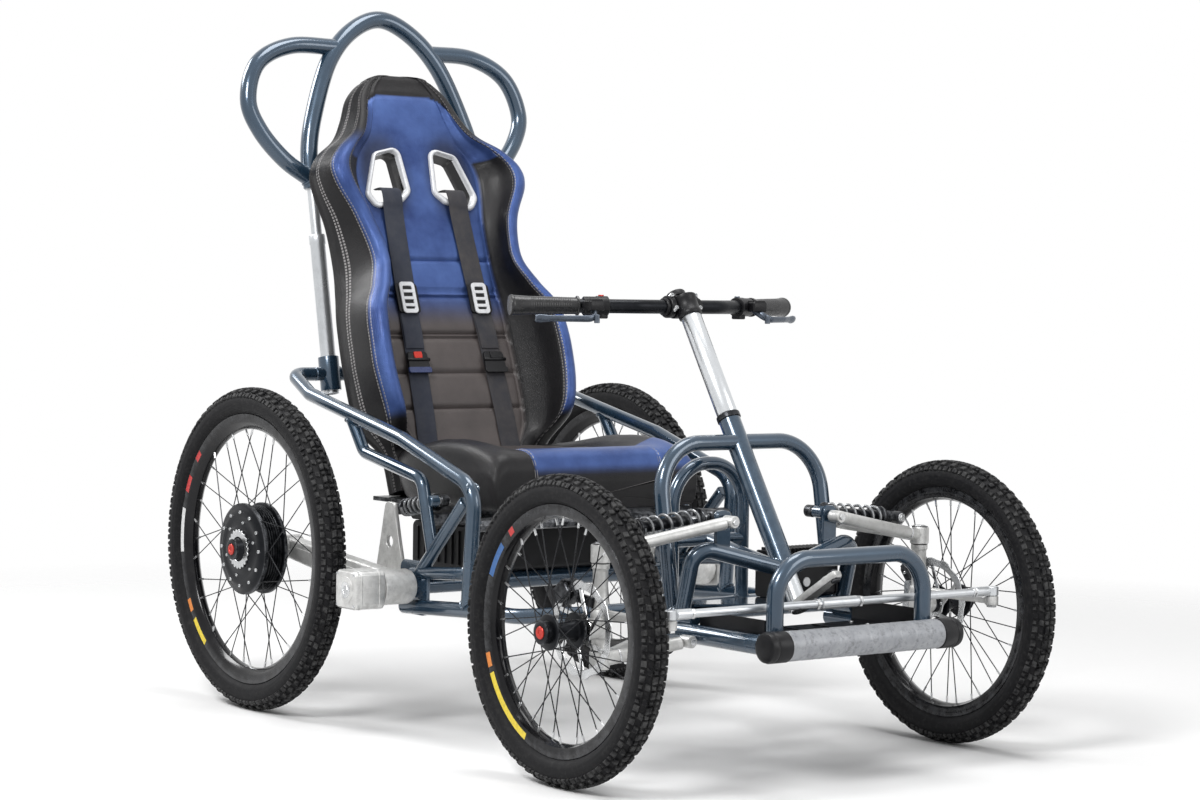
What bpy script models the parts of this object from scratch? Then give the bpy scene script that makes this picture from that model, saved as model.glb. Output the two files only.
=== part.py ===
"""All-terrain wheelchair: four spoked wheels, a tubular frame, a bucket seat and handlebar steering.

Run with: blender --background --python part.py
Metres, +X forward, +Y left, +Z up. The origin is on the ground, under the middle of the whole length.
"""
import math

import bmesh
import bpy
from mathutils import Matrix, Vector

# Driving sizes, in metres
WHEELBASE = 1.010
TRACK = 0.866
REAR_TYRE_RADIUS = 0.310
FRONT_TYRE_RADIUS = 0.258
TYRE_WIDTH = 0.056
BUMPER_AHEAD = 0.245
BUMPER_BAR_RADIUS = 0.026
CLEARANCE = 0.0003
RUNNING_CLEARANCE = 0.0006
CUT_OVERRUN = 0.010
SHARP_DEG = 35

# Everything is placed from the two axles
LENGTH = REAR_TYRE_RADIUS + WHEELBASE + BUMPER_AHEAD + BUMPER_BAR_RADIUS
REAR_AXLE_X = REAR_TYRE_RADIUS - LENGTH / 2
FRONT_AXLE_X = REAR_AXLE_X + WHEELBASE
MID_X = (REAR_AXLE_X + FRONT_AXLE_X) / 2
WHEEL_Y = TRACK / 2
RIGHT, LEFT = -1, 1

# Rims and tyres
REAR_TYRE_HEIGHT = 0.0565
FRONT_TYRE_HEIGHT = 0.0550
REAR_BEAD_RADIUS = REAR_TYRE_RADIUS - REAR_TYRE_HEIGHT
FRONT_BEAD_RADIUS = FRONT_TYRE_RADIUS - FRONT_TYRE_HEIGHT
RIM_FLANGE_HEIGHT = 0.0062
RIM_DEPTH = 0.0240
FRONT_RIM_DEPTH = 0.0160
RIM_WIDTH = 0.0340
RIM_LIP = 0.0030
TYRE_BEAD_WIDTH = 0.0270
TREAD_WIDTH = 0.0440
WHEEL_STEPS = 20
LUG_STEPS = 40
LUG_HEIGHT = 0.0042
TYRE_BULGE_SHARE = 0.46
TYRE_SHOULDER_SHARE = 0.90
TYRE_CROWN_SHARE = 0.30
RIM_WAIST_SHARE = 0.45

# Spokes and hubs
SPOKE_COUNT = 20
SPOKE_RADIUS = 0.0013
SPOKE_OVERRUN = 0.0025
SPOKE_CROSS_DEG = 58.0
SPOKE_STAGGER = 0.0050
SPOKE_SIDES = 3
MOTOR_CROSS_DEG = 34.0
AXLE_RADIUS = 0.0085
HUB_RADIUS = 0.0190
HUB_FLANGE_RADIUS = 0.0300
HUB_FLANGE_THICKNESS = 0.0050
HUB_OUTER_REACH = 0.0440
HUB_FLANGE_OFFSET = 0.0340
HUB_INNER_REACH = 0.0420
INNER_FLANGE_OFFSET = 0.0200
AXLE_CAP_RADIUS = 0.0200
AXLE_CAP_THICKNESS = 0.0040
HUB_STEPS = 10
MOTOR_RADIUS = 0.0880
MOTOR_EDGE = 0.0060
MOTOR_HALF_WIDTH = 0.0300

# Brake discs
DISC_RADIUS = 0.0800
DISC_THICKNESS = 0.0022
DISC_INSET = 0.0340
DISC_STEPS = 20

# Frame tubes
FRAME_TUBE_RADIUS = 0.0138
SMALL_TUBE_RADIUS = 0.0120
CROSS_TUBE_RADIUS = 0.0108
COPE_SHARE = 0.35
BUMPER_RAIL_RADIUS = 0.0165
TUBE_SIDES = 8
SMALL_SIDES = 8
BEND_STEPS = 3
SIDE_Y = 0.300
BEND_RADIUS = 0.055
POST_FOOT_X = 0.032
POST_TOP_X = 0.050
POST_TOP_Z = 0.457
UPPER_BEND_X = -0.190
UPPER_BEND_Z = 0.534
REAR_BEND_X = -0.520
REAR_BEND_Z = 0.604
BACK_TUBE_X = -0.612
BACK_TUBE_Z = 0.640
BACK_CORNER_Y = 0.285
BACK_TUBE_END_Y = 0.236
UPRIGHT_Y = 0.200
RAIL_REAR_X = -0.042
RAIL_REAR_Z = 0.224
RAIL_MID_Z = 0.240
RAIL_JOINT_X = -0.405
RAIL_BEND_X = -0.325
FRONT_RAIL_Y = 0.180
RAIL_FRONT_Z = 0.2672
RAIL_IN_X = -0.075
RAIL_END_X = 0.030
DIAGONAL_FOOT_X = -0.014
DIAGONAL_TOP_X = 0.020
DIAGONAL_TOP_Z = 0.432
BRIDGE_REAR_SHARE = 0.55
STAY_Z = 0.288
STAY_RISE = 0.014
BRIDGE_DROP_X = -0.186
BRIDGE_DROP_Z = 0.502
BRIDGE_FRONT_X = 0.014
BRIDGE_FRONT_Z = 0.464
BRIDGE_FOOT_SHARE = 0.386
BLOCK_GAP = 0.024
ARM_BLOCK_HALF = 0.0350
PIVOT_Z = 0.266
PIVOT_TUBE_RADIUS = 0.0165
PIVOT_PLATE_THICKNESS = 0.0070
PIVOT_PLATE_LENGTH = 0.090
PIVOT_PLATE_HEIGHT = 0.100
PIVOT_PLATE_X = -0.006
PIVOT_PLATE_Z = 0.262
PLATE_CORNER = 0.016
PIVOT_BOSS_RADIUS = 0.0220

# Front frame
HOOP_Y = 0.180
HOOP_FOOT_X = -0.035
HOOP_BEND_RADIUS = 0.090
INNER_HOOP_BEND_RADIUS = 0.075
HOOP_STEPS = 4
INNER_HOOP_Y = 0.080
INNER_HOOP_X = -0.163
INNER_HOOP_TOP_Z = 0.512
INNER_HOOP_BAR_Z = 0.376
NODE_POST_Y = 0.180
NODE_POST_FOOT_X = -0.008
NODE_POST_TOP_X = 0.022
NODE_POST_TOP_Z = 0.388
BUMPER_RAIL_Y = 0.190
BUMPER_Z = 0.242
BUMPER_RAIL_START_X = -0.050
BUMPER_RAIL_Z = 0.2415
BUMPER_HALF_LENGTH = 0.214
BUMPER_CAP_LENGTH = 0.044
BUMPER_BAND_RADIUS = 0.0250
SKID_X = 0.1155
SKID_LENGTH = 0.168
SKID_THICKNESS = 0.0030
SKID_WALL = 0.0380
CONTROLLER_X = -0.0225
CONTROLLER_LENGTH = 0.055
CONTROLLER_WIDTH = 0.144
CONTROLLER_HEIGHT = 0.086
CONTROLLER_GAP = 0.004
LOOP_BEHIND = 0.030
LOOP_Y = 0.165
LOOP_TOP_Z = 0.379
LOOP_TUBE_RADIUS = 0.0145
FLOOR_CROSS_X = -0.027
REAR_CROSS_Y = 0.228
REAR_CROSS_Z = 0.260
TAB_X = 0.0225
FLOOR_THICKNESS = 0.004
FLOOR_OUTLINE_SHARES = ((0.0, -1.0), (0.42, -1.0), (1.0, -0.3), (1.0, 0.3), (0.42, 1.0), (0.0, 1.0))
FLOOR_REAR_X = -0.043
FLOOR_LENGTH = 0.088
FLOOR_HALF_WIDTH = 0.155

# Steering column
COLUMN_RAKE_DEG = 32.0
COLUMN_FOOT_X = 0.049
COLUMN_FOOT_Z = 0.341
STEERING_TUBE_RADIUS = 0.0195
STEERING_TUBE_LENGTH = 0.294
STEERING_TUBE_BELOW = 0.011
NODE_OVERRUN = 0.004
HOOP_BELOW_TUBE_TOP = 0.0428
HOOP_TOP_AHEAD = 0.003
HOOP_ALONG = STEERING_TUBE_LENGTH - HOOP_BELOW_TUBE_TOP
HOOP_TOP_X = COLUMN_FOOT_X + HOOP_TOP_AHEAD - HOOP_ALONG * math.sin(math.radians(COLUMN_RAKE_DEG))
HOOP_TOP_Z = COLUMN_FOOT_Z + HOOP_ALONG * math.cos(math.radians(COLUMN_RAKE_DEG))
COLUMN_RADIUS = 0.0165
COLUMN_BELOW = 0.078
COLUMN_ABOVE = 0.212
COLUMN_COLLAR_LENGTH = 0.010
COLUMN_COLLAR_RADIUS = 0.0215
PITMAN_LENGTH = 0.118
PITMAN_WIDTH = 0.030
PITMAN_THICKNESS = 0.012
COLUMN_STEPS = 12
BORE_STEPS = 14
STEERING_ARM_LENGTH = 0.185
STEERING_ARM_RADIUS = 0.0080
KINGPIN_Y = 0.360
KINGPIN_RADIUS = 0.0080
KINGPIN_EYE_RADIUS = 0.0170
KINGPIN_EYE_HEIGHT = 0.030
UPPER_EYE_Z = 0.382
LOWER_EYE_Z = 0.205
KNUCKLE_RADIUS = 0.0150
AXLE_BOSS_RADIUS = 0.0175
STEERING_ARM_Z = 0.282
TRACK_ROD_Z = 0.2985
TRACK_ROD_RADIUS = 0.0072
TRACK_ROD_BULGE_RADIUS = 0.0100
TRACK_ROD_BULGE_HALF = 0.040
TRACK_ROD_EYE_RADIUS = 0.0120
TRACK_ROD_EYE_HEIGHT = 0.016

# Front suspension
ARM_PIVOT_REAR_X = -0.043
ARM_PIVOT_FRONT_X = 0.055
UPPER_PIVOT_FRONT_X = 0.044
UPPER_PIVOT_FRONT_Y = 0.120
UPPER_PIVOT_FRONT_Z = 0.428
ARM_PIVOT_RADIUS = 0.0105
ARM_TUBE_RADIUS = 0.0110
UPPER_PIVOT_Z = 0.408
ARM_EYE_LENGTH = 0.026
TAB_WIDTH = 0.030
TAB_THICKNESS = 0.0080
TAB_BOTTOM_Z = 0.362
TAB_TOP_Z = 0.446
TAB_CORNER = 0.012
LOWER_PIVOT_Z = 0.233
LOWER_PIVOT_Y = 0.2178
UPPER_PIVOT_REAR_Y = 0.2050
HOOP_LEG_X = -0.0555
FRONT_SHOCK_RADIUS = 0.0180
FRONT_SHOCK_INNER_Y = 0.110
FRONT_SHOCK_OUTER_Y = 0.318
FRONT_SHOCK_X = -0.013
FRONT_SHOCK_INNER_Z = 0.434
FRONT_SHOCK_OUTER_Z = 0.4150

# Rear suspension
ARM_BLOCK_INNER_Y = 0.390
ARM_BLOCK_OUTER_Y = 0.455
ARM_BARREL_RADIUS = 0.0330
ARM_BARREL_INNER_Y = 0.318
ARM_Y = 0.350
ARM_WIDTH = 0.030
ARM_HEIGHT_FRONT = 0.056
ARM_HEIGHT_REAR = 0.040
SHOCK_Y = 0.268
SHOCK_RADIUS = 0.0175
SHOCK_EYE_RADIUS = 0.0110
SHOCK_EYE_LENGTH = 0.024
SHOCK_REAR_X = -0.114
SHOCK_REAR_Z = 0.398
SHOCK_FRONT_X = 0.036
SHOCK_FRONT_Z = 0.424
BRACKET_THICKNESS = 0.0080
BRACKET_REAR_X = -0.164
BRACKET_FRONT_X = -0.060
BRACKET_TOP_HALF = 0.014
BRACKET_HOLE_RADIUS = 0.0110
BRACKET_FOOT_Z = 0.262
BRACKET_FOOT_HEIGHT = 0.024
BRACKET_HOLE_DROP = 0.004
ARM_BOSS_SHARE = 0.58
SHOCK_ROD_SHARE = 0.42
EYE_OVERLAP_SHARE = 0.30
REAR_SPRING_START_SHARE = 0.19
REAR_SPRING_END_SHARE = 0.84
FRONT_SPRING_START_SHARE = 0.16
FRONT_SPRING_END_SHARE = 0.78

# Handlebar
STEM_LENGTH = 0.040
STEM_SETBACK = 0.020
STEM_RADIUS = 0.0215
HANDLEBAR_RADIUS = 0.0125
HANDLEBAR_HALF_WIDTH = 0.315
HANDLEBAR_BACK = 0.085
HANDLEBAR_FLAT_Y = 0.090
GRIP_LENGTH = 0.125
GRIP_RADIUS = 0.0160
GRIP_BULB_RADIUS = 0.0185
GRIP_BULB_SHARE = 0.72
LEVER_GAP = 0.006
LEVER_CLAMP_LENGTH = 0.030
LEVER_CLAMP_RADIUS = 0.0180
LEVER_REACH = 0.110
LEVER_RADIUS = 0.0055
LEVER_AHEAD = 0.048
LEVER_DROP = 0.022
LEVER_SIDES = 6

# Push bar
PUSH_LEAN_SHARE = 0.198
UPRIGHT_RADIUS = 0.0150
UPRIGHT_BORE_RADIUS = 0.0113
UPRIGHT_FOOT_Z = 0.600
SOCKET_RADIUS = 0.0210
SOCKET_HALF_HEIGHT = 0.034
PUSH_TUBE_RADIUS = 0.0180
PUSH_EAR_RADIUS = 0.0170
PUSH_LEG_RADIUS = 0.0107
PUSH_ABOVE_BACK = 0.125
PUSH_RISE = 0.357
PUSH_LEG_LENGTH = 0.210
UPRIGHT_BELOW_JOINT = 0.093
PUSH_ARCH_SHARES = ((1.00, 0.00), (1.00, 0.21), (0.90, 0.43), (0.675, 0.726), (0.375, 0.914), (0.0, 1.0))
PUSH_EAR_SHARES = (
    (1.00, 0.05),
    (1.30, 0.16),
    (1.55, 0.32),
    (1.65, 0.49),
    (1.50, 0.70),
    (1.10, 0.81),
    (0.56, 0.82),
)

# Seat back
BACK_BASE_X = -0.407
BACK_BASE_Z = 0.510
BACK_RECLINE_DEG = 20.2
BACK_LENGTH = 0.780
BACK_TOP_Z = BACK_BASE_Z + BACK_LENGTH * math.cos(math.radians(BACK_RECLINE_DEG))
PUSH_TOP_Z = BACK_TOP_Z + PUSH_ABOVE_BACK
PUSH_JOINT_Z = PUSH_TOP_Z - PUSH_RISE
BACK_HALF_WIDTH = 0.240
BACK_THICKNESS = 0.042
BOLSTER_DEPTH = 0.095
SEAT_PANEL_SHARE = 0.62
BOLSTER_MID_SHARE = 0.73
BOLSTER_CREST_SHARE = 0.86
BOLSTER_EDGE_SHARE = 0.96
BOLSTER_ROUND_SHARE = 0.10
BOLSTER_RISE_SHARE = 0.55
BOLSTER_FALL_SHARE = 0.75
BACK_FOOT_WIDTH_SHARE = 0.78
BACK_STATION_SHARES = (
    (-0.020, 0.80, 0.86, 0.00),
    (0.055, 0.97, 0.86, 0.82),
    (0.180, 1.00, 0.90, 1.00),
    (0.320, 0.98, 0.89, 1.00),
    (0.400, 0.94, 0.80, 0.84),
    (0.480, 0.91, 0.74, 0.66),
    (0.590, 0.92, 0.80, 0.56),
    (0.680, 0.98, 0.88, 0.60),
    (0.735, 0.98, 0.88, 0.56),
    (0.785, 0.88, 0.84, 0.46),
    (0.830, 0.70, 0.82, 0.28),
    (0.885, 0.58, 0.80, 0.14),
    (0.955, 0.46, 0.80, 0.05),
    (1.000, 0.28, 0.80, 0.00),
)
BELT_OPENING_SHARES = (
    (0.794, 0.19),
    (0.777, 0.39),
    (0.677, 0.51),
    (0.647, 0.46),
    (0.666, 0.25),
    (0.684, 0.16),
)
BELT_OPENING_CORNER = 0.012

# Seat cushion
CUSHION_BOTTOM_Z = 0.408
CUSHION_REAR_X = -0.352
CUSHION_FRONT_X = 0.022
CUSHION_HALF_WIDTH = 0.236
CUSHION_HEIGHT = 0.112
CUSHION_BOLSTER = 0.026
CUSHION_EDGE_SHARE = 0.12
CUSHION_STATION_SHARES = (
    (0.000, 0.80, 0.86, 0.00),
    (0.160, 0.92, 0.86, 0.40),
    (0.450, 0.97, 0.90, 1.00),
    (0.720, 1.00, 0.95, 0.80),
    (0.880, 1.00, 1.00, 0.20),
    (0.955, 1.00, 0.94, 0.00),
    (0.990, 0.99, 0.76, 0.00),
    (1.000, 0.97, 0.48, 0.00),
)
CRADLE_THICKNESS = 0.008
CRADLE_HALF_WIDTH = 0.205
CRADLE_REAR_X = -0.438
CRADLE_BRACKET_WIDTH = 0.050
CRADLE_BRACKET_Y = 0.110
CRADLE_BRACKET_SHARE = 0.150
CRADLE_FRONT_X = 0.044
CRADLE_BAR_Z = 0.390

# Harness
STRAP_WIDTH = 0.046
STRAP_THICKNESS = 0.0030
STRAP_TOP_Y = 0.078
STRAP_FOOT_Y = 0.096
STRAP_TOP_SHARE = 0.682
STRAP_FOOT_SHARE = 0.065
PAD_WIDTH = 0.058
PAD_LENGTH = 0.066
PAD_THICKNESS = 0.016
PAD_SHARE = 0.385
BUCKLE_LENGTH = 0.050
BUCKLE_SHARE = 0.212
BUCKLE_WIDTH_SHARE = 0.75

# Battery box
BATTERY_LENGTH = 0.212
BATTERY_GAP = 0.0048
BATTERY_HALF_WIDTH = 0.190
BATTERY_BOTTOM_Z = 0.2828
BATTERY_CORNER = 0.012

# Finishes: colour, roughness and metallic value
BLUE_PAINT_SHARES = ((0.050, 0.095, 0.160), 0.35, 0.2)
SILVER_SHARES = ((0.62, 0.63, 0.64), 0.35, 0.6)
BLACK_METAL_SHARES = ((0.020, 0.021, 0.023), 0.45, 0.3)
RUBBER_SHARES = ((0.018, 0.018, 0.018), 0.85, 0.0)
BLACK_SOFT_SHARES = ((0.030, 0.031, 0.035), 0.70, 0.0)
WEBBING_SHARES = ((0.035, 0.045, 0.060), 0.90, 0.0)


def station(x, y, z):
    """A point placed from the middle of the wheelbase."""
    return Vector((MID_X + x, y, z))


def from_front(x, y, z):
    """A point placed from the front axle."""
    return Vector((FRONT_AXLE_X + x, y, z))


def from_pivot(x, y, z):
    """A point placed from the rear suspension's pivot, which lies just ahead of the rear tyre."""
    return Vector((REAR_AXLE_X + REAR_TYRE_RADIUS + BLOCK_GAP + ARM_BLOCK_HALF + x, y, z))


def clear_scene():
    for item in list(bpy.data.objects):
        bpy.data.objects.remove(item)


def finish(name, colour, roughness, metallic):
    made = bpy.data.materials.new(name)
    made.use_nodes = True
    shader = made.node_tree.nodes["Principled BSDF"]
    shader.inputs["Base Color"].default_value = (*colour, 1.0)
    shader.inputs["Roughness"].default_value = roughness
    shader.inputs["Metallic"].default_value = metallic
    made.diffuse_color = (*colour, 1.0)
    return made


def add_object(name, mesh, material):
    made = bpy.data.objects.new(name, mesh)
    bpy.context.scene.collection.objects.link(made)
    if material:
        mesh.materials.append(material)
    return made


def mesh_from(name, points, faces):
    mesh = bpy.data.meshes.new(name)
    mesh.from_pydata([tuple(p) for p in points], [], faces)
    shape = bmesh.new()
    shape.from_mesh(mesh)
    bmesh.ops.recalc_face_normals(shape, faces=shape.faces)
    shape.to_mesh(mesh)
    shape.free()
    mesh.update()
    mesh.shade_smooth()
    mesh.set_sharp_from_angle(angle=math.radians(SHARP_DEG))
    return mesh


def rings_mesh(name, rings, closed_path=False):
    """Closed mesh through rings of equal length; the ends are capped unless the path closes."""
    count = len(rings[0])
    points = [p for ring in rings for p in ring]
    faces = []
    spans = len(rings) if closed_path else len(rings) - 1
    for r in range(spans):
        a, b = r * count, (r + 1) % len(rings) * count
        for i in range(count):
            j = (i + 1) % count
            faces.append((a + i, a + j, b + j, b + i))
    if not closed_path:
        faces.append(tuple(range(count)))
        faces.append(tuple(range((len(rings) - 1) * count, len(rings) * count)))
    return mesh_from(name, points, faces)


def bent(corners, bend_radius, steps=BEND_STEPS):
    """A path through the corners, with an arc of the bend radius at each inner one."""
    path = [corners[0]]
    for before, corner, after in zip(corners, corners[1:], corners[2:]):
        into, out = (before - corner), (after - corner)
        angle = into.angle(out)
        reach = bend_radius / math.tan(angle / 2)
        reach = min(reach, into.length / 2, out.length / 2)
        radius = reach * math.tan(angle / 2)
        into.normalize()
        out.normalize()
        middle = corner + (into + out).normalized() * (radius / math.sin(angle / 2))
        start, end = corner + into * reach, corner + out * reach
        a, b = start - middle, end - middle
        sweep = a.angle(b)
        for k in range(steps + 1):
            t = k / steps
            turned = (a * math.sin((1 - t) * sweep) + b * math.sin(t * sweep)) / math.sin(sweep)
            path.append(middle + turned)
    path.append(corners[-1])
    return path


def tube_mesh(name, path, radius, sides=TUBE_SIDES):
    """A round bar along a path, with its section carried along without twist."""
    rings = []
    heading = (path[1] - path[0]).normalized()
    across = heading.orthogonal().normalized()
    for k, point in enumerate(path):
        before, after = path[max(k - 1, 0)], path[min(k + 1, len(path) - 1)]
        new_heading = (after - before).normalized()
        across = heading.rotation_difference(new_heading) @ across
        across = (across - new_heading * across.dot(new_heading)).normalized()
        heading = new_heading
        up = heading.cross(across)
        turns = [2 * math.pi * i / sides for i in range(sides)]
        rings.append([point + (across * math.cos(t) + up * math.sin(t)) * radius for t in turns])
    return rings_mesh(name, rings)


def turned_rings(profile, steps, start, axis):
    """The profile's (radius, along) points at even steps round the axis."""
    across = axis.orthogonal().normalized()
    up = axis.cross(across)
    rings = []
    for k in range(steps):
        t = 2 * math.pi * k / steps
        outward = across * math.cos(t) + up * math.sin(t)
        rings.append([start + outward * r + axis * a for r, a in profile])
    return rings


def turned_mesh(name, profile, steps, start, axis):
    """A turned solid: the profile's (radius, along) points go round the axis from start."""
    rings = turned_rings(profile, steps, start, axis.normalized())
    on_axis = [i for i, (r, _) in enumerate(profile) if r == 0]
    if not on_axis:
        return rings_mesh(name, rings, closed_path=True)
    mesh = bpy.data.meshes.new(name)
    shape = bmesh.new()
    columns = [[shape.verts.new(p) for p in ring] for ring in rings]
    for k in range(steps):
        a, b = columns[k], columns[(k + 1) % steps]
        for i in range(len(profile)):
            j = (i + 1) % len(profile)
            if i in on_axis and j in on_axis:
                continue
            shape.faces.new((a[i], a[j], b[j], b[i]))
    bmesh.ops.remove_doubles(shape, verts=shape.verts, dist=CLEARANCE / 100)
    bmesh.ops.recalc_face_normals(shape, faces=shape.faces)
    shape.to_mesh(mesh)
    shape.free()
    mesh.shade_smooth()
    mesh.set_sharp_from_angle(angle=math.radians(SHARP_DEG))
    return mesh


def bar_mesh(name, start, end, radius, steps=TUBE_SIDES):
    """A straight round bar between two points."""
    length = (end - start).length
    profile = [(0, 0), (radius, 0), (radius, length), (0, length)]
    return turned_mesh(name, profile, steps, start, end - start)


def pipe_mesh(name, start, end, outer, inner, steps=COLUMN_STEPS):
    """A straight open pipe between two points."""
    length = (end - start).length
    profile = [(inner, 0), (outer, 0), (outer, length), (inner, length)]
    return turned_mesh(name, profile, steps, start, end - start)


def plate_mesh(name, outline, origin, right, up, thickness):
    """A flat plate from (along right, along up) points, thick to both sides of the origin's plane."""
    right, up = right.normalized(), up.normalized()
    out = right.cross(up).normalized() * (thickness / 2)
    flat = [origin + right * a + up * b for a, b in outline]
    return rings_mesh(name, [[p - out for p in flat], [p + out for p in flat]])


def rounded(outline, radius, steps=3):
    """The outline with each corner rounded."""
    corners = [Vector((a, b, 0)) for a, b in outline]
    path = bent([corners[-1]] + corners + [corners[0]], radius, steps)
    return [(p.x, p.y) for p in path[1:-1]]


def hide_helper(item):
    item.hide_render = True
    item.display_type = "WIRE"


def apply_boolean(target, mesh, operation):
    """The mesh is joined to, or cut from, the target by a Boolean modifier."""
    helper = add_object(target.name + "_helper", mesh, None)
    hide_helper(helper)
    step = target.modifiers.new(operation.title(), "BOOLEAN")
    step.operation = operation
    step.solver = "EXACT"
    step.object = helper


def welded(name, meshes, material, cuts=()):
    """One solid out of overlapping meshes, less the cuts."""
    made = add_object(name, meshes[0], material)
    for mesh in meshes[1:]:
        apply_boolean(made, mesh, "UNION")
    for mesh in cuts:
        apply_boolean(made, mesh, "DIFFERENCE")
    return made


def joined(name, meshes):
    """One mesh that holds several separate closed ones."""
    shape = bmesh.new()
    for mesh in meshes:
        shape.from_mesh(mesh)
    made = bpy.data.meshes.new(name)
    shape.to_mesh(made)
    shape.free()
    return made


def box_mesh(name, low, high):
    """A box between two opposite corners."""
    corners = [(low.x, low.y), (high.x, low.y), (high.x, high.y), (low.x, high.y)]
    rings = [[Vector((x, y, z)) for x, y in corners] for z in (low.z, high.z)]
    return rings_mesh(name, rings)


def mirrored(points, side):
    """The points with their Y taken to that side."""
    return [Vector((p.x, side * p.y, p.z)) for p in points]


def bore_for(radius, gap, steps):
    """The corner radius of a faceted bore whose flats keep the gap to a round bar inside it."""
    return (radius + gap) / math.cos(math.pi / steps)


def side_name(side):
    return "right" if side == RIGHT else "left"


UP = Vector((0, 0, 1))
AHEAD = Vector((1, 0, 0))
ACROSS = Vector((0, 1, 0))


def tyre(name, centre, tyre_radius, bead_radius, material):
    """A solid tyre seated between the rim's flanges, with staggered blocks raised on its tread."""
    height = tyre_radius - bead_radius
    bead = TYRE_BEAD_WIDTH / 2
    seat = bead_radius + CLEARANCE
    flange = bead_radius + RIM_FLANGE_HEIGHT + CLEARANCE
    bulge = bead_radius + height * TYRE_BULGE_SHARE
    shoulder = bead_radius + height * TYRE_SHOULDER_SHARE - LUG_HEIGHT
    crown = tyre_radius - LUG_HEIGHT
    side = [(seat, bead), (flange, bead), (bulge, TYRE_WIDTH / 2)]
    tread = [(shoulder, TREAD_WIDTH / 2), (crown, TREAD_WIDTH * TYRE_CROWN_SHARE)]
    tread += [(r, -a) for r, a in reversed(tread)]
    shape = bmesh.new()
    walls = {}
    for sign in (1, -1):
        rows = turned_rings([(r, a * sign) for r, a in side], WHEEL_STEPS, centre, ACROSS)
        walls[sign] = [[shape.verts.new(p) for p in row] for row in rows]
    treads = [[shape.verts.new(p) for p in row] for row in turned_rings(tread, LUG_STEPS, centre, ACROSS)]
    blocks = []
    finer = LUG_STEPS // WHEEL_STEPS
    for k in range(WHEEL_STEPS):
        after = (k + 1) % WHEEL_STEPS
        for sign in (1, -1):
            here, there = walls[sign][k], walls[sign][after]
            for i in range(len(side) - 1):
                shape.faces.new((here[i], here[i + 1], there[i + 1], there[i]))
            edge = 0 if sign == 1 else -1
            steps = [treads[(k * finer + n) % LUG_STEPS][edge] for n in range(finer + 1)]
            shape.faces.new([here[-1]] + steps + [there[-1]])
        right, left = walls[1], walls[-1]
        shape.faces.new((right[k][0], right[after][0], left[after][0], left[k][0]))
    for k in range(LUG_STEPS):
        here, there = treads[k], treads[(k + 1) % LUG_STEPS]
        for i in range(len(tread) - 1):
            face = shape.faces.new((here[i], here[i + 1], there[i + 1], there[i]))
            if (k + i) % 2:
                blocks.append(face)
    bmesh.ops.recalc_face_normals(shape, faces=shape.faces)
    bmesh.ops.inset_individual(shape, faces=blocks, thickness=0, depth=LUG_HEIGHT)
    mesh = bpy.data.meshes.new(name)
    shape.to_mesh(mesh)
    shape.free()
    mesh.shade_smooth()
    mesh.set_sharp_from_angle(angle=math.radians(SHARP_DEG))
    return add_object(name, mesh, material)


def rim_mesh(name, centre, bead_radius, depth):
    """The rim as a ring: two flanges, the bead seat between them and a narrower spoke bed."""
    half_width = RIM_WIDTH / 2
    inside = half_width - RIM_LIP
    flange = bead_radius + RIM_FLANGE_HEIGHT
    bed = half_width * RIM_WAIST_SHARE
    half = [(bead_radius, inside), (flange, inside), (flange, half_width)]
    half += [(bead_radius - depth * RIM_WAIST_SHARE, half_width), (bead_radius - depth, bed)]
    profile = half + [(r, -a) for r, a in reversed(half)]
    return turned_mesh(name, profile, WHEEL_STEPS, centre, ACROSS)


def spoke_set(name, centre, hub_radius, rim_radius, flanges, cross_deg):
    """Straight spokes, alternately from each flange; those of one flange all lean the same way."""
    spokes = []
    for i in range(SPOKE_COUNT):
        lean = 1 if i % 2 else -1
        rim_angle = 2 * math.pi * i / SPOKE_COUNT
        hub_angle = rim_angle + lean * math.radians(cross_deg)
        from_hub = Vector((math.cos(hub_angle), 0, math.sin(hub_angle))) * (hub_radius - SPOKE_OVERRUN)
        from_rim = Vector((math.cos(rim_angle), 0, math.sin(rim_angle))) * (rim_radius + SPOKE_OVERRUN)
        start = centre + from_hub + ACROSS * flanges[i % 2]
        end = centre + from_rim + ACROSS * (SPOKE_STAGGER * lean * math.copysign(1, flanges[1]))
        spokes.append(bar_mesh(name, start, end, SPOKE_RADIUS, SPOKE_SIDES))
    return joined(name, spokes)


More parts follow.
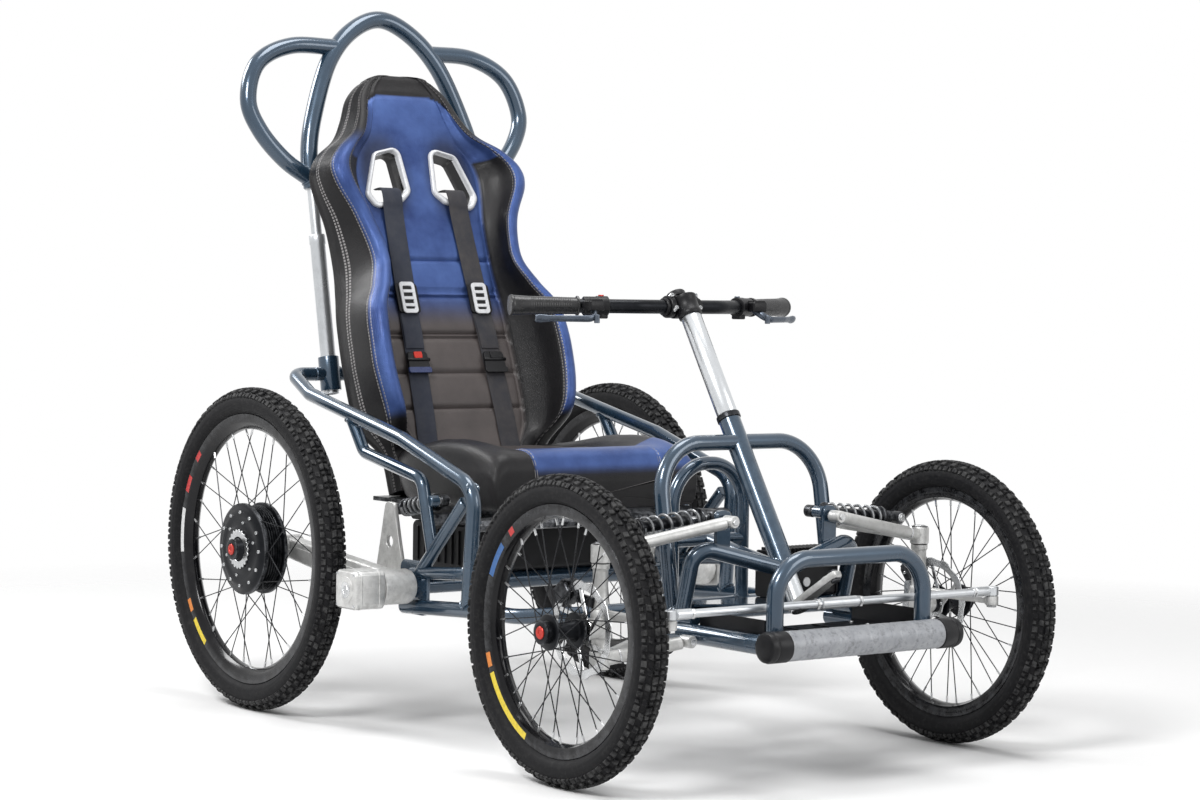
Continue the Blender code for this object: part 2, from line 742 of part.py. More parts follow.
def front_wheel(side):
    """A spoked rim, its hub bored for the axle, and its brake disc, as one turning piece."""
    name = "front_wheel_" + side_name(side)
    centre = Vector((FRONT_AXLE_X, side * WHEEL_Y, FRONT_TYRE_RADIUS))
    outward = ACROSS * side
    bore = AXLE_RADIUS + RUNNING_CLEARANCE
    step = HUB_FLANGE_THICKNESS
    hub = [(bore, -HUB_INNER_REACH), (HUB_RADIUS, -HUB_INNER_REACH)]
    hub += [(HUB_RADIUS, -DISC_INSET - DISC_THICKNESS), (DISC_RADIUS, -DISC_INSET - DISC_THICKNESS)]
    hub += [(DISC_RADIUS, -DISC_INSET), (HUB_RADIUS, -DISC_INSET)]
    hub += [(HUB_RADIUS, -INNER_FLANGE_OFFSET - step), (HUB_FLANGE_RADIUS, -INNER_FLANGE_OFFSET - step)]
    hub += [(HUB_FLANGE_RADIUS, -INNER_FLANGE_OFFSET), (HUB_RADIUS, -INNER_FLANGE_OFFSET)]
    hub += [(HUB_RADIUS, HUB_FLANGE_OFFSET - step), (HUB_FLANGE_RADIUS, HUB_FLANGE_OFFSET - step)]
    hub += [(HUB_FLANGE_RADIUS, HUB_FLANGE_OFFSET), (HUB_RADIUS, HUB_FLANGE_OFFSET)]
    hub += [(HUB_RADIUS, HUB_OUTER_REACH), (bore, HUB_OUTER_REACH)]
    hub_mesh = turned_mesh(name + "_hub", hub, HUB_STEPS, centre, outward)
    flanges = (-side * (INNER_FLANGE_OFFSET + step / 2), side * (HUB_FLANGE_OFFSET - step / 2))
    rim_radius = FRONT_BEAD_RADIUS - FRONT_RIM_DEPTH
    spokes = spoke_set(name + "_spokes", centre, HUB_FLANGE_RADIUS, rim_radius, flanges, SPOKE_CROSS_DEG)
    rim = rim_mesh(name + "_rim", centre, FRONT_BEAD_RADIUS, FRONT_RIM_DEPTH)
    welded(name, [rim, spokes, hub_mesh], silver)
    tyre("front_tyre_" + side_name(side), centre, FRONT_TYRE_RADIUS, FRONT_BEAD_RADIUS, rubber)


def rear_wheel(side):
    """A spoked rim on a wide motor hub, bored for the axle, as one turning piece."""
    name = "rear_wheel_" + side_name(side)
    centre = Vector((REAR_AXLE_X, side * WHEEL_Y, REAR_TYRE_RADIUS))
    outward = ACROSS * side
    bore = AXLE_RADIUS + RUNNING_CLEARANCE
    drum = [(bore, -MOTOR_HALF_WIDTH), (MOTOR_RADIUS - MOTOR_EDGE, -MOTOR_HALF_WIDTH)]
    drum += [(MOTOR_RADIUS, -MOTOR_HALF_WIDTH + MOTOR_EDGE), (MOTOR_RADIUS, MOTOR_HALF_WIDTH - MOTOR_EDGE)]
    drum += [(MOTOR_RADIUS - MOTOR_EDGE, MOTOR_HALF_WIDTH), (HUB_RADIUS, MOTOR_HALF_WIDTH)]
    drum += [(HUB_RADIUS, HUB_OUTER_REACH), (bore, HUB_OUTER_REACH)]
    drum_mesh = turned_mesh(name + "_drum", drum, DISC_STEPS, centre, outward)
    reach = MOTOR_HALF_WIDTH - MOTOR_EDGE * 2
    flanges = (-side * reach, side * reach)
    rim_radius = REAR_BEAD_RADIUS - RIM_DEPTH
    spokes = spoke_set(name + "_spokes", centre, MOTOR_RADIUS, rim_radius, flanges, MOTOR_CROSS_DEG)
    rim = rim_mesh(name + "_rim", centre, REAR_BEAD_RADIUS, RIM_DEPTH)
    welded(name, [rim, spokes, drum_mesh], black_metal)
    tyre("rear_tyre_" + side_name(side), centre, REAR_TYRE_RADIUS, REAR_BEAD_RADIUS, rubber)


def post_line():
    return [station(POST_FOOT_X, SIDE_Y, RAIL_MID_Z), station(POST_TOP_X, SIDE_Y, POST_TOP_Z)]


def diagonal_line():
    foot = from_pivot(DIAGONAL_FOOT_X, SIDE_Y, PIVOT_Z)
    return [foot, station(DIAGONAL_TOP_X, SIDE_Y, DIAGONAL_TOP_Z)]


def bridge_line():
    """The shock's carrier tube where it drops onto the diagonal."""
    foot, top = diagonal_line()
    return [from_pivot(BRIDGE_FRONT_X, SIDE_Y, BRIDGE_FRONT_Z), foot.lerp(top, BRIDGE_FOOT_SHARE)]


def rail_path(side):
    """The lower rail: straight beside the seat, then in towards the front frame."""
    rail = [from_pivot(RAIL_REAR_X, SIDE_Y, RAIL_REAR_Z), from_front(RAIL_JOINT_X, SIDE_Y, RAIL_MID_Z)]
    rail += [from_front(RAIL_BEND_X, SIDE_Y, RAIL_MID_Z), from_front(RAIL_IN_X, FRONT_RAIL_Y, RAIL_FRONT_Z)]
    rail += [from_front(RAIL_END_X, FRONT_RAIL_Y, RAIL_FRONT_Z)]
    return bent(mirrored(rail, side), BEND_RADIUS * 2)


def bumper_rail():
    """The bumper's rail, welded along the lower rail's underside."""
    start = from_front(BUMPER_RAIL_START_X, BUMPER_RAIL_Y, BUMPER_RAIL_Z)
    return [start, from_front(BUMPER_AHEAD, BUMPER_RAIL_Y, BUMPER_Z)]


def side_frame(side):
    """One side's tubes: bent upper tube, lower rail, post, diagonal and the shock's carrier."""
    name = "side_frame_" + side_name(side)
    upper = post_line()
    upper += [station(UPPER_BEND_X, SIDE_Y, UPPER_BEND_Z), station(REAR_BEND_X, SIDE_Y, REAR_BEND_Z)]
    upper += [
        station(BACK_TUBE_X, BACK_CORNER_Y, BACK_TUBE_Z),
        station(BACK_TUBE_X, BACK_TUBE_END_Y, BACK_TUBE_Z),
    ]
    stay = [from_pivot(DIAGONAL_FOOT_X, SIDE_Y, STAY_Z), station(POST_FOOT_X, SIDE_Y, STAY_Z + STAY_RISE)]
    bridge = [upper[2].lerp(upper[3], BRIDGE_REAR_SHARE), from_pivot(BRIDGE_DROP_X, SIDE_Y, BRIDGE_DROP_Z)]
    bridge += bridge_line()
    plate_centre = from_pivot(PIVOT_PLATE_X, SIDE_Y, PIVOT_PLATE_Z)
    half_length, half_height = PIVOT_PLATE_LENGTH / 2, PIVOT_PLATE_HEIGHT / 2
    outline = [(-half_length, -half_height), (half_length, -half_height)]
    outline += [(half_length, half_height), (-half_length, half_height)]
    plate = plate_mesh(
        name + "_plate",
        rounded(outline, PLATE_CORNER),
        mirrored([plate_centre], side)[0],
        AHEAD,
        UP,
        PIVOT_PLATE_THICKNESS,
    )
    meshes = [tube_mesh(name + "_upper", bent(mirrored(upper, side), BEND_RADIUS), FRAME_TUBE_RADIUS)]
    meshes.append(tube_mesh(name + "_rail", rail_path(side), FRAME_TUBE_RADIUS))
    meshes.append(tube_mesh(name + "_diagonal", mirrored(diagonal_line(), side), SMALL_TUBE_RADIUS, SMALL_SIDES))
    meshes.append(tube_mesh(name + "_stay", mirrored(stay, side), SMALL_TUBE_RADIUS, SMALL_SIDES))
    meshes.append(
        tube_mesh(
            name + "_bridge",
            bent(mirrored(bridge, side), BEND_RADIUS / 2, 3),
            SMALL_TUBE_RADIUS,
            SMALL_SIDES,
        )
    )
    meshes.append(plate)
    boss_end = from_pivot(SHOCK_FRONT_X, SHOCK_Y + SHOCK_EYE_LENGTH / 2 + CLEARANCE, SHOCK_FRONT_Z)
    boss_start = from_pivot(SHOCK_FRONT_X, SIDE_Y, SHOCK_FRONT_Z)
    meshes.append(
        bar_mesh(name + "_boss", *mirrored([boss_start, boss_end], side), SHOCK_EYE_RADIUS, SMALL_SIDES)
    )
    pivot_start = from_pivot(0, SIDE_Y - FRAME_TUBE_RADIUS - CLEARANCE, PIVOT_Z)
    pivot_end = from_pivot(0, ARM_BARREL_INNER_Y - CLEARANCE, PIVOT_Z)
    meshes.append(bar_mesh(name + "_pivot", *mirrored([pivot_start, pivot_end], side), PIVOT_BOSS_RADIUS))
    cope = bar_mesh("cope", *mirrored(bumper_rail(), side), BUMPER_RAIL_RADIUS + CLEARANCE)
    welded(name, meshes, blue_paint, [cope])


def smooth(points, steps):
    """A curve through the points, each span bending evenly into the next."""
    ends = [points[0] * 2 - points[1]] + points + [points[-1] * 2 - points[-2]]
    path = [points[0]]
    for a, b, c, d in zip(ends, ends[1:], ends[2:], ends[3:]):
        for k in range(1, steps + 1):
            t = k / steps
            near = b * 2 + (c - a) * t
            far = (a * 2 - b * 5 + c * 4 - d) * t * t + (b * 3 - a - c * 3 + d) * t * t * t
            path.append((near + far) / 2)
    return path


def steering_axis():
    rake = math.radians(COLUMN_RAKE_DEG)
    return Vector((-math.sin(rake), 0, math.cos(rake)))


def lean():
    """The direction of the push bar's uprights."""
    return Vector((-PUSH_LEAN_SHARE, 0, 1)).normalized()


def push_point(y, z):
    """A point of the push bar's leaning plane."""
    return station(BACK_TUBE_X - (z - BACK_TUBE_Z) * PUSH_LEAN_SHARE, y, z)


def cross_frame():
    """The tubes that join the two sides, and the sockets of the push bar's uprights."""
    half = BACK_TUBE_END_Y - CLEARANCE
    ends = [station(BACK_TUBE_X, -half, BACK_TUBE_Z), station(BACK_TUBE_X, half, BACK_TUBE_Z)]
    meshes = [bar_mesh("rear_bar", *ends, FRAME_TUBE_RADIUS)]
    cuts = []
    for side in (RIGHT, LEFT):
        middle = push_point(side * UPRIGHT_Y, BACK_TUBE_Z)
        reach = lean() * SOCKET_HALF_HEIGHT
        meshes.append(bar_mesh("socket", middle - reach, middle + reach, SOCKET_RADIUS, COLUMN_STEPS))
        longer = lean() * (SOCKET_HALF_HEIGHT + CUT_OVERRUN)
        cuts.append(
            bar_mesh("bore", middle - longer, middle + longer, UPRIGHT_RADIUS + CLEARANCE, COLUMN_STEPS)
        )
        foot = push_point(side * UPRIGHT_Y, UPRIGHT_FOOT_Z)
        top = push_point(side * UPRIGHT_Y, PUSH_JOINT_Z - UPRIGHT_BELOW_JOINT)
        name = "push_upright_" + side_name(side)
        add_object(name, pipe_mesh(name, foot, top, UPRIGHT_RADIUS, UPRIGHT_BORE_RADIUS), silver)
    welded("rear_crossbar", meshes, blue_paint, cuts)
    half = SIDE_Y - FRAME_TUBE_RADIUS - CLEARANCE * 2
    ends = [from_pivot(0, -half, PIVOT_Z), from_pivot(0, half, PIVOT_Z)]
    add_object("pivot_crossbar", bar_mesh("pivot_crossbar", *ends, PIVOT_TUBE_RADIUS), blue_paint)


def cradle_bar_x(path):
    """Where the cradle's bar meets a tube that runs along the path."""
    share = (CRADLE_BAR_Z - path[0].z) / (path[1].z - path[0].z)
    return path[0].lerp(path[1], share).x


def seat_cradle():
    """The pan under the cushion and the two tubes that carry it."""
    low = station(CRADLE_REAR_X, -CRADLE_HALF_WIDTH, CUSHION_BOTTOM_Z - CLEARANCE - CRADLE_THICKNESS)
    high = station(CRADLE_FRONT_X, CRADLE_HALF_WIDTH, CUSHION_BOTTOM_Z - CLEARANCE)
    meshes = [box_mesh("pan", low, high)]
    cuts = []
    recline = math.radians(BACK_RECLINE_DEG)
    along = Vector((-math.sin(recline), 0, math.cos(recline)))
    reach = CRADLE_BRACKET_SHARE * BACK_LENGTH
    behind = BACK_THICKNESS + CLEARANCE + CRADLE_THICKNESS / 2
    pan_middle = low.z + CRADLE_THICKNESS / 2
    down = (BACK_BASE_Z - behind * math.sin(recline) - pan_middle) / math.cos(recline)
    for side in (RIGHT, LEFT):
        centre = back_point(0, side * CRADLE_BRACKET_Y, -behind)
        half = CRADLE_BRACKET_WIDTH / 2
        outline = [(-half, -down), (half, -down), (half, reach), (-half, reach)]
        meshes.append(plate_mesh("bracket", outline, centre, ACROSS, along, CRADLE_THICKNESS))
    inside = SIDE_Y - FRAME_TUBE_RADIUS / 2
    for path, radius in ((post_line(), FRAME_TUBE_RADIUS), (bridge_line(), SMALL_TUBE_RADIUS)):
        x = cradle_bar_x(path)
        ends = [Vector((x, -inside, CRADLE_BAR_Z)), Vector((x, inside, CRADLE_BAR_Z))]
        meshes.append(bar_mesh("cradle_bar", *ends, SMALL_TUBE_RADIUS))
        for side in (RIGHT, LEFT):
            cuts.append(bar_mesh("cope", *mirrored(path, side), radius + CLEARANCE * 2))
    welded("seat_cradle", meshes, black_metal, cuts)


def battery_box():
    """The box on the pivots' tube, under the pan and just behind the cradle's rear bar."""
    top = CUSHION_BOTTOM_Z - CLEARANCE * 2 - CRADLE_THICKNESS
    half_length = BATTERY_LENGTH / 2
    front_x = cradle_bar_x(bridge_line()) - SMALL_TUBE_RADIUS - BATTERY_GAP
    half_height = (top - BATTERY_BOTTOM_Z) / 2
    outline = [(-half_length, -half_height), (half_length, -half_height)]
    outline += [(half_length, half_height), (-half_length, half_height)]
    middle = Vector((front_x - half_length, 0, BATTERY_BOTTOM_Z + half_height))
    mesh = plate_mesh(
        "battery_box",
        rounded(outline, BATTERY_CORNER),
        middle,
        AHEAD,
        UP,
        BATTERY_HALF_WIDTH * 2,
    )
    add_object("battery_box", mesh, black_metal)


def front_frame():
    """The two hoops, the posts, the tubes that run to the foot of the steering tube, and the shocks' tabs."""
    foot_z = RAIL_FRONT_Z + FRAME_TUBE_RADIUS * COPE_SHARE
    hoop = [from_front(HOOP_FOOT_X, HOOP_Y, foot_z), from_front(HOOP_TOP_X, HOOP_Y, HOOP_TOP_Z)]
    hoop = mirrored(hoop, RIGHT) + mirrored(hoop, LEFT)[::-1]
    inner = [
        from_front(INNER_HOOP_X, INNER_HOOP_Y, REAR_CROSS_Z),
        from_front(INNER_HOOP_X, INNER_HOOP_Y, INNER_HOOP_TOP_Z),
    ]
    inner = mirrored(inner, RIGHT) + mirrored(inner, LEFT)[::-1]
    node = from_front(COLUMN_FOOT_X, 0, COLUMN_FOOT_Z)
    floor_y = FRONT_RAIL_Y - FRAME_TUBE_RADIUS * COPE_SHARE
    floor = [
        from_front(FLOOR_CROSS_X, -floor_y, RAIL_FRONT_Z),
        from_front(FLOOR_CROSS_X, floor_y, RAIL_FRONT_Z),
    ]
    rear_cross = [
        from_front(INNER_HOOP_X, -REAR_CROSS_Y, REAR_CROSS_Z),
        from_front(INNER_HOOP_X, REAR_CROSS_Y, REAR_CROSS_Z),
    ]
    spine = [from_front(INNER_HOOP_X, 0, INNER_HOOP_BAR_Z), node]
    inner_bar = [
        from_front(INNER_HOOP_X, -INNER_HOOP_Y, INNER_HOOP_BAR_Z),
        from_front(INNER_HOOP_X, INNER_HOOP_Y, INNER_HOOP_BAR_Z),
    ]
    meshes = [tube_mesh("hoop", bent(hoop, HOOP_BEND_RADIUS, HOOP_STEPS), FRAME_TUBE_RADIUS)]
    meshes.append(
        tube_mesh(
            "inner_hoop",
            bent(inner, INNER_HOOP_BEND_RADIUS, HOOP_STEPS),
            SMALL_TUBE_RADIUS,
            SMALL_SIDES,
        )
    )
    meshes.append(bar_mesh("floor_cross", *floor, FRAME_TUBE_RADIUS))
    meshes.append(bar_mesh("rear_cross", *rear_cross, FRAME_TUBE_RADIUS, SMALL_SIDES))
    meshes.append(bar_mesh("spine", *spine, SMALL_TUBE_RADIUS, SMALL_SIDES))
    meshes.append(bar_mesh("inner_bar", *inner_bar, CROSS_TUBE_RADIUS, SMALL_SIDES))
    for side in (RIGHT, LEFT):
        past_node = from_front(COLUMN_FOOT_X, -NODE_OVERRUN, COLUMN_FOOT_Z)
        post = [from_front(NODE_POST_FOOT_X, NODE_POST_Y, foot_z)]
        post += [from_front(NODE_POST_TOP_X, NODE_POST_Y, NODE_POST_TOP_Z), past_node]
        meshes.append(tube_mesh("post", bent(mirrored(post, side), BEND_RADIUS / 2, 3), FRAME_TUBE_RADIUS))
        tab_middle = (TAB_TOP_Z - TAB_BOTTOM_Z) / 2
        outline = [(-TAB_WIDTH / 2, -tab_middle), (TAB_WIDTH / 2, -tab_middle)]
        outline += [(TAB_WIDTH / 2, tab_middle), (-TAB_WIDTH / 2, tab_middle)]
        centre = from_front(TAB_X, side * UPPER_PIVOT_FRONT_Y, TAB_BOTTOM_Z + tab_middle)
        meshes.append(plate_mesh("tab", rounded(outline, TAB_CORNER), centre, ACROSS, UP, TAB_THICKNESS))
        boss = [from_front(TAB_X, FRONT_SHOCK_INNER_Y, FRONT_SHOCK_INNER_Z)]
        boss.append(
            from_front(
                FRONT_SHOCK_X + SHOCK_EYE_LENGTH / 2 + CLEARANCE,
                FRONT_SHOCK_INNER_Y,
                FRONT_SHOCK_INNER_Z,
            )
        )
        meshes.append(bar_mesh("boss", *mirrored(boss, side), SHOCK_EYE_RADIUS - CLEARANCE, SMALL_SIDES))
    axis = steering_axis()
    foot = node - axis * COLUMN_BELOW
    top = node + axis * STEERING_TUBE_LENGTH
    below = node - axis * STEERING_TUBE_BELOW
    meshes.append(bar_mesh("steering_tube", below, top, STEERING_TUBE_RADIUS, COLUMN_STEPS))
    bore = bore_for(COLUMN_RADIUS, RUNNING_CLEARANCE, BORE_STEPS)
    cuts = [bar_mesh("bore", foot, top + axis * CUT_OVERRUN, bore, BORE_STEPS)]
    for side in (RIGHT, LEFT):
        cuts.append(tube_mesh("cope", rail_path(side), FRAME_TUBE_RADIUS + CLEARANCE))
        cuts.append(bar_mesh("cope", *mirrored(bumper_rail(), side), BUMPER_RAIL_RADIUS + CLEARANCE))
    welded("front_frame", meshes, blue_paint, cuts)


def floor_plate():
    outline = [(x * FLOOR_LENGTH, y * FLOOR_HALF_WIDTH) for x, y in FLOOR_OUTLINE_SHARES]
    height = RAIL_FRONT_Z + FRAME_TUBE_RADIUS + CLEARANCE + FLOOR_THICKNESS / 2
    mesh = plate_mesh(
        "floor_plate",
        outline,
        from_front(FLOOR_REAR_X, 0, height),
        AHEAD,
        ACROSS,
        FLOOR_THICKNESS,
    )
    add_object("floor_plate", mesh, blue_paint)


def controller_box():
    """The closed box that stands on the floor plate beside the spine."""
    half_length = CONTROLLER_LENGTH / 2
    half_height = CONTROLLER_HEIGHT / 2
    outline = [(-half_length, -half_height), (half_length, -half_height)]
    outline += [(half_length, half_height), (-half_length, half_height)]
    foot = RAIL_FRONT_Z + FRAME_TUBE_RADIUS + CLEARANCE + FLOOR_THICKNESS + CLEARANCE
    y = SMALL_TUBE_RADIUS + CONTROLLER_GAP + CONTROLLER_WIDTH / 2
    middle = from_front(CONTROLLER_X, y, foot + half_height)
    mesh = plate_mesh(
        "controller_box",
        rounded(outline, PLATE_CORNER / 2),
        middle,
        AHEAD,
        UP,
        CONTROLLER_WIDTH,
    )
    add_object("controller_box", mesh, black_metal)


def skid_plate():
    """The channel of bent sheet between the bumper's rails: a floor with a low wall along each rail."""
    half = BUMPER_RAIL_Y - BUMPER_RAIL_RADIUS - CLEARANCE
    inside = half - SKID_THICKNESS
    floor = -SKID_THICKNESS
    outline = [(-half, floor), (half, floor), (half, SKID_WALL), (inside, SKID_WALL)]
    outline += [(inside, 0), (-inside, 0), (-inside, SKID_WALL), (-half, SKID_WALL)]
    middle = from_front(SKID_X, 0, BUMPER_Z)
    add_object("skid_plate", plate_mesh("skid_plate", outline, middle, ACROSS, UP, SKID_LENGTH), black_metal)


def bumper():
    """The two rails and the loop as one welded piece, and the banded bar across their front."""
    loop_x = BUMPER_AHEAD - LOOP_BEHIND
    loop = [from_front(loop_x, LOOP_Y, BUMPER_Z), from_front(loop_x, LOOP_Y, LOOP_TOP_Z)]
    loop = mirrored(loop, RIGHT) + mirrored(loop, LEFT)[::-1]
    meshes = [tube_mesh("loop", bent(loop, HOOP_BEND_RADIUS, HOOP_STEPS), LOOP_TUBE_RADIUS)]
    for side in (RIGHT, LEFT):
        meshes.append(bar_mesh("bumper_rail", *mirrored(bumper_rail(), side), BUMPER_RAIL_RADIUS))
    ends = [
        from_front(BUMPER_AHEAD, -BUMPER_HALF_LENGTH, BUMPER_Z),
        from_front(BUMPER_AHEAD, BUMPER_HALF_LENGTH, BUMPER_Z),
    ]
    cut = bar_mesh("cope", *ends, BUMPER_BAR_RADIUS + CLEARANCE, COLUMN_STEPS)
    welded("bumper_frame", meshes, blue_paint, [cut])
    length = BUMPER_HALF_LENGTH * 2
    profile = [(0, 0), (BUMPER_BAR_RADIUS, 0), (BUMPER_BAR_RADIUS, BUMPER_CAP_LENGTH)]
    profile += [(BUMPER_BAND_RADIUS, BUMPER_CAP_LENGTH), (BUMPER_BAND_RADIUS, length - BUMPER_CAP_LENGTH)]
    profile += [(BUMPER_BAR_RADIUS, length - BUMPER_CAP_LENGTH), (BUMPER_BAR_RADIUS, length), (0, length)]
    add_object("bumper_bar", turned_mesh("bumper_bar", profile, COLUMN_STEPS, ends[0], ACROSS), black_metal)


def axle_mesh(centre, side, start_y):
    """The axle that a wheel turns on, with the cap that keeps the wheel on it."""
    cap_start = WHEEL_Y + HUB_OUTER_REACH + RUNNING_CLEARANCE - start_y
    cap_end = cap_start + AXLE_CAP_THICKNESS
    profile = [(0, 0), (AXLE_RADIUS, 0), (AXLE_RADIUS, cap_start)]
    profile += [(AXLE_CAP_RADIUS, cap_start), (AXLE_CAP_RADIUS, cap_end), (0, cap_end)]
    start = Vector((centre.x, side * start_y, centre.z))
    return turned_mesh("axle", profile, HUB_STEPS, start, ACROSS * side)


def trailing_arm(side):
    """The rear arm: barrel and block ahead of the tyre, the arm back to the axle, the shock's bracket."""
    name = "trailing_arm_" + side_name(side)
    inner = from_pivot(0, ARM_BARREL_INNER_Y, PIVOT_Z)
    outer = from_pivot(0, ARM_BLOCK_INNER_Y + CUT_OVERRUN, PIVOT_Z)
    barrel = bar_mesh(name, *mirrored([inner, outer], side), ARM_BARREL_RADIUS, COLUMN_STEPS)
    half = ARM_BLOCK_HALF
    outline = rounded([(-half, -half), (half, -half), (half, half), (-half, half)], PLATE_CORNER / 2)
    block_y = (ARM_BLOCK_INNER_Y + ARM_BLOCK_OUTER_Y) / 2
    block_centre = mirrored([from_pivot(0, block_y, PIVOT_Z)], side)[0]
    block = plate_mesh("block", outline, block_centre, AHEAD, UP, ARM_BLOCK_OUTER_Y - ARM_BLOCK_INNER_Y)
    axle = Vector((REAR_AXLE_X, ARM_Y, REAR_TYRE_RADIUS))
    rings = []
    for point, height in ((from_pivot(0, ARM_Y, PIVOT_Z), ARM_HEIGHT_FRONT), (axle, ARM_HEIGHT_REAR)):
        low, high = point - UP * (height / 2), point + UP * (height / 2)
        aside = ACROSS * (ARM_WIDTH / 2)
        rings.append(mirrored([low - aside, low + aside, high + aside, high - aside], side))
    arm = rings_mesh("arm", rings)
    boss_end = Vector((REAR_AXLE_X, WHEEL_Y - MOTOR_HALF_WIDTH - RUNNING_CLEARANCE, REAR_TYRE_RADIUS))
    boss_start = Vector((REAR_AXLE_X, ARM_Y - ARM_WIDTH / 2 - CUT_OVERRUN / 2, REAR_TYRE_RADIUS))
    boss = bar_mesh(
        "boss",
        *mirrored([boss_start, boss_end], side),
        ARM_HEIGHT_REAR * ARM_BOSS_SHARE,
        COLUMN_STEPS,
    )
    plate_y = SHOCK_Y + SHOCK_EYE_LENGTH / 2 + CLEARANCE + BRACKET_THICKNESS / 2
    top = SHOCK_REAR_Z + BRACKET_TOP_HALF
    outline = [(BRACKET_REAR_X, BRACKET_FOOT_Z), (BRACKET_FRONT_X, BRACKET_FOOT_Z)]
    outline += [(SHOCK_REAR_X + BRACKET_TOP_HALF, top), (SHOCK_REAR_X - BRACKET_TOP_HALF, top)]
    plate = plate_mesh(
        "bracket",
        rounded(outline, PLATE_CORNER / 2),
        from_pivot(0, side * plate_y, 0),
        AHEAD,
        UP,
        BRACKET_THICKNESS,
    )
    low = from_pivot(BRACKET_REAR_X, plate_y - BRACKET_THICKNESS / 2, BRACKET_FOOT_Z)
    high = from_pivot(BRACKET_FRONT_X, ARM_Y, BRACKET_FOOT_Z + BRACKET_FOOT_HEIGHT)
    near, far = mirrored([low, high], side)
    foot = box_mesh(
        "foot",
        Vector((near.x, min(near.y, far.y), near.z)),
        Vector((far.x, max(near.y, far.y), far.z)),
    )
    hole_x = SHOCK_REAR_X + (BRACKET_FRONT_X + BRACKET_REAR_X - SHOCK_REAR_X * 2) / 4
    hole_z = (BRACKET_FOOT_Z + BRACKET_FOOT_HEIGHT + SHOCK_REAR_Z) / 2 - BRACKET_HOLE_DROP
    ends = [
        from_pivot(hole_x, plate_y - CUT_OVERRUN, hole_z),
        from_pivot(hole_x, plate_y + CUT_OVERRUN, hole_z),
    ]
    hole = bar_mesh("hole", *mirrored(ends, side), BRACKET_HOLE_RADIUS)
    meshes = [arm, barrel, block, boss, foot, plate, axle_mesh(axle, side, ARM_Y)]
    welded(name, meshes, silver, [hole])


def shock(name, first, last, eye_axis, radius, spring_start_share, spring_end_share, material):
    """A shock absorber between two eyes: a rod, a wide coil over its middle and an eye at each end."""
    along = last - first
    over = along.normalized() * (SHOCK_EYE_RADIUS * EYE_OVERLAP_SHARE)
    rod = bar_mesh(name, first - over, last + over, radius * SHOCK_ROD_SHARE, SMALL_SIDES)
    spring = bar_mesh(
        "spring",
        first + along * spring_start_share,
        first + along * spring_end_share,
        radius,
        HUB_STEPS,
    )
    half = eye_axis * (SHOCK_EYE_LENGTH / 2)
    eyes = [bar_mesh("eye", end - half, end + half, SHOCK_EYE_RADIUS) for end in (first, last)]
    welded(name, [joined(name, eyes), rod, spring], material)


def front_arms(side):
    """Upper and lower arms: two tubes each, from their pivots to the eye round the kingpin."""
    kingpin = from_front(0, KINGPIN_Y, 0)
    pivots = {
        "upper": (
            (UPPER_PIVOT_FRONT_X, UPPER_PIVOT_FRONT_Y, UPPER_PIVOT_FRONT_Z),
            (HOOP_LEG_X, UPPER_PIVOT_REAR_Y, UPPER_PIVOT_Z),
            UPPER_EYE_Z,
        ),
        "lower": (
            (ARM_PIVOT_FRONT_X, LOWER_PIVOT_Y, LOWER_PIVOT_Z),
            (ARM_PIVOT_REAR_X, LOWER_PIVOT_Y, LOWER_PIVOT_Z),
            LOWER_EYE_Z,
        ),
    }
    for level, (front, rear, eye_z) in pivots.items():
        name = f"{level}_arm_{side_name(side)}"
        centre = kingpin + UP * eye_z
        half = UP * (KINGPIN_EYE_HEIGHT / 2)
        meshes = [
            bar_mesh(name, *mirrored([centre - half, centre + half], side), KINGPIN_EYE_RADIUS, HUB_STEPS)
        ]
        for pivot in (front, rear):
            inner = from_front(*pivot)
            outer = centre + (inner - centre).normalized() * (KINGPIN_EYE_RADIUS / 2 + KINGPIN_RADIUS / 2)
            meshes.append(bar_mesh("arm_tube", *mirrored([inner, outer], side), ARM_TUBE_RADIUS, SMALL_SIDES))
            reach = AHEAD * (ARM_EYE_LENGTH / 2)
            meshes.append(
                bar_mesh(
                    "arm_eye",
                    *mirrored([inner - reach, inner + reach], side),
                    ARM_PIVOT_RADIUS,
                    SMALL_SIDES,
                )
            )
        longer = half * 2
        bore = KINGPIN_RADIUS + RUNNING_CLEARANCE
        cut = bar_mesh("bore", *mirrored([centre - longer, centre + longer], side), bore, HUB_STEPS)
        welded(name, meshes, silver, [cut])


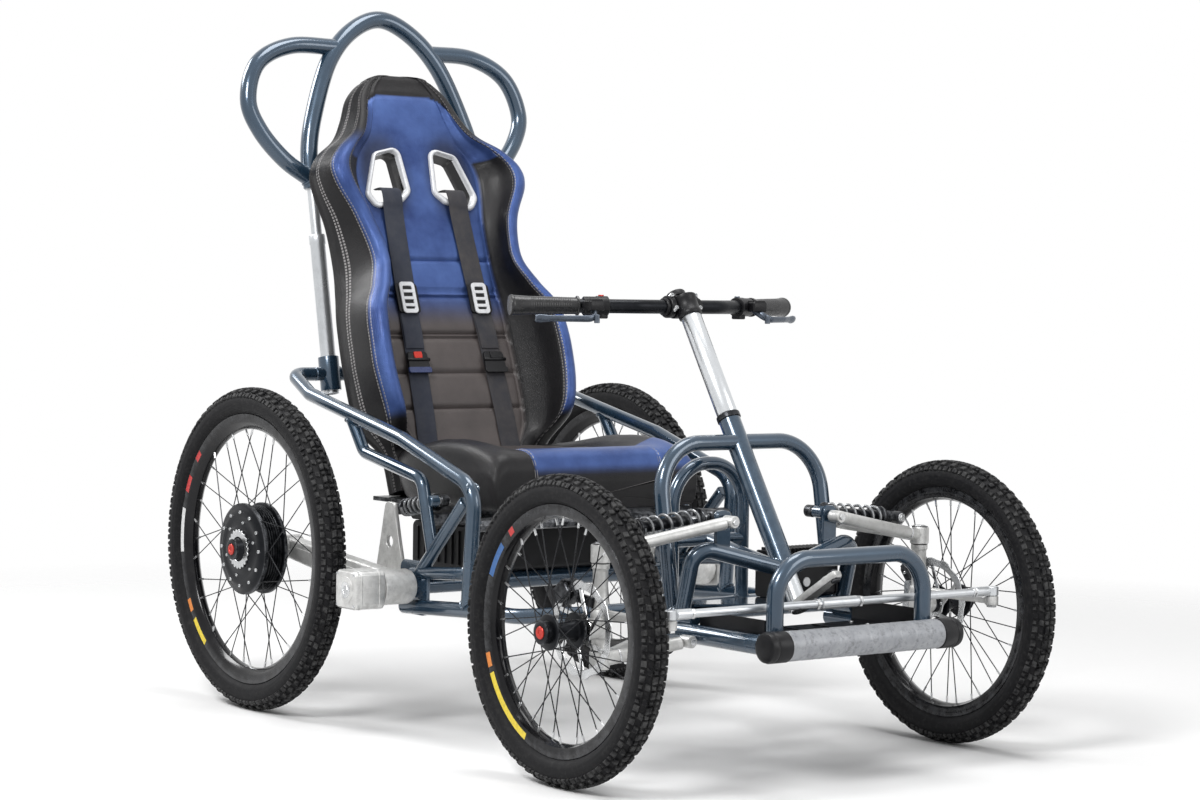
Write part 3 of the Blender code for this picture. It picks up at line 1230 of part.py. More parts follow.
def knuckle(side):
    """The steered upright: kingpin, axle and steering arm."""
    name = "knuckle_" + side_name(side)
    kingpin = from_front(0, KINGPIN_Y, 0)
    half_eye = KINGPIN_EYE_HEIGHT / 2
    low = kingpin + UP * (LOWER_EYE_Z + half_eye + RUNNING_CLEARANCE)
    high = kingpin + UP * (UPPER_EYE_Z - half_eye - RUNNING_CLEARANCE)
    body = bar_mesh(name, *mirrored([low, high], side), KNUCKLE_RADIUS, HUB_STEPS)
    pin_low = kingpin + UP * (LOWER_EYE_Z - half_eye)
    pin_high = kingpin + UP * (UPPER_EYE_Z + half_eye)
    pin = bar_mesh("kingpin", *mirrored([pin_low, pin_high], side), KINGPIN_RADIUS, HUB_STEPS)
    hub = kingpin + UP * FRONT_TYRE_RADIUS
    boss_end = Vector((hub.x, WHEEL_Y - HUB_INNER_REACH - RUNNING_CLEARANCE, hub.z))
    boss = bar_mesh("boss", *mirrored([hub, boss_end], side), AXLE_BOSS_RADIUS, HUB_STEPS)
    arm_start = kingpin + UP * STEERING_ARM_Z
    arm_end = arm_start + AHEAD * STEERING_ARM_LENGTH
    arm = bar_mesh("steering_arm", *mirrored([arm_start, arm_end], side), STEERING_ARM_RADIUS)
    eye_ends = [arm_end - UP * STEERING_ARM_RADIUS, arm_end + UP * STEERING_ARM_RADIUS]
    eye = bar_mesh("eye", *mirrored(eye_ends, side), TRACK_ROD_EYE_RADIUS, HUB_STEPS)
    welded(name, [body, pin, boss, arm, eye, axle_mesh(hub, side, KINGPIN_Y)], silver)


def track_rod():
    """The rod that joins the two steering arms, with its eyes just above theirs and a thicker middle."""
    x = STEERING_ARM_LENGTH
    ends = [from_front(x, -KINGPIN_Y, TRACK_ROD_Z), from_front(x, KINGPIN_Y, TRACK_ROD_Z)]
    over = ACROSS * (TRACK_ROD_EYE_RADIUS * EYE_OVERLAP_SHARE)
    meshes = [bar_mesh("track_rod", ends[0] - over, ends[1] + over, TRACK_ROD_RADIUS)]
    middle = [
        from_front(x, -TRACK_ROD_BULGE_HALF, TRACK_ROD_Z),
        from_front(x, TRACK_ROD_BULGE_HALF, TRACK_ROD_Z),
    ]
    meshes.append(bar_mesh("middle", *middle, TRACK_ROD_BULGE_RADIUS))
    for end in ends:
        half = UP * (TRACK_ROD_EYE_HEIGHT / 2)
        meshes.append(bar_mesh("eye", end - half, end + half, TRACK_ROD_EYE_RADIUS, HUB_STEPS))
    welded("track_rod", meshes, silver)


def steering():
    """The turning column with its lower arm, and the handlebar that it carries."""
    node = from_front(COLUMN_FOOT_X, 0, COLUMN_FOOT_Z)
    axis = steering_axis()
    foot = node - axis * COLUMN_BELOW
    top = node + axis * (STEERING_TUBE_LENGTH + COLUMN_ABOVE)
    column = bar_mesh("steering_column", foot, top, COLUMN_RADIUS, COLUMN_STEPS)
    collar_start = node + axis * (STEERING_TUBE_LENGTH + RUNNING_CLEARANCE)
    collar = bar_mesh(
        "collar",
        collar_start,
        collar_start + axis * COLUMN_COLLAR_LENGTH,
        COLUMN_COLLAR_RADIUS,
        COLUMN_STEPS,
    )
    forward = ACROSS.cross(axis)
    outline = [(0, -PITMAN_WIDTH / 2), (PITMAN_LENGTH, -PITMAN_WIDTH / 3)]
    outline += [(PITMAN_LENGTH, PITMAN_WIDTH / 3), (0, PITMAN_WIDTH / 2)]
    pitman = plate_mesh("pitman", outline, foot + axis * PITMAN_THICKNESS, forward, ACROSS, PITMAN_THICKNESS)
    welded("steering_column", [column, collar, pitman], silver)
    stem_foot = top + axis * CLEARANCE
    bar_centre = stem_foot + axis * (STEM_LENGTH / 2) - AHEAD * STEM_SETBACK
    stem = bar_mesh("stem", stem_foot, stem_foot + axis * STEM_LENGTH, STEM_RADIUS, COLUMN_STEPS)
    clamp = bar_mesh(
        "clamp",
        bar_centre - ACROSS * STEM_LENGTH,
        bar_centre + ACROSS * STEM_LENGTH,
        STEM_RADIUS - CLEARANCE,
        COLUMN_STEPS,
    )
    half = [
        bar_centre,
        bar_centre + ACROSS * HANDLEBAR_FLAT_Y,
        bar_centre - AHEAD * HANDLEBAR_BACK + ACROSS * HANDLEBAR_HALF_WIDTH,
    ]
    corners = mirrored(half[1:], RIGHT)[::-1] + half[1:]
    bar = tube_mesh("handlebar", bent(corners, HOOP_BEND_RADIUS), HANDLEBAR_RADIUS)
    welded("handlebar", [bar, clamp, stem], black_metal)
    for side in (RIGHT, LEFT):
        start, end = mirrored(half[1:], side)
        outward = (end - start).normalized()
        grip_start = end - outward * GRIP_LENGTH
        bore = bore_for(HANDLEBAR_RADIUS, CLEARANCE, HUB_STEPS)
        profile = [(bore, 0), (GRIP_RADIUS, 0), (GRIP_RADIUS, GRIP_LENGTH * GRIP_BULB_SHARE)]
        profile += [(GRIP_BULB_RADIUS, GRIP_LENGTH), (bore, GRIP_LENGTH)]
        grip = turned_mesh("grip", profile, HUB_STEPS, grip_start, outward)
        add_object("grip_" + side_name(side), grip, rubber)
        clamp_end = grip_start - outward * LEVER_GAP
        clamp_start = clamp_end - outward * LEVER_CLAMP_LENGTH
        ring = pipe_mesh("ring", clamp_start, clamp_end, LEVER_CLAMP_RADIUS, bore)
        ahead = outward.cross(UP) * side
        middle = (clamp_start + clamp_end) / 2
        pivot = middle + ahead * LEVER_AHEAD - UP * LEVER_DROP
        tip = pivot + outward * LEVER_REACH - ahead * LEVER_GAP
        blade_path = bent(
            [middle + ahead * (LEVER_CLAMP_RADIUS - LEVER_RADIUS / 2), pivot, tip],
            LEVER_DROP,
            3,
        )
        blade = tube_mesh("blade", blade_path, LEVER_RADIUS, LEVER_SIDES)
        welded("brake_lever_" + side_name(side), [ring, blade], black_metal)


def push_bar():
    """The sliding bar: two legs, the arch over them and an ear on each side."""
    arch = [push_point(y * UPRIGHT_Y, PUSH_JOINT_Z + z * PUSH_RISE) for y, z in PUSH_ARCH_SHARES]
    arch += mirrored(arch[:-1], RIGHT)[::-1]
    meshes = [tube_mesh("push_bar", smooth(arch, 2), PUSH_TUBE_RADIUS)]
    ear = [push_point(y * UPRIGHT_Y, PUSH_JOINT_Z + z * PUSH_RISE) for y, z in PUSH_EAR_SHARES]
    for side in (RIGHT, LEFT):
        meshes.append(tube_mesh("ear", smooth(mirrored(ear, side), 2), PUSH_EAR_RADIUS))
        foot = push_point(side * UPRIGHT_Y, PUSH_JOINT_Z - PUSH_LEG_LENGTH)
        joint = push_point(side * UPRIGHT_Y, PUSH_JOINT_Z + PUSH_TUBE_RADIUS)
        meshes.append(bar_mesh("leg", foot, joint, PUSH_LEG_RADIUS))
    welded("push_bar", meshes, blue_paint)


def back_point(share, y, out):
    """A point of the seat back: share of its length, distance across, distance in front of the panel."""
    recline = math.radians(BACK_RECLINE_DEG)
    along = Vector((-math.sin(recline), 0, math.cos(recline))) * (share * BACK_LENGTH)
    forward = Vector((math.cos(recline), 0, math.sin(recline))) * out
    return station(BACK_BASE_X, y, BACK_BASE_Z) + along + forward


def seat_back():
    """The bucket back: a flat panel between bolsters, with the two belt openings cut through."""
    rings = []
    thickness = BACK_THICKNESS
    recline = math.radians(BACK_RECLINE_DEG)
    foot_drop = BACK_BASE_Z - CUSHION_BOTTOM_Z - thickness * math.sin(recline)
    foot = (-foot_drop / math.cos(recline) / BACK_LENGTH, BACK_FOOT_WIDTH_SHARE, BOLSTER_CREST_SHARE, 0)
    for share, width_share, crest_share, bolster_share in (foot, *BACK_STATION_SHARES):
        width = BACK_HALF_WIDTH * width_share
        crest = BOLSTER_DEPTH * bolster_share
        middle = (SEAT_PANEL_SHARE + crest_share) / 2
        half = [(SEAT_PANEL_SHARE, 0), (middle, crest * BOLSTER_RISE_SHARE), (crest_share, crest)]
        half += [(crest_share + BOLSTER_ROUND_SHARE, crest * BOLSTER_FALL_SHARE), (1, -thickness / 2)]
        half.append((BOLSTER_CREST_SHARE, -thickness))
        ring = half + [(-y, out) for y, out in reversed(half)]
        rings.append([back_point(share, y * width, out) for y, out in ring])
    shell = rings_mesh("seat_back", rings)
    along = Vector((-math.sin(recline), 0, math.cos(recline)))
    cuts = []
    for side in (RIGHT, LEFT):
        centre = back_point(0, 0, -thickness / 2)
        outline = [(y * side * BACK_HALF_WIDTH, share * BACK_LENGTH) for share, y in BELT_OPENING_SHARES]
        opening = rounded(outline, BELT_OPENING_CORNER, 2)
        cuts.append(plate_mesh("opening", opening, centre, ACROSS, along, thickness + CUT_OVERRUN * 2))
    welded("seat_back", [shell], black_soft, cuts)


def seat_cushion():
    """The cushion: low bolsters at its sides and a rounded front edge."""
    rings = []
    length = CUSHION_FRONT_X - CUSHION_REAR_X
    recline = math.tan(math.radians(BACK_RECLINE_DEG))
    for share, width_share, height_share, bolster_share in CUSHION_STATION_SHARES:
        width = CUSHION_HALF_WIDTH * width_share
        height = CUSHION_HEIGHT * height_share
        crest = height + CUSHION_BOLSTER * bolster_share
        half = [
            (SEAT_PANEL_SHARE, height),
            (BOLSTER_MID_SHARE, (height + crest) / 2),
            (BOLSTER_CREST_SHARE, crest),
        ]
        half += [
            (BOLSTER_EDGE_SHARE, crest - CUSHION_HEIGHT * CUSHION_EDGE_SHARE),
            (1, height / 2),
            (BOLSTER_EDGE_SHARE, 0),
        ]
        ring = half + [(-y, z) for y, z in reversed(half)]
        x = CUSHION_REAR_X + share * length
        shear = recline * (1 - share) ** 4
        rings.append([station(x - z * shear, y * width, CUSHION_BOTTOM_Z + z) for y, z in ring])
    add_object("seat_cushion", rings_mesh("seat_cushion", rings), black_soft)


def harness(side):
    """One strap from its slot down the panel, with its adjuster pad and buckle as one soft piece."""
    name = "harness_strap_" + side_name(side)
    out = CLEARANCE * 2 + STRAP_THICKNESS / 2
    stations = [(STRAP_TOP_SHARE, -BACK_THICKNESS / 2), (STRAP_TOP_SHARE, out)]
    stations += [((STRAP_TOP_SHARE + STRAP_FOOT_SHARE) / 2, out), (STRAP_FOOT_SHARE, out)]
    path = []
    for share, depth in stations:
        t = (share - STRAP_FOOT_SHARE) / (STRAP_TOP_SHARE - STRAP_FOOT_SHARE)
        y = STRAP_FOOT_Y + (STRAP_TOP_Y - STRAP_FOOT_Y) * t
        path.append((share, y, depth))
    rings = []
    half = STRAP_WIDTH / 2
    for k, (share, y, depth) in enumerate(path):
        thin = STRAP_THICKNESS / 2
        if k == 0:
            corners = [(share, y - half, depth, -thin), (share, y + half, depth, -thin)]
            corners += [(share, y + half, depth, thin), (share, y - half, depth, thin)]
            rings.append([back_point(s + lift / BACK_LENGTH, side * w, o) for s, w, o, lift in corners])
            continue
        tilt = thin if k == 1 else 0
        ring = [back_point(share - tilt / BACK_LENGTH, side * (y - half), depth - thin)]
        ring.append(back_point(share - tilt / BACK_LENGTH, side * (y + half), depth - thin))
        ring.append(back_point(share + tilt / BACK_LENGTH, side * (y + half), depth + thin))
        ring.append(back_point(share + tilt / BACK_LENGTH, side * (y - half), depth + thin))
        rings.append(ring)
    strap = rings_mesh(name, rings)
    recline = math.radians(BACK_RECLINE_DEG)
    along = Vector((-math.sin(recline), 0, math.cos(recline)))
    meshes = [strap]
    for share, width, length, thick in (
        (PAD_SHARE, PAD_WIDTH, PAD_LENGTH, PAD_THICKNESS),
        (BUCKLE_SHARE, PAD_WIDTH * BUCKLE_WIDTH_SHARE, BUCKLE_LENGTH, PAD_THICKNESS * BUCKLE_WIDTH_SHARE),
    ):
        t = (share - STRAP_FOOT_SHARE) / (STRAP_TOP_SHARE - STRAP_FOOT_SHARE)
        y = STRAP_FOOT_Y + (STRAP_TOP_Y - STRAP_FOOT_Y) * t
        outline = [
            (-width / 2, -length / 2),
            (width / 2, -length / 2),
            (width / 2, length / 2),
            (-width / 2, length / 2),
        ]
        centre = back_point(share, side * y, CLEARANCE * 3 + thick / 2)
        meshes.append(plate_mesh("pad", rounded(outline, PLATE_CORNER / 2), centre, ACROSS, along, thick))
    welded(name, meshes, webbing)


clear_scene()
blue_paint = finish("blue_paint", *BLUE_PAINT_SHARES)
silver = finish("silver", *SILVER_SHARES)
black_metal = finish("black_metal", *BLACK_METAL_SHARES)
rubber = finish("rubber", *RUBBER_SHARES)
black_soft = finish("black_soft", *BLACK_SOFT_SHARES)
webbing = finish("webbing", *WEBBING_SHARES)

cross_frame()
seat_cradle()
battery_box()
front_frame()
floor_plate()
controller_box()
skid_plate()
bumper()
track_rod()
steering()
push_bar()
seat_back()
seat_cushion()
for side in (RIGHT, LEFT):
    side_frame(side)
    trailing_arm(side)
    front_arms(side)
    knuckle(side)
    front_wheel(side)
    rear_wheel(side)
    harness(side)
    shock(
        "rear_shock_" + side_name(side),
        from_pivot(SHOCK_REAR_X, side * SHOCK_Y, SHOCK_REAR_Z),
        from_pivot(SHOCK_FRONT_X, side * SHOCK_Y, SHOCK_FRONT_Z),
        ACROSS,
        SHOCK_RADIUS,
        REAR_SPRING_START_SHARE,
        REAR_SPRING_END_SHARE,
        black_metal,
    )
    shock(
        "front_shock_" + side_name(side),
        from_front(FRONT_SHOCK_X, side * FRONT_SHOCK_INNER_Y, FRONT_SHOCK_INNER_Z),
        from_front(FRONT_SHOCK_X, side * FRONT_SHOCK_OUTER_Y, FRONT_SHOCK_OUTER_Z),
        AHEAD,
        FRONT_SHOCK_RADIUS,
        FRONT_SPRING_START_SHARE,
        FRONT_SPRING_END_SHARE,
        silver,
    )
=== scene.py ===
import math

import bmesh
import bpy
import numpy as np
from mathutils import Matrix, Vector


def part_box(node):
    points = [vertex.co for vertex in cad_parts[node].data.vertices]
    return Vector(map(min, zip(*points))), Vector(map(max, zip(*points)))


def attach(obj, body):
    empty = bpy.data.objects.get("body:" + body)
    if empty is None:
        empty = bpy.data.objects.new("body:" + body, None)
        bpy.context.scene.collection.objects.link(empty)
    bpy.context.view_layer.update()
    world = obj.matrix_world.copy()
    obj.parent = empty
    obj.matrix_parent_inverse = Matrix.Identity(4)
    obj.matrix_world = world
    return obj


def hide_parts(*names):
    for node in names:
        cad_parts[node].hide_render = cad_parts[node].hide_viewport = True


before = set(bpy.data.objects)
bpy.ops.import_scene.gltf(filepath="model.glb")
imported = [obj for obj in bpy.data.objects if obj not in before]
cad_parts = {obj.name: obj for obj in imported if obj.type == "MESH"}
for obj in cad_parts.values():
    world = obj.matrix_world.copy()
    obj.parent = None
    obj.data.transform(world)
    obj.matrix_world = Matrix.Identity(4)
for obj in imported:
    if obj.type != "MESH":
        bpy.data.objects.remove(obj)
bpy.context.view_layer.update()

# places were measured from the middle of the wheelbase; everything sits this far ahead of it
midX = 0.0195
across = np.array([0.0, 1.0, 0.0])
upward = np.array([0.0, 0.0, 1.0])
ahead = np.array([1.0, 0.0, 0.0])
sides = {"right": -1, "left": 1}


def at(x, y, z):
    return np.array([x + midX, y, z], float)


def unit(v):
    v = np.asarray(v, float)
    return v / np.linalg.norm(v, axis=-1, keepdims=True)


def toSide(points, side):
    return np.asarray(points, float) * np.array([1.0, side, 1.0])


def squareTo(way):
    # a direction square to the way, level wherever the way isn't upright
    return unit(np.cross(way, upward if abs(way[2]) < 0.9 else ahead))


def linked(name, data):
    item = bpy.data.objects.new(name, data)
    bpy.context.scene.collection.objects.link(item)
    return item


def turnTo(item, side, high, back, place):
    # the object's own x, y and z run along side, high and back, and it stands at the place
    turn = np.eye(4)
    turn[:3] = np.stack([side, high, back, place], 1)
    item.matrix_world = Matrix(turn.tolist())


# camera and light

cameraLook = {
    "azimuth": 52.942, "elevation": 2.312, "distance": 5.244, "roll": 0.798, "lens": 84.267,
    "shiftSide": 0.012, "aimHeight": 0.61, "sensorWidth": 36, "clipEnd": 60,
}


def addCamera(look):
    # place = aim + turned side * shift + back * distance, and the roll turns side and high about back
    az, el, roll = (math.radians(look[k]) for k in ("azimuth", "elevation", "roll"))
    side = np.array([math.cos(az), math.sin(az), 0.0])
    back = np.array([math.sin(az) * math.cos(el), -math.cos(az) * math.cos(el), math.sin(el)])
    high = np.cross(back, side)
    turnedSide = math.cos(roll) * side + math.sin(roll) * high
    turnedHigh = math.cos(roll) * high - math.sin(roll) * side
    aim = np.array([midX, 0, look["aimHeight"]])
    camera = linked("camera", bpy.data.cameras.new("camera"))
    camera.data.lens = look["lens"]
    camera.data.sensor_width = look["sensorWidth"]
    camera.data.sensor_fit = "HORIZONTAL"
    camera.data.clip_end = look["clipEnd"]
    place = aim + turnedSide * look["shiftSide"] + back * look["distance"]
    turnTo(camera, turnedSide, turnedHigh, back, place)
    bpy.context.scene.camera = camera


lampAim = np.array([0.0, 0.0, 0.55])
lampLook = {
    "key": {"place": (1.6, -3.4, 3.6), "size": 1.3, "power": 150},
    "fill": {"place": (3.8, 1.6, 2.0), "size": 2.0, "power": 45},
    "edge": {"place": (-2.6, -1.6, 2.8), "size": 1.2, "power": 70},
    "top": {"place": (0.2, 0.3, 3.8), "size": 1.6, "power": 55},
}


def addLamps(look):
    # each lamp looks from its place at the common aim
    for name, one in look.items():
        lamp = linked(name, bpy.data.lights.new(name, "AREA"))
        lamp.data.energy = one["power"]
        lamp.data.size = one["size"]
        back = unit(one["place"] - lampAim)
        side = unit(np.cross(upward, back))
        turnTo(lamp, side, np.cross(back, side), back, one["place"])


class Graph:
    # the node tree of a material or the world, with a short call for each kind of node used here

    def __init__(self, owner):
        owner.use_nodes = True
        self.owner = owner
        self.nodes = owner.node_tree.nodes
        self.links = owner.node_tree.links
        self.shader = self.nodes.get("Principled BSDF")

    def feed(self, socket, value):
        # another node's output is linked, and a number, a place or a colour is set
        if isinstance(value, bpy.types.NodeSocket):
            self.links.new(value, socket)
        elif socket.type == "RGBA":
            socket.default_value = (*value, 1.0)
        else:
            socket.default_value = value

    def make(self, kind, inputs=(), **settings):
        made = self.nodes.new("ShaderNode" + kind)
        for key, value in settings.items():
            setattr(made, key, value)
        for key, value in dict(inputs).items():
            self.feed(made.inputs[key], value)
        return made

    def surface(self, values):
        for key, value in values.items():
            self.feed(self.shader.inputs[key], value)

    def place(self, turn=(0, 0, 0)):
        coord = self.make("TexCoord").outputs["Object"]
        return self.make("Mapping", {"Vector": coord, "Rotation": turn}).outputs["Vector"]

    def noise(self, place, scale, detail=4.0, rough=0.6):
        inputs = {"Vector": place, "Scale": scale, "Detail": detail, "Roughness": rough}
        return self.make("TexNoise", inputs).outputs["Fac"]

    def ranged(self, value, low, high, toLow=0.0, toHigh=1.0):
        inputs = {"Value": value, "From Min": low, "From Max": high, "To Min": toLow, "To Max": toHigh}
        return self.make("MapRange", inputs).outputs["Result"]

    def mixed(self, share, first, second):
        made = self.make("Mix", data_type="RGBA")
        for key, value in (("Factor", share), ("A", first), ("B", second)):
            self.feed(made.inputs[key], value)
        return made.outputs["Result"]

    def combined(self, kind, first, second=0.0):
        return self.make("Math", {0: first, 1: second}, operation=kind).outputs[0]

    def offset(self, value, middle):
        # how far the value is from the middle, either way
        return self.combined("ABSOLUTE", self.combined("SUBTRACT", value, middle))

    def worn(self, low, high, noise, *share):
        # edges are rubbed where the shape is convex, broken up by noise
        sharp = self.ranged(self.make("NewGeometry").outputs["Pointiness"], low, high)
        return self.combined("MULTIPLY", sharp, self.ranged(noise, *share))

    def bump(self, height, distance, strength):
        made = self.make("Bump", {"Strength": strength, "Distance": distance, "Height": height})
        self.links.new(made.outputs["Normal"], self.shader.inputs["Normal"])


def addWorld(ambient):
    # the world lights at the ambient strength and looks white to the camera and in reflections
    world = bpy.data.worlds.new("world")
    bpy.context.scene.world = world
    graph = Graph(world)
    rays = graph.make("LightPath").outputs
    seen = graph.combined("MAXIMUM", rays["Is Camera Ray"], rays["Is Glossy Ray"])
    seen = graph.combined("MAXIMUM", seen, rays["Is Transmission Ray"])
    sky = graph.nodes["Background"]
    graph.feed(sky.inputs["Strength"], graph.ranged(seen, 0, 1, ambient, 1.0))
    graph.feed(sky.inputs["Color"], (1, 1, 1))


# materials

def finish(name, look):
    # colour = base mottled towards tone by broad noise, rubbed towards edge where the shape is convex,
    # then specks of dust; bump = fine grain noise; roughness wanders about its middle by the spread
    graph = Graph(bpy.data.materials.new(name))
    place = graph.place()
    broad = graph.noise(place, look["toneScale"], 5, 0.62)
    colour = graph.mixed(graph.ranged(broad, 0.35, 0.72, 0.0, 0.6), look["base"], look["tone"])
    if "edge" in look:
        edge, share = look["edge"]
        worn = graph.worn(0.53, 0.60, graph.noise(place, 60, 4, 0.7), 0.4, 0.62, 0.0, share)
        colour = graph.mixed(worn, colour, edge)
    if "dust" in look:
        dust, share, scale = look["dust"]
        speck = graph.ranged(graph.noise(place, scale, 8, 0.75), 0.50, 0.74, 0.0, share)
        colour = graph.mixed(speck, colour, dust)
    rough, spread = look["rough"], 0.08
    graph.surface({
        "Base Color": colour,
        "Roughness": graph.ranged(broad, 0.3, 0.7, rough - spread, rough + spread),
        "Metallic": look.get("metal", 0.0),
        "Coat Weight": look.get("coat", 0.0),
        "Coat Roughness": look.get("coatRough", 0.08),
        "Specular IOR Level": look.get("specular", 0.5),
    })
    grainScale, grainDepth = look.get("grain", (900, 0.0002))
    graph.bump(graph.noise(place, grainScale, 3, 0.55), grainDepth, look.get("grainStrength", 0.6))
    return graph.owner


# grain is a scale and a depth in metres, edge a colour and its share, dust a colour, its share and its scale
finishes = {
    "framePaint": {
        "base": (0.017, 0.042, 0.075), "tone": (0.027, 0.06, 0.1), "toneScale": 9, "rough": 0.26,
        "metal": 0.45, "grain": (260, 0.00003), "grainStrength": 0.15, "coat": 1.0, "coatRough": 0.06,
        "edge": ((0.16, 0.24, 0.32), 0.2), "dust": ((0.12, 0.15, 0.18), 0.06, 20),
    },
    "silverPaint": {
        "base": (0.58, 0.6, 0.62), "tone": (0.46, 0.48, 0.5), "toneScale": 20, "rough": 0.34, "metal": 0.75,
        "grain": (1100, 0.00012), "edge": ((0.85, 0.86, 0.87), 0.6), "dust": ((0.2, 0.2, 0.2), 0.25, 60),
    },
    "castAlloy": {
        "base": (0.57, 0.57, 0.56), "tone": (0.42, 0.42, 0.41), "toneScale": 36, "rough": 0.42,
        "metal": 0.55, "grain": (420, 0.0004), "edge": ((0.88, 0.88, 0.87), 0.6),
        "dust": ((0.14, 0.14, 0.14), 0.45, 55),
    },
    "springSteel": {
        "base": (0.2, 0.21, 0.22), "tone": (0.08, 0.08, 0.09), "toneScale": 40, "rough": 0.3, "metal": 0.8,
        "grain": (1200, 0.0001), "edge": ((0.6, 0.6, 0.6), 0.6),
    },
    "paleWrap": {
        "base": (0.34, 0.35, 0.37), "tone": (0.2, 0.21, 0.23), "toneScale": 46, "rough": 0.42,
        "metal": 0.15, "grain": (700, 0.0003), "edge": ((0.8, 0.8, 0.8), 0.6),
        "dust": ((0.03, 0.03, 0.03), 0.75, 90),
    },
    "paleBezel": {
        "base": (0.66, 0.67, 0.69), "tone": (0.52, 0.53, 0.55), "toneScale": 40, "rough": 0.3, "metal": 0.1,
        "grain": (1200, 0.0001), "edge": ((0.75, 0.75, 0.76), 0.6), "dust": ((0.1, 0.1, 0.1), 0.3, 70),
    },
    "deepBlue": {
        "base": (0.018, 0.03, 0.105), "tone": (0.035, 0.055, 0.15), "toneScale": 50, "rough": 0.3,
        "grain": (1200, 0.0001),
    },
    "brightColumn": {
        "base": (0.66, 0.68, 0.7), "tone": (0.54, 0.56, 0.58), "toneScale": 16, "rough": 0.24,
        "metal": 0.85, "grain": (1600, 0.00006), "coat": 0.3, "dust": ((0.3, 0.3, 0.31), 0.15, 34),
    },
    "leverGrey": {
        "base": (0.07, 0.085, 0.11), "tone": (0.11, 0.13, 0.16), "toneScale": 40, "rough": 0.28,
        "metal": 0.7, "grain": (1300, 0.0001), "edge": ((0.4, 0.43, 0.47), 0.5),
    },
    "blackMetal": {
        "base": (0.005, 0.006, 0.008), "tone": (0.013, 0.014, 0.017), "toneScale": 40, "rough": 0.34,
        "metal": 0.6, "grain": (1000, 0.00015), "specular": 0.25, "edge": ((0.3, 0.31, 0.33), 0.5),
    },
    "rimBlack": {
        "base": (0.003, 0.003, 0.004), "tone": (0.007, 0.007, 0.009), "toneScale": 30, "rough": 0.2,
        "metal": 0.3, "grain": (1400, 0.00004), "coat": 0.2, "specular": 0.22,
        "edge": ((0.3, 0.31, 0.33), 0.3), "dust": ((0.07, 0.065, 0.06), 0.12, 34),
    },
    "tyreRubber": {
        "base": (0.004, 0.004, 0.005), "tone": (0.01, 0.01, 0.011), "toneScale": 60, "rough": 0.62,
        "grain": (520, 0.0005), "specular": 0.16, "edge": ((0.1, 0.1, 0.1), 0.5),
        "dust": ((0.12, 0.116, 0.112), 0.16, 120),
    },
    "gripRubber": {
        "base": (0.007, 0.007, 0.008), "tone": (0.015, 0.015, 0.016), "toneScale": 80, "rough": 0.3,
        "grain": (700, 0.0002),
    },
    "blackPlastic": {
        "base": (0.005, 0.005, 0.006), "tone": (0.011, 0.011, 0.013), "toneScale": 50, "rough": 0.38,
        "grain": (1300, 0.0002), "specular": 0.25,
    },
    "steelWire": {
        "base": (0.03, 0.031, 0.034), "tone": (0.01, 0.01, 0.012), "toneScale": 45, "rough": 0.28,
        "metal": 0.9, "grain": (1200, 0.00008),
    },
    "brightSteel": {
        "base": (0.55, 0.56, 0.57), "tone": (0.35, 0.36, 0.37), "toneScale": 30, "rough": 0.26,
        "metal": 0.95, "grain": (1500, 0.0001), "edge": ((0.9, 0.9, 0.9), 0.6),
    },
    "redAnodised": {
        "base": (0.52, 0.035, 0.022), "tone": (0.34, 0.02, 0.015), "toneScale": 60, "rough": 0.3,
        "metal": 0.5, "grain": (900, 0.0001),
    },
}
# the colour patches on the rims: base, tone, and the dust's colour, share and scale
patchColours = {
    "patchRed": ((0.55, 0.03, 0.03), (0.36, 0.03, 0.03), ((0.05, 0.05, 0.05), 0.5, 200)),
    "patchYellow": ((0.78, 0.6, 0.03), (0.55, 0.42, 0.04), ((0.05, 0.05, 0.05), 0.6, 180)),
    "patchOrange": ((0.7, 0.22, 0.03), (0.45, 0.15, 0.03), ((0.05, 0.05, 0.05), 0.5, 200)),
    "patchWhite": ((0.72, 0.72, 0.72), (0.5, 0.5, 0.5), ((0.06, 0.06, 0.06), 0.6, 160)),
    "patchBlue": ((0.03, 0.12, 0.34), (0.02, 0.08, 0.22), ((0.3, 0.3, 0.3), 0.3, 200)),
}
for name, (base, tone, dust) in patchColours.items():
    finishes[name] = {"base": base, "tone": tone, "toneScale": 120, "rough": 0.4, "dust": dust}
looks = {name: finish(name, look) for name, look in finishes.items()}
print("materials made", len(looks))


# mesh helpers: every surface is a grid of points, worked out as whole arrays

def gridQuads(rows, cols, wrapRows=False, wrapCols=False):
    r = np.arange(rows if wrapRows else rows - 1)[:, None]
    c = np.arange(cols if wrapCols else cols - 1)[None, :]
    r2, c2 = (r + 1) % rows, (c + 1) % cols
    a, b, d, e = r * cols + c, r * cols + c2, r2 * cols + c2, r2 * cols + c
    return np.stack(np.broadcast_arrays(a, b, d, e), -1).reshape(-1, 4)


def gridPart(points, wrapRows=False, wrapCols=False, tint=0):
    rows, cols = points.shape[:2]
    return points.reshape(-1, 3), gridQuads(rows, cols, wrapRows, wrapCols), tint


def gridMesh(name, points):
    # a mesh of rows of points, each row a closed ring
    flat, quads, _ = gridPart(points, False, True)
    mesh = bpy.data.meshes.new(name)
    mesh.from_pydata(flat.tolist(), [], quads.tolist())
    return mesh


def gridCopies(points, tint=0):
    # many small grids of closed rings at once, as points[copy, row, column]
    count, rows, cols = points.shape[:3]
    firsts = np.arange(count)[:, None, None] * rows * cols
    return points.reshape(-1, 3), (gridQuads(rows, cols, False, True) + firsts).reshape(-1, 4), tint


def capped(rows):
    # a stack of rings closed with their own middle points
    rows = [np.asarray(r, float) for r in rows]
    return np.stack([rows[0] * 0 + rows[0].mean(0), *rows, rows[-1] * 0 + rows[-1].mean(0)])


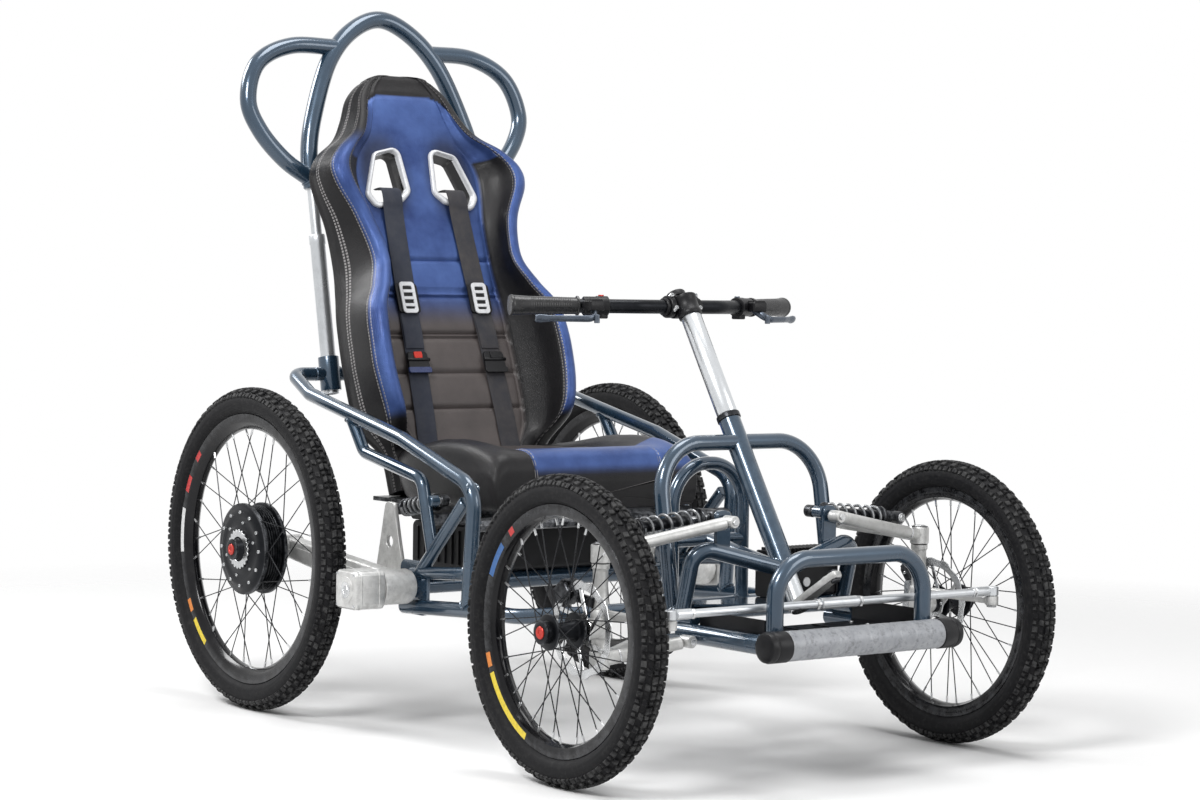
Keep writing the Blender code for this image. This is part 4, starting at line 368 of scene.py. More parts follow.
def weld(mesh):
    # points that meet become one, and the faces look outwards
    shape = bmesh.new()
    shape.from_mesh(mesh)
    bmesh.ops.remove_doubles(shape, verts=shape.verts, dist=1e-6)
    bmesh.ops.recalc_face_normals(shape, faces=shape.faces)
    shape.to_mesh(mesh)
    shape.free()


def addMaps(mesh, maps):
    # each map is two numbers per point, carried to the faces' corners
    index = np.empty(len(mesh.loops), np.int32)
    mesh.loops.foreach_get("vertex_index", index)
    for name, pair in maps.items():
        layer = mesh.uv_layers.new(name=name)
        layer.data.foreach_set("uv", np.stack(pair, -1)[index].ravel().astype(np.float32))


def bendPath(corners, radius, steps=10):
    # straight runs joined by arcs of the bend radius, one arc at each inner corner
    corners = [np.asarray(p, float) for p in corners]
    path = [corners[0][None]]
    for before, corner, after in zip(corners, corners[1:], corners[2:]):
        into, out = before - corner, after - corner
        cosine = np.clip(unit(into) @ unit(out), -1, 1)
        angle = math.acos(cosine)
        if angle > math.pi - 0.01:
            path.append(corner[None])
            continue
        reach = min(radius / math.tan(angle / 2), np.linalg.norm(into) / 2, np.linalg.norm(out) / 2)
        bend = reach * math.tan(angle / 2)
        middle = corner + unit(unit(into) + unit(out)) * (bend / math.sin(angle / 2))
        a, b = corner + unit(into) * reach - middle, corner + unit(out) * reach - middle
        sweepAngle = math.pi - angle
        t = np.linspace(0, 1, steps + 1)[:, None]
        arc = a * np.sin((1 - t) * sweepAngle) + b * np.sin(t * sweepAngle)
        path.append(middle + arc / math.sin(sweepAngle))
    path.append(corners[-1][None])
    return np.concatenate(path)


def cubic(a, b, c, d, steps):
    # the span from b to c, leaving b along the line from a to c and reaching c along the line from b to d
    t = (np.arange(steps) / steps)[:, None]
    return (b * 2 + (c - a) * t + (a * 2 - b * 5 + c * 4 - d) * t ** 2 + (b * 3 - a - c * 3 + d) * t ** 3) / 2


def smoothPath(points, steps, closed=False):
    # cubic through the points: each span leaves along the line between its neighbours
    p = np.asarray(points, float)
    if closed:
        ends = np.vstack([p[-1:], p, p[:2]])
    else:
        ends = np.vstack([p[:1] * 2 - p[1:2], p, p[-1:] * 2 - p[-2:-1]])
    curve = cubic(ends[:-3, None], ends[1:-2, None], ends[2:-1, None], ends[3:, None], steps)
    curve = curve.reshape(-1, p.shape[1])
    return curve if closed else np.vstack([curve, p[-1:]])


def evenly(path, count, closed=False):
    # the same curve with its points spread evenly along it
    loop = np.vstack([path, path[:1]]) if closed else path
    far = np.concatenate([[0], np.cumsum(np.linalg.norm(np.diff(loop, axis=0), axis=1))])
    spots = np.linspace(0, far[-1], count + 1)[:-1] if closed else np.linspace(0, far[-1], count)
    return np.stack([np.interp(spots, far, loop[:, k]) for k in range(loop.shape[1])], -1)


def framesAlong(path, closed=False):
    heading = (np.roll(path, -1, 0) - np.roll(path, 1, 0)) if closed else np.gradient(path, axis=0)
    heading = unit(heading)
    centred = path - path.mean(0)
    flat = np.linalg.svd(centred, full_matrices=True)[2][-1]
    choices = np.vstack([np.eye(3), flat])
    side = choices[np.abs(heading @ choices.T).max(0).argmin()]
    aside = unit(side - heading * (heading @ side)[:, None])
    return heading, aside, np.cross(heading, aside)


def sweep(path, section, scale=None, closed=False, tint=0):
    # point(i, j) = path[i] + scale[i] * (section[j].x * aside[i] + section[j].y * over[i]);
    # open ends are drawn to a point
    path = np.asarray(path, float)
    scale = np.ones(len(path)) if scale is None else np.asarray(scale, float)
    if not closed:
        reach = np.abs(section).max()
        first, last = unit(path[1] - path[0]) * reach, unit(path[-1] - path[-2]) * reach
        start, end = path[:1], path[-1:]
        path = np.vstack([start, start, start + first * 0.14, path[1:-1], end - last * 0.14, end, end])
        scale = np.concatenate(
            [[0, 0.86 * scale[0], scale[0]], scale[1:-1], [scale[-1], 0.86 * scale[-1], 0]]
        )
        # the doubled ends are spread apart for the headings
        spread = path.copy()
        spread[:2] = path[2] - first * [[0.3], [0.2]]
        spread[-2:] = path[-3] + last * [[0.2], [0.3]]
    _, aside, over = framesAlong(path if closed else spread, closed)
    ring = section[None, :, 0, None] * aside[:, None] + section[None, :, 1, None] * over[:, None]
    return gridPart(path[:, None] + ring * scale[:, None, None], closed, True, tint)


def circle(radius, count=24):
    turn = np.linspace(0, 2 * math.pi, count, endpoint=False)
    return np.stack([np.cos(turn), np.sin(turn)], -1) * radius


def tube(path, radius, count=24, tint=0, closed=False):
    return sweep(path, circle(radius, count), None, closed, tint)


def rod(start, end, radius, count=24, tint=0):
    t = np.linspace(0, 1, 4)[:, None]
    return tube(np.asarray(start) * (1 - t) + np.asarray(end) * t, radius, count, tint)


def lathe(profile, centre, axis, steps=48, tint=0, closed=False):
    # point(i, j) = centre + axis * along[i] + radius[i] * (cos(turn[j]) * aside + sin(turn[j]) * over)
    profile = np.asarray(profile, float)
    axis = unit(axis)
    aside = squareTo(axis)
    over = np.cross(axis, aside)
    turn = np.linspace(0, 2 * math.pi, steps, endpoint=False)
    out = np.cos(turn)[:, None] * aside + np.sin(turn)[:, None] * over
    points = np.asarray(centre) + profile[:, 1, None, None] * axis + profile[:, 0, None, None] * out[None]
    return gridPart(points, closed, True, tint)


def softCorners(profile, cut):
    # each corner of the profile is replaced by two points, cut away from it along both edges
    p = np.asarray(profile, float)
    before, after = p[:-2] - p[1:-1], p[2:] - p[1:-1]
    near = np.minimum(cut, 0.4 * np.linalg.norm(before, axis=1))[:, None]
    far = np.minimum(cut, 0.4 * np.linalg.norm(after, axis=1))[:, None]
    pairs = np.stack([p[1:-1] + unit(before) * near, p[1:-1] + unit(after) * far], 1).reshape(-1, 2)
    return np.vstack([p[:1], pairs, p[-1:]])


def roundedOutline(corners, radius, steps=6):
    closed = [np.array([*c, 0.0]) for c in corners]
    path = bendPath([closed[-1]] + closed + [closed[0]], radius, steps)
    return path[1:-1, :2]


def boxOutline(a, b, radius, steps=6):
    return roundedOutline([(-a, -b), (a, -b), (a, b), (-a, b)], radius, steps)


def slab(levels, origin, right, high, thick, wrapRows, tint):
    # each level is an outline, drawn along right and high from the origin, and its share of the thickness
    right, high = unit(right), unit(high)
    out = np.cross(right, high)
    rows = [origin + flat[:, :1] * right + flat[:, 1:] * high + out * depth * thick for flat, depth in levels]
    return gridPart(np.stack(rows), wrapRows, True, tint)


def plate(outline, origin, right, high, thick, bevel=0.001, tint=0):
    # rings from the middle of one face, over the bevelled edge, to the middle of the other
    middle = outline * 0 + outline.mean(0)
    inset = outline + unit(middle - outline) * bevel
    edge = 0.5 - bevel / thick
    levels = ((middle, -0.5), (inset, -0.5), (outline, -edge), (outline, edge), (inset, 0.5), (middle, 0.5))
    return slab(levels, origin, right, high, thick, False, tint)


def ringPlate(outer, inner, origin, right, high, thick, bevel=0.0008, tint=0):
    # a plate with a hole: the wall's section runs round from the outer edge to the hole's edge and back
    step = unit(inner - outer) * bevel
    wide, narrow = outer + step, inner - step
    edge = 0.5 - bevel / thick
    levels = (
        (outer, -edge), (wide, -0.5), (narrow, -0.5), (inner, -edge),
        (inner, edge), (narrow, 0.5), (wide, 0.5), (outer, edge),
    )
    return slab(levels, origin, right, high, thick, True, tint)


def weldBead(onPoint, onWay, onRadius, start, way, radius, bead=0.0026, tint=0):
    # the ring where the small tube's skin meets the big tube's skin, with a rippled bead laid along it
    onWay, way = unit(onWay), unit(way)
    aside = squareTo(way)
    over = np.cross(way, aside)
    turn = np.linspace(0, 2 * math.pi, 96, endpoint=False)[:, None]
    begin = np.asarray(start) + radius * (np.cos(turn) * aside + np.sin(turn) * over)
    offset = begin - onPoint
    offset = offset - (offset @ onWay)[:, None] * onWay
    run = way - (way @ onWay) * onWay
    a, b = run @ run, 2 * offset @ run
    c = (offset ** 2).sum(1) - onRadius ** 2
    far = (-b + np.sqrt(np.maximum(b * b - 4 * a * c, 0))) / (2 * a)
    ripple = 1 + 0.13 * np.sin(turn[:, 0] * 32)
    return sweep(begin + far[:, None] * way, circle(bead, 6), ripple, True, tint)


def makePiece(name, parts, body, material, replaces=(), sharpAngle=38):
    # all the grids of one piece in one mesh, each with the number of its material
    firsts = np.cumsum([0] + [len(points) for points, _, _ in parts])
    points = np.concatenate([points for points, _, _ in parts])
    quads = np.concatenate([faces + first for (_, faces, _), first in zip(parts, firsts)])
    tints = np.concatenate([np.full(len(faces), tint) for _, faces, tint in parts])
    mesh = bpy.data.meshes.new(name)
    mesh.vertices.add(len(points))
    mesh.vertices.foreach_set("co", points.astype(np.float32).ravel())
    mesh.loops.add(quads.size)
    mesh.loops.foreach_set("vertex_index", quads.astype(np.int32).ravel())
    mesh.polygons.add(len(quads))
    mesh.polygons.foreach_set("loop_start", np.arange(0, quads.size, 4, dtype=np.int32))
    mesh.polygons.foreach_set("material_index", tints.astype(np.int32))
    mesh.update(calc_edges=True)
    mesh.validate()
    weld(mesh)
    mesh.shade_smooth()
    mesh.set_sharp_from_angle(angle=math.radians(sharpAngle))
    item = linked(name, mesh)
    for one in [material] if isinstance(material, str) else material:
        mesh.materials.append(looks[one] if isinstance(one, str) else one)
    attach(item, body)
    if replaces:
        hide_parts(*replaces)


# floor

floorLook = {"radius": 6.0, "colour": (0.86, 0.86, 0.86), "fadeFrom": 1.3, "fadeTo": 3.2}
worldAmbient = 0.36


def addFloor(look):
    # rings from the middle out: point = radius * (cos, sin); the floor fades into the white behind it
    rings = np.linspace(0, 1, 9)[:, None] ** 1.5 * look["radius"]
    turn = np.linspace(0, 2 * math.pi, 65)[None, :-1]
    points = np.stack([rings * np.cos(turn), rings * np.sin(turn), np.zeros_like(rings * turn)], -1)
    graph = Graph(bpy.data.materials.new("paleFloor"))
    place = graph.place()
    far = graph.make("VectorMath", {0: place}, operation="LENGTH").outputs["Value"]
    fade = graph.ranged(far, look["fadeFrom"], look["fadeTo"])
    speck = graph.ranged(graph.noise(place, 40), 0.3, 0.7, 0.0, 0.3)
    colour = graph.mixed(speck, look["colour"], tuple(c * 0.97 for c in look["colour"]))
    graph.surface({"Base Color": colour, "Roughness": 0.9, "Specular IOR Level": 0.1})
    clear = graph.make("BsdfTransparent").outputs[0]
    mix = graph.make("MixShader", {0: fade, 1: graph.shader.outputs[0], 2: clear})
    graph.links.new(mix.outputs[0], graph.nodes["Material Output"].inputs["Surface"])
    mesh = gridMesh("floor", points)
    weld(mesh)
    if mesh.polygons[0].normal.z < 0:
        mesh.flip_normals()
    mesh.materials.append(graph.owner)
    item = linked("floor", mesh)


addCamera(cameraLook)
addLamps(lampLook)
addWorld(worldAmbient)
addFloor(floorLook)
bpy.context.scene.view_settings.view_transform = "Standard"
print("camera, lamps and floor set")


# frame tubes

tubeLook = {"main": 0.0138, "small": 0.0120, "cross": 0.0108, "rail": 0.0165, "loop": 0.0145, "sideY": 0.300}
columnRake = math.radians(32)
columnFoot = at(0.554, 0, 0.341)
columnWay = np.array([-math.sin(columnRake), 0, math.cos(columnRake)])


def sideFrame(side):
    name = "side_frame_" + side
    k = sides[side]
    y, main, small = tubeLook["sideY"], tubeLook["main"], tubeLook["small"]
    post = [at(0.032, y, 0.240), at(0.050, y, 0.457)]
    upperCorners = [
        *post, at(-0.190, y, 0.534), at(-0.520, y, 0.604), at(-0.612, 0.285, 0.640), at(-0.612, 0.236, 0.640),
    ]
    railCorners = [
        at(-0.178, y, 0.224), at(0.100, y, 0.240), at(0.180, y, 0.240), at(0.430, 0.180, 0.2672),
        at(0.535, 0.180, 0.2672),
    ]
    bridge = [at(-0.372, y, 0.570), at(-0.322, y, 0.502), at(-0.122, y, 0.464), at(-0.084, y, 0.330)]
    diagonal = [at(-0.150, y, 0.266), at(0.020, y, 0.432)]
    stay = [at(-0.150, y, 0.288), at(0.032, y, 0.302)]
    parts = [tube(toSide(bendPath(upperCorners, 0.055), k), main, 28)]
    parts.append(tube(toSide(bendPath(railCorners, 0.110), k), main, 28))
    parts.append(tube(toSide(bendPath(bridge, 0.030), k), small, 24))
    parts.append(rod(*toSide(diagonal, k), small))
    parts.append(rod(*toSide(stay, k), small))
    parts.append(
        plate(boxOutline(0.045, 0.050, 0.016), toSide(at(-0.142, y, 0.262), k), ahead, upward, 0.007)
    )
    parts.append(rod(*toSide([at(-0.100, y, 0.424), at(-0.100, 0.2803, 0.424)], k), 0.011))
    parts.append(rod(*toSide([at(-0.136, 0.2859, 0.266), at(-0.136, 0.3177, 0.266)], k), 0.022, 32))
    railWay, postWay = railCorners[1] - railCorners[0], post[1] - post[0]
    beads = [
        (post[0], railWay, main, post[0], postWay, main),
        (post[0] + postWay * 0.87, postWay, main, diagonal[1], diagonal[0] - diagonal[1], small),
        (post[0] + postWay * 0.29, postWay, main, stay[1], stay[0] - stay[1], small),
        (bridge[0], upperCorners[3] - upperCorners[2], main, bridge[0], bridge[1] - bridge[0], small),
    ]
    for onPoint, onWay, onRadius, start, way, radius in beads:
        parts.append(weldBead(*toSide([onPoint, onWay], k), onRadius, *toSide([start, way], k), radius))
    makePiece("sideTubes_" + side, parts, "chassis", "framePaint", [name])


def frontFrame():
    main, small, crossRadius = tubeLook["main"], tubeLook["small"], tubeLook["cross"]
    railZ, footZ = 0.2672, 0.2672 + main * 0.35
    hoop = np.array([at(0.470, 0.180, footZ), at(0.4239, 0.180, 0.5540)])
    inner = np.array([at(0.342, 0.080, 0.260), at(0.342, 0.080, 0.512)])
    node = columnFoot
    tubeRadius = 0.0195
    parts = [tube(bendPath([*toSide(hoop, -1), *hoop[::-1]], 0.090, 16), main, 28)]
    parts.append(tube(bendPath([*toSide(inner, -1), *inner[::-1]], 0.075, 16), small, 24))
    parts.append(rod(at(0.478, -0.175, railZ), at(0.478, 0.175, railZ), main))
    parts.append(rod(at(0.342, -0.228, 0.260), at(0.342, 0.228, 0.260), main))
    spine = [at(0.342, 0, 0.376), node]
    parts.append(rod(*spine, small))
    parts.append(rod(at(0.342, -0.080, 0.376), at(0.342, 0.080, 0.376), crossRadius))
    for k in (-1, 1):
        post = toSide([at(0.497, 0.180, footZ), at(0.527, 0.180, 0.388), node], k)
        parts.append(tube(bendPath(post, 0.030), main, 28))
        parts.append(weldBead(node, columnWay, tubeRadius, node, post[1] - node, main))
        parts.append(
            plate(boxOutline(0.015, 0.042, 0.012), at(0.5275, k * 0.120, 0.404), across, upward, 0.008)
        )
        parts.append(rod(*toSide([at(0.5275, 0.110, 0.434), at(0.5043, 0.110, 0.434)], k), 0.0107))
        onRail, hoopWay = toSide(at(0.43, 0.180, railZ), k), toSide(hoop[1] - hoop[0], k)
        parts.append(weldBead(onRail, ahead, main, toSide(at(0.470, 0.180, railZ), k), hoopWay, main))
        parts.append(weldBead(onRail, ahead, main, toSide(at(0.497, 0.180, railZ), k), upward, main))
        innerFoot = toSide(inner[0], k)
        parts.append(weldBead(innerFoot, across, main, innerFoot, upward, small))
    parts.append(weldBead(node, columnWay, tubeRadius, node, spine[0] - node, small))
    wall = [(0.0171, -0.011), (tubeRadius, -0.011), (tubeRadius, 0.294), (0.0171, 0.294), (0.0171, -0.011)]
    parts.append(lathe(softCorners(wall, 0.0006), node, columnWay, 40))
    makePiece("frontTubes", parts, "chassis", "framePaint", ["front_frame"])


def bumperTubes():
    rail, loopRadius = tubeLook["rail"], tubeLook["loop"]
    barX = 0.750
    loop = np.array([at(0.720, 0.165, 0.242), at(0.720, 0.165, 0.379)])
    parts = [tube(bendPath([*toSide(loop, -1), *loop[::-1]], 0.090, 18), loopRadius, 28)]
    for k in (-1, 1):
        parts.append(rod(*toSide([at(0.455, 0.190, 0.2415), at(barX, 0.190, 0.242)], k), rail, 28))
        onRail, loopFoot = toSide([at(0.6, 0.190, 0.240), at(0.720, 0.178, 0.242)], k)
        parts.append(weldBead(onRail, ahead, rail, loopFoot, upward, loopRadius))
    makePiece("bumperTubes", parts, "chassis", "framePaint", ["bumper_frame"])
    # the bar: black caps at both ends and a pale wrapped band between them
    radius, band, half, cap = 0.026, 0.025, 0.214, 0.044
    profile = [
        (0, half), (radius * 0.72, half), (radius * 0.93, half - 0.003), (radius, half - 0.009),
        (radius, half - 0.014), (radius - 0.0008, half - 0.0155), (radius, half - 0.017),
        (radius, half - cap + 0.0012), (radius - 0.001, half - cap), (0, half - cap),
    ]
    parts = [lathe(profile, at(barX, 0, 0.242), across * k, 48, 0) for k in (-1, 1)]
    # the band overlaps itself in shallow turns: radius = band - small saw-tooth of the distance along
    along = np.linspace(-half + cap + 0.0008, half - cap - 0.0008, 220)
    wrapped = band - 0.0007 * ((along / 0.034) % 1.0) ** 6
    profile = np.vstack([[(0, along[0])], np.stack([wrapped, along], -1), [(0, along[-1])]])
    parts.append(lathe(profile, at(barX, 0, 0.242), across, 64, 1))
    makePiece("bumperBar", parts, "chassis", ["blackPlastic", "paleWrap"], ["bumper_bar"])


def pushPoint(y, z):
    return at(-0.612 - (z - 0.640) * 0.198, y, z)


pushWay = unit([-0.198, 0, 1])


def pushBar():
    rise = 0.357
    archShares = [(1.00, 0.00), (1.00, 0.21), (0.90, 0.43), (0.675, 0.726), (0.375, 0.914), (0.0, 1.0)]
    earShares = [
        (1.00, 0.05), (1.30, 0.16), (1.55, 0.32), (1.65, 0.49), (1.50, 0.70), (1.10, 0.81), (0.56, 0.82),
    ]
    radius, earRadius = 0.018, 0.017
    half = [pushPoint(0.200 * y, 1.010 + z * rise) for y, z in archShares]
    arch = smoothPath(half + list(toSide(half[:-1], -1)[::-1]), 8)
    parts = [tube(arch, radius, 28)]
    for k in (-1, 1):
        ear = smoothPath(toSide([pushPoint(0.200 * y, 1.010 + z * rise) for y, z in earShares], k), 8)
        parts.append(tube(ear, earRadius, 28))
        parts.append(
            weldBead(pushPoint(k * 0.200, 1.028), pushWay, radius, ear[0], ear[3] - ear[0], earRadius)
        )
    makePiece("pushLoop", parts, "push_bar", "framePaint", ["push_bar"])
    legs = [rod(pushPoint(k * 0.200, 0.800), pushPoint(k * 0.200, 1.014), 0.0107) for k in (-1, 1)]
    makePiece("pushLegs", legs, "push_bar", "silverPaint", ())
    for side, k in sides.items():
        foot, top = pushPoint(k * 0.200, 0.600), pushPoint(k * 0.200, 0.917)
        length = np.linalg.norm(top - foot)
        wall = [
            (0.0113, 0), (0.0142, 0), (0.0150, 0.001), (0.0150, length - 0.020), (0.0162, length - 0.018),
            (0.0162, length - 0.001), (0.0156, length), (0.0113, length), (0.0113, 0),
        ]
        upright = [lathe(wall, foot, pushWay, 36)]
        makePiece(
            "pushUpright_" + side, upright, "chassis", "silverPaint", ["push_upright_" + side],
        )


def rearCross():
    main = tubeLook["main"]
    parts = [rod(at(-0.612, -0.2357, 0.640), at(-0.612, 0.2357, 0.640), main, 28)]
    for k in (-1, 1):
        middle = pushPoint(k * 0.200, 0.640)
        wall = [
            (0.0153, -0.034), (0.0205, -0.034), (0.0210, -0.0325), (0.0210, 0.0325), (0.0205, 0.034),
            (0.0153, 0.034), (0.0153, -0.034),
        ]
        parts.append(lathe(wall, middle, pushWay, 40))
        parts.append(weldBead(middle, pushWay, 0.021, middle, -k * across, main))
    makePiece("rearCross", parts, "chassis", "framePaint", ["rear_crossbar"])
    pivot = [rod(at(-0.136, -0.2856, 0.266), at(-0.136, 0.2856, 0.266), 0.0165, 32)]
    makePiece("pivotCross", pivot, "chassis", "framePaint", ["pivot_crossbar"])


for side in sides:
    sideFrame(side)
frontFrame()
bumperTubes()
pushBar()
rearCross()
print("frame tubes made")


# wheels

wheelLook = {
    "rear": {
        "centre": (-0.4855, 0.433, 0.310), "bead": 0.2535, "depth": 0.0240, "radius": 0.310,
        "hubRadius": 0.084, "flanges": (-0.020, 0.020), "crossDeg": 34,
    },
    "front": {
        "centre": (0.5245, 0.433, 0.258), "bead": 0.2030, "depth": 0.0180, "radius": 0.258,
        "hubRadius": 0.0285, "flanges": (-0.020, 0.0315), "crossDeg": 52,
    },
}
# each row of lugs is mirrored; one without a height reaches the tyre's full radius
tyreLook = {
    "pitch": 0.0262,
    "lugs": [
        {"across": 0.0048, "wide": 0.0078, "long": 0.0125, "shift": 0.0, "skew": -0.0012},
        {"across": 0.0058, "wide": 0.0058, "long": 0.0060, "shift": 0.5},
        {"across": 0.0152, "wide": 0.0078, "long": 0.0105, "high": 0.0044, "shift": 0.5, "skew": 0.0016},
        {"across": 0.0252, "wide": 0.0088, "long": 0.0110, "high": 0.0036, "shift": 0.0},
        {"across": 0.0265, "wide": 0.0060, "long": 0.0060, "high": 0.0034, "shift": 0.5},
    ],
}


def tyreSection(height):
    # half section as (distance from the middle plane, height over the bead), scaled to this tyre
    half = np.array(
        [
            (0.0, 0.0517), (0.0090, 0.0503), (0.0170, 0.0460), (0.0232, 0.0390), (0.0265, 0.0300),
            (0.0262, 0.0205), (0.0228, 0.0125), (0.0175, 0.0078), (0.0147, 0.0062), (0.0138, 0.0060),
            (0.0134, 0.0004),
        ]
    )
    half[:, 1] *= height / 0.0565
    return half


def lugBlocks(look, radius, section, bead):
    # each lug is a small frustum: foot on the carcass, sides drawn in, top bevelled; its place is
    # (distance round the tread, distance across it) and its points follow the carcass and its outward way
    curve = smoothPath(section, 10)
    whole = np.vstack([curve[::-1] * [-1, 1], curve[1:]])
    far = np.concatenate([[0], np.cumsum(np.linalg.norm(np.diff(whole, axis=0), axis=1))])
    far -= far[len(far) // 2]
    way = unit(np.gradient(whole, axis=0))
    outward = np.stack([-way[:, 1], way[:, 0]], -1)
    circumference = 2 * math.pi * radius
    count = round(circumference / look["pitch"])
    parts = []
    for row, k in ((row, k) for row in look["lugs"] for k in (-1, 1)):
        high = row.get("high", radius - (bead + section[0, 1]))
        spots = (np.arange(count) + row["shift"]) * circumference / count
        a, b = row["long"] / 2, row["wide"] / 2
        foot = np.array([(-a, -b), (a, -b), (a, b), (-a, b)])
        foot[:, 0] += np.array([-1, -1, 1, 1]) * row.get("skew", 0.0) * k
        layers = []
        for share, lift in ((1.06, -0.0012), (0.94, high * 0.80), (0.78, high), (0.0, high)):
            turn = (spots[:, None] + foot[None, :, 0] * share) / radius
            wide = row["across"] * k + foot[None, :, 1] * share + 0 * turn
            y = np.interp(wide, far, whole[:, 0]) + np.interp(wide, far, outward[:, 0]) * lift
            r = bead + np.interp(wide, far, whole[:, 1]) + np.interp(wide, far, outward[:, 1]) * lift
            layers.append(np.stack([r * np.cos(turn), y, r * np.sin(turn)], -1))
        parts.append(gridCopies(np.stack(layers, 1)))
    return parts


def tyre(name, centre, radius, bead, body, node):
    section = tyreSection(radius - bead)
    curve = smoothPath(section, 5)
    # fine moulded rings on the side wall
    wall = np.exp(-((curve[:, 1] - 0.020) / 0.007) ** 2)
    curve[:, 0] += 0.00025 * wall * np.sin(curve[:, 1] * 4200)
    whole = np.vstack([curve[::-1] * [-1, 1], curve[1:]])
    profile = np.stack([bead + whole[:, 1], whole[:, 0]], -1)
    profile = np.vstack([profile, [[bead + 0.0004, 0.0]], profile[:1]])
    parts = [lathe(profile, np.zeros(3), across, 144), *lugBlocks(tyreLook, radius, section, bead)]
    parts = [(points + centre, quads, tint) for points, quads, tint in parts]
    makePiece(name, parts, body, "tyreRubber", [node], sharpAngle=32)


def rimPart(centre, bead, depth, out):
    half = np.array([
        (bead - 0.0035, 0.0), (bead - 0.0035, 0.0095), (bead, 0.0122), (bead, 0.0140),
        (bead + 0.0060, 0.0143),
        (bead + 0.0062, 0.0158), (bead + 0.0052, 0.0169), (bead - 0.0090, 0.0169), (bead - 0.0130, 0.0150),
        (bead - depth + 0.0020, 0.0078), (bead - depth, 0.0045), (bead - depth, 0.0),
    ])
    profile = np.vstack([half, (half * [1, -1])[::-1][1:]])
    return lathe(profile, centre, across * out, 128)


def spokeParts(centre, hubRadius, rimRadius, flanges, count, crossDeg, stagger):
    # spoke i runs from its flange to the rim; neighbours leave opposite flanges, every second pair leans back
    i = np.arange(count)
    lean = np.where(i // 2 % 2 == 0, 1.0, -1.0)
    rimTurn = 2 * math.pi * i / count
    hubTurn = rimTurn + lean * math.radians(crossDeg)
    flange = np.where(i % 2 == 0, flanges[0], flanges[1])
    start = np.stack([np.cos(hubTurn) * hubRadius, flange, np.sin(hubTurn) * hubRadius], -1)
    end = np.stack([np.cos(rimTurn) * rimRadius, np.sign(flange) * stagger, np.sin(rimTurn) * rimRadius], -1)
    length = np.linalg.norm(end - start, axis=1)[:, None]
    way = unit(end - start)
    aside = unit(np.cross(way, across))
    over = np.cross(way, aside)
    turn = circle(1.0, 6)
    ring = turn[:, :1] * aside[:, None, None] + turn[:, 1:] * over[:, None, None]
    nipple = 0.0135
    # the wire, then the nipple at the rim, each as its stops along the way and its radii there
    shapes = (
        (
            start, np.array([0.0, 0.0, 0.02, 0.98, 1.0, 1.0]) * length,
            [0, 0.0013, 0.00105, 0.00105, 0.00105, 0],
        ),
        (end, np.array([-nipple, -nipple, 0.0, 0.0])[None], [0, 0.0021, 0.0019, 0]),
    )
    parts = []
    for tint, (origin, stops, radii) in enumerate(shapes):
        along = origin[:, None] + way[:, None] * stops[..., None]
        parts.append(gridCopies(along[:, :, None] + ring * np.array(radii)[:, None, None] + centre, tint))
    return parts


def patch(centre, out, innerRadius, outerRadius, offset, fromDeg, toDeg, tint):
    # a thin arc of sticker on the rim's side: point = centre + r * (cos, sin), just proud of the wall
    turn = np.radians(np.linspace(fromDeg, toDeg, 24))[None]
    r = np.array([innerRadius, innerRadius, outerRadius, outerRadius, innerRadius])[:, None]
    lift = np.array([-0.0003, 0.00025, 0.00025, -0.0003, -0.0003])[:, None]
    y = (offset + lift) * out + 0 * turn
    points = np.stack([r * np.cos(turn), y, r * np.sin(turn)], -1) + centre
    first = np.repeat(points[:, :1].mean(0, keepdims=True), 5, 0)
    last = np.repeat(points[:, -1:].mean(0, keepdims=True), 5, 0)
    return gridPart(np.concatenate([first, points, last], 1), False, False, tint)


stickers = {
    "rear": [(150, 158, 0), (136, 141, 0), (166, 186, 3), (208, 214, 2), (218, 232, 1)],
    "front": [(196, 203, 2), (206, 246, 1), (140, 158, 4), (128, 132, 0)],
}


def wheel(kind, side):
    look, k = wheelLook[kind], sides[side]
    centre, out = toSide(look["centre"], k), across * k
    bead, depth = look["bead"], look["depth"]
    body = f"{kind}_wheel_{side}"
    tyre(f"{kind}Tyre_{side}", centre, look["radius"], bead, body, f"{kind}_tyre_{side}")
    makePiece(f"{kind}Rim_{side}", [rimPart(centre, bead, depth, k)], body, "rimBlack", [body])
    flanges = np.array(look["flanges"]) * k
    spokes = spokeParts(
        centre, look["hubRadius"], bead - depth + 0.002, flanges, 36, look["crossDeg"], 0.0035,
    )
    makePiece(f"{kind}Spokes_{side}", spokes, body, ["steelWire", "brightSteel"], ())
    radii = (bead - 0.0078, bead + 0.0040)
    arcs = [patch(centre, k, *radii, 0.0169, *sticker) for sticker in stickers[kind]]
    makePiece(f"{kind}Stickers_{side}", arcs, body, list(patchColours), ())
    hub = rearHub if kind == "rear" else frontHub
    hub(side, centre, out, body)


def toothed(centre, out, radius, count, depth, bore, thick, offset, tint=0):
    # a ring whose outer edge waves: radius * (1 + depth * square-ish wave of count teeth)
    turn = np.linspace(0, 2 * math.pi, count * 8, endpoint=False)
    wave = np.tanh(2.2 * np.sin(turn * count)) * depth
    outer = np.stack([np.cos(turn), np.sin(turn)], -1) * (radius + wave)[:, None]
    inner = np.stack([np.cos(turn), np.sin(turn)], -1) * bore
    return ringPlate(outer, inner, centre + out * offset, ahead, upward, thick, 0.0005, tint)


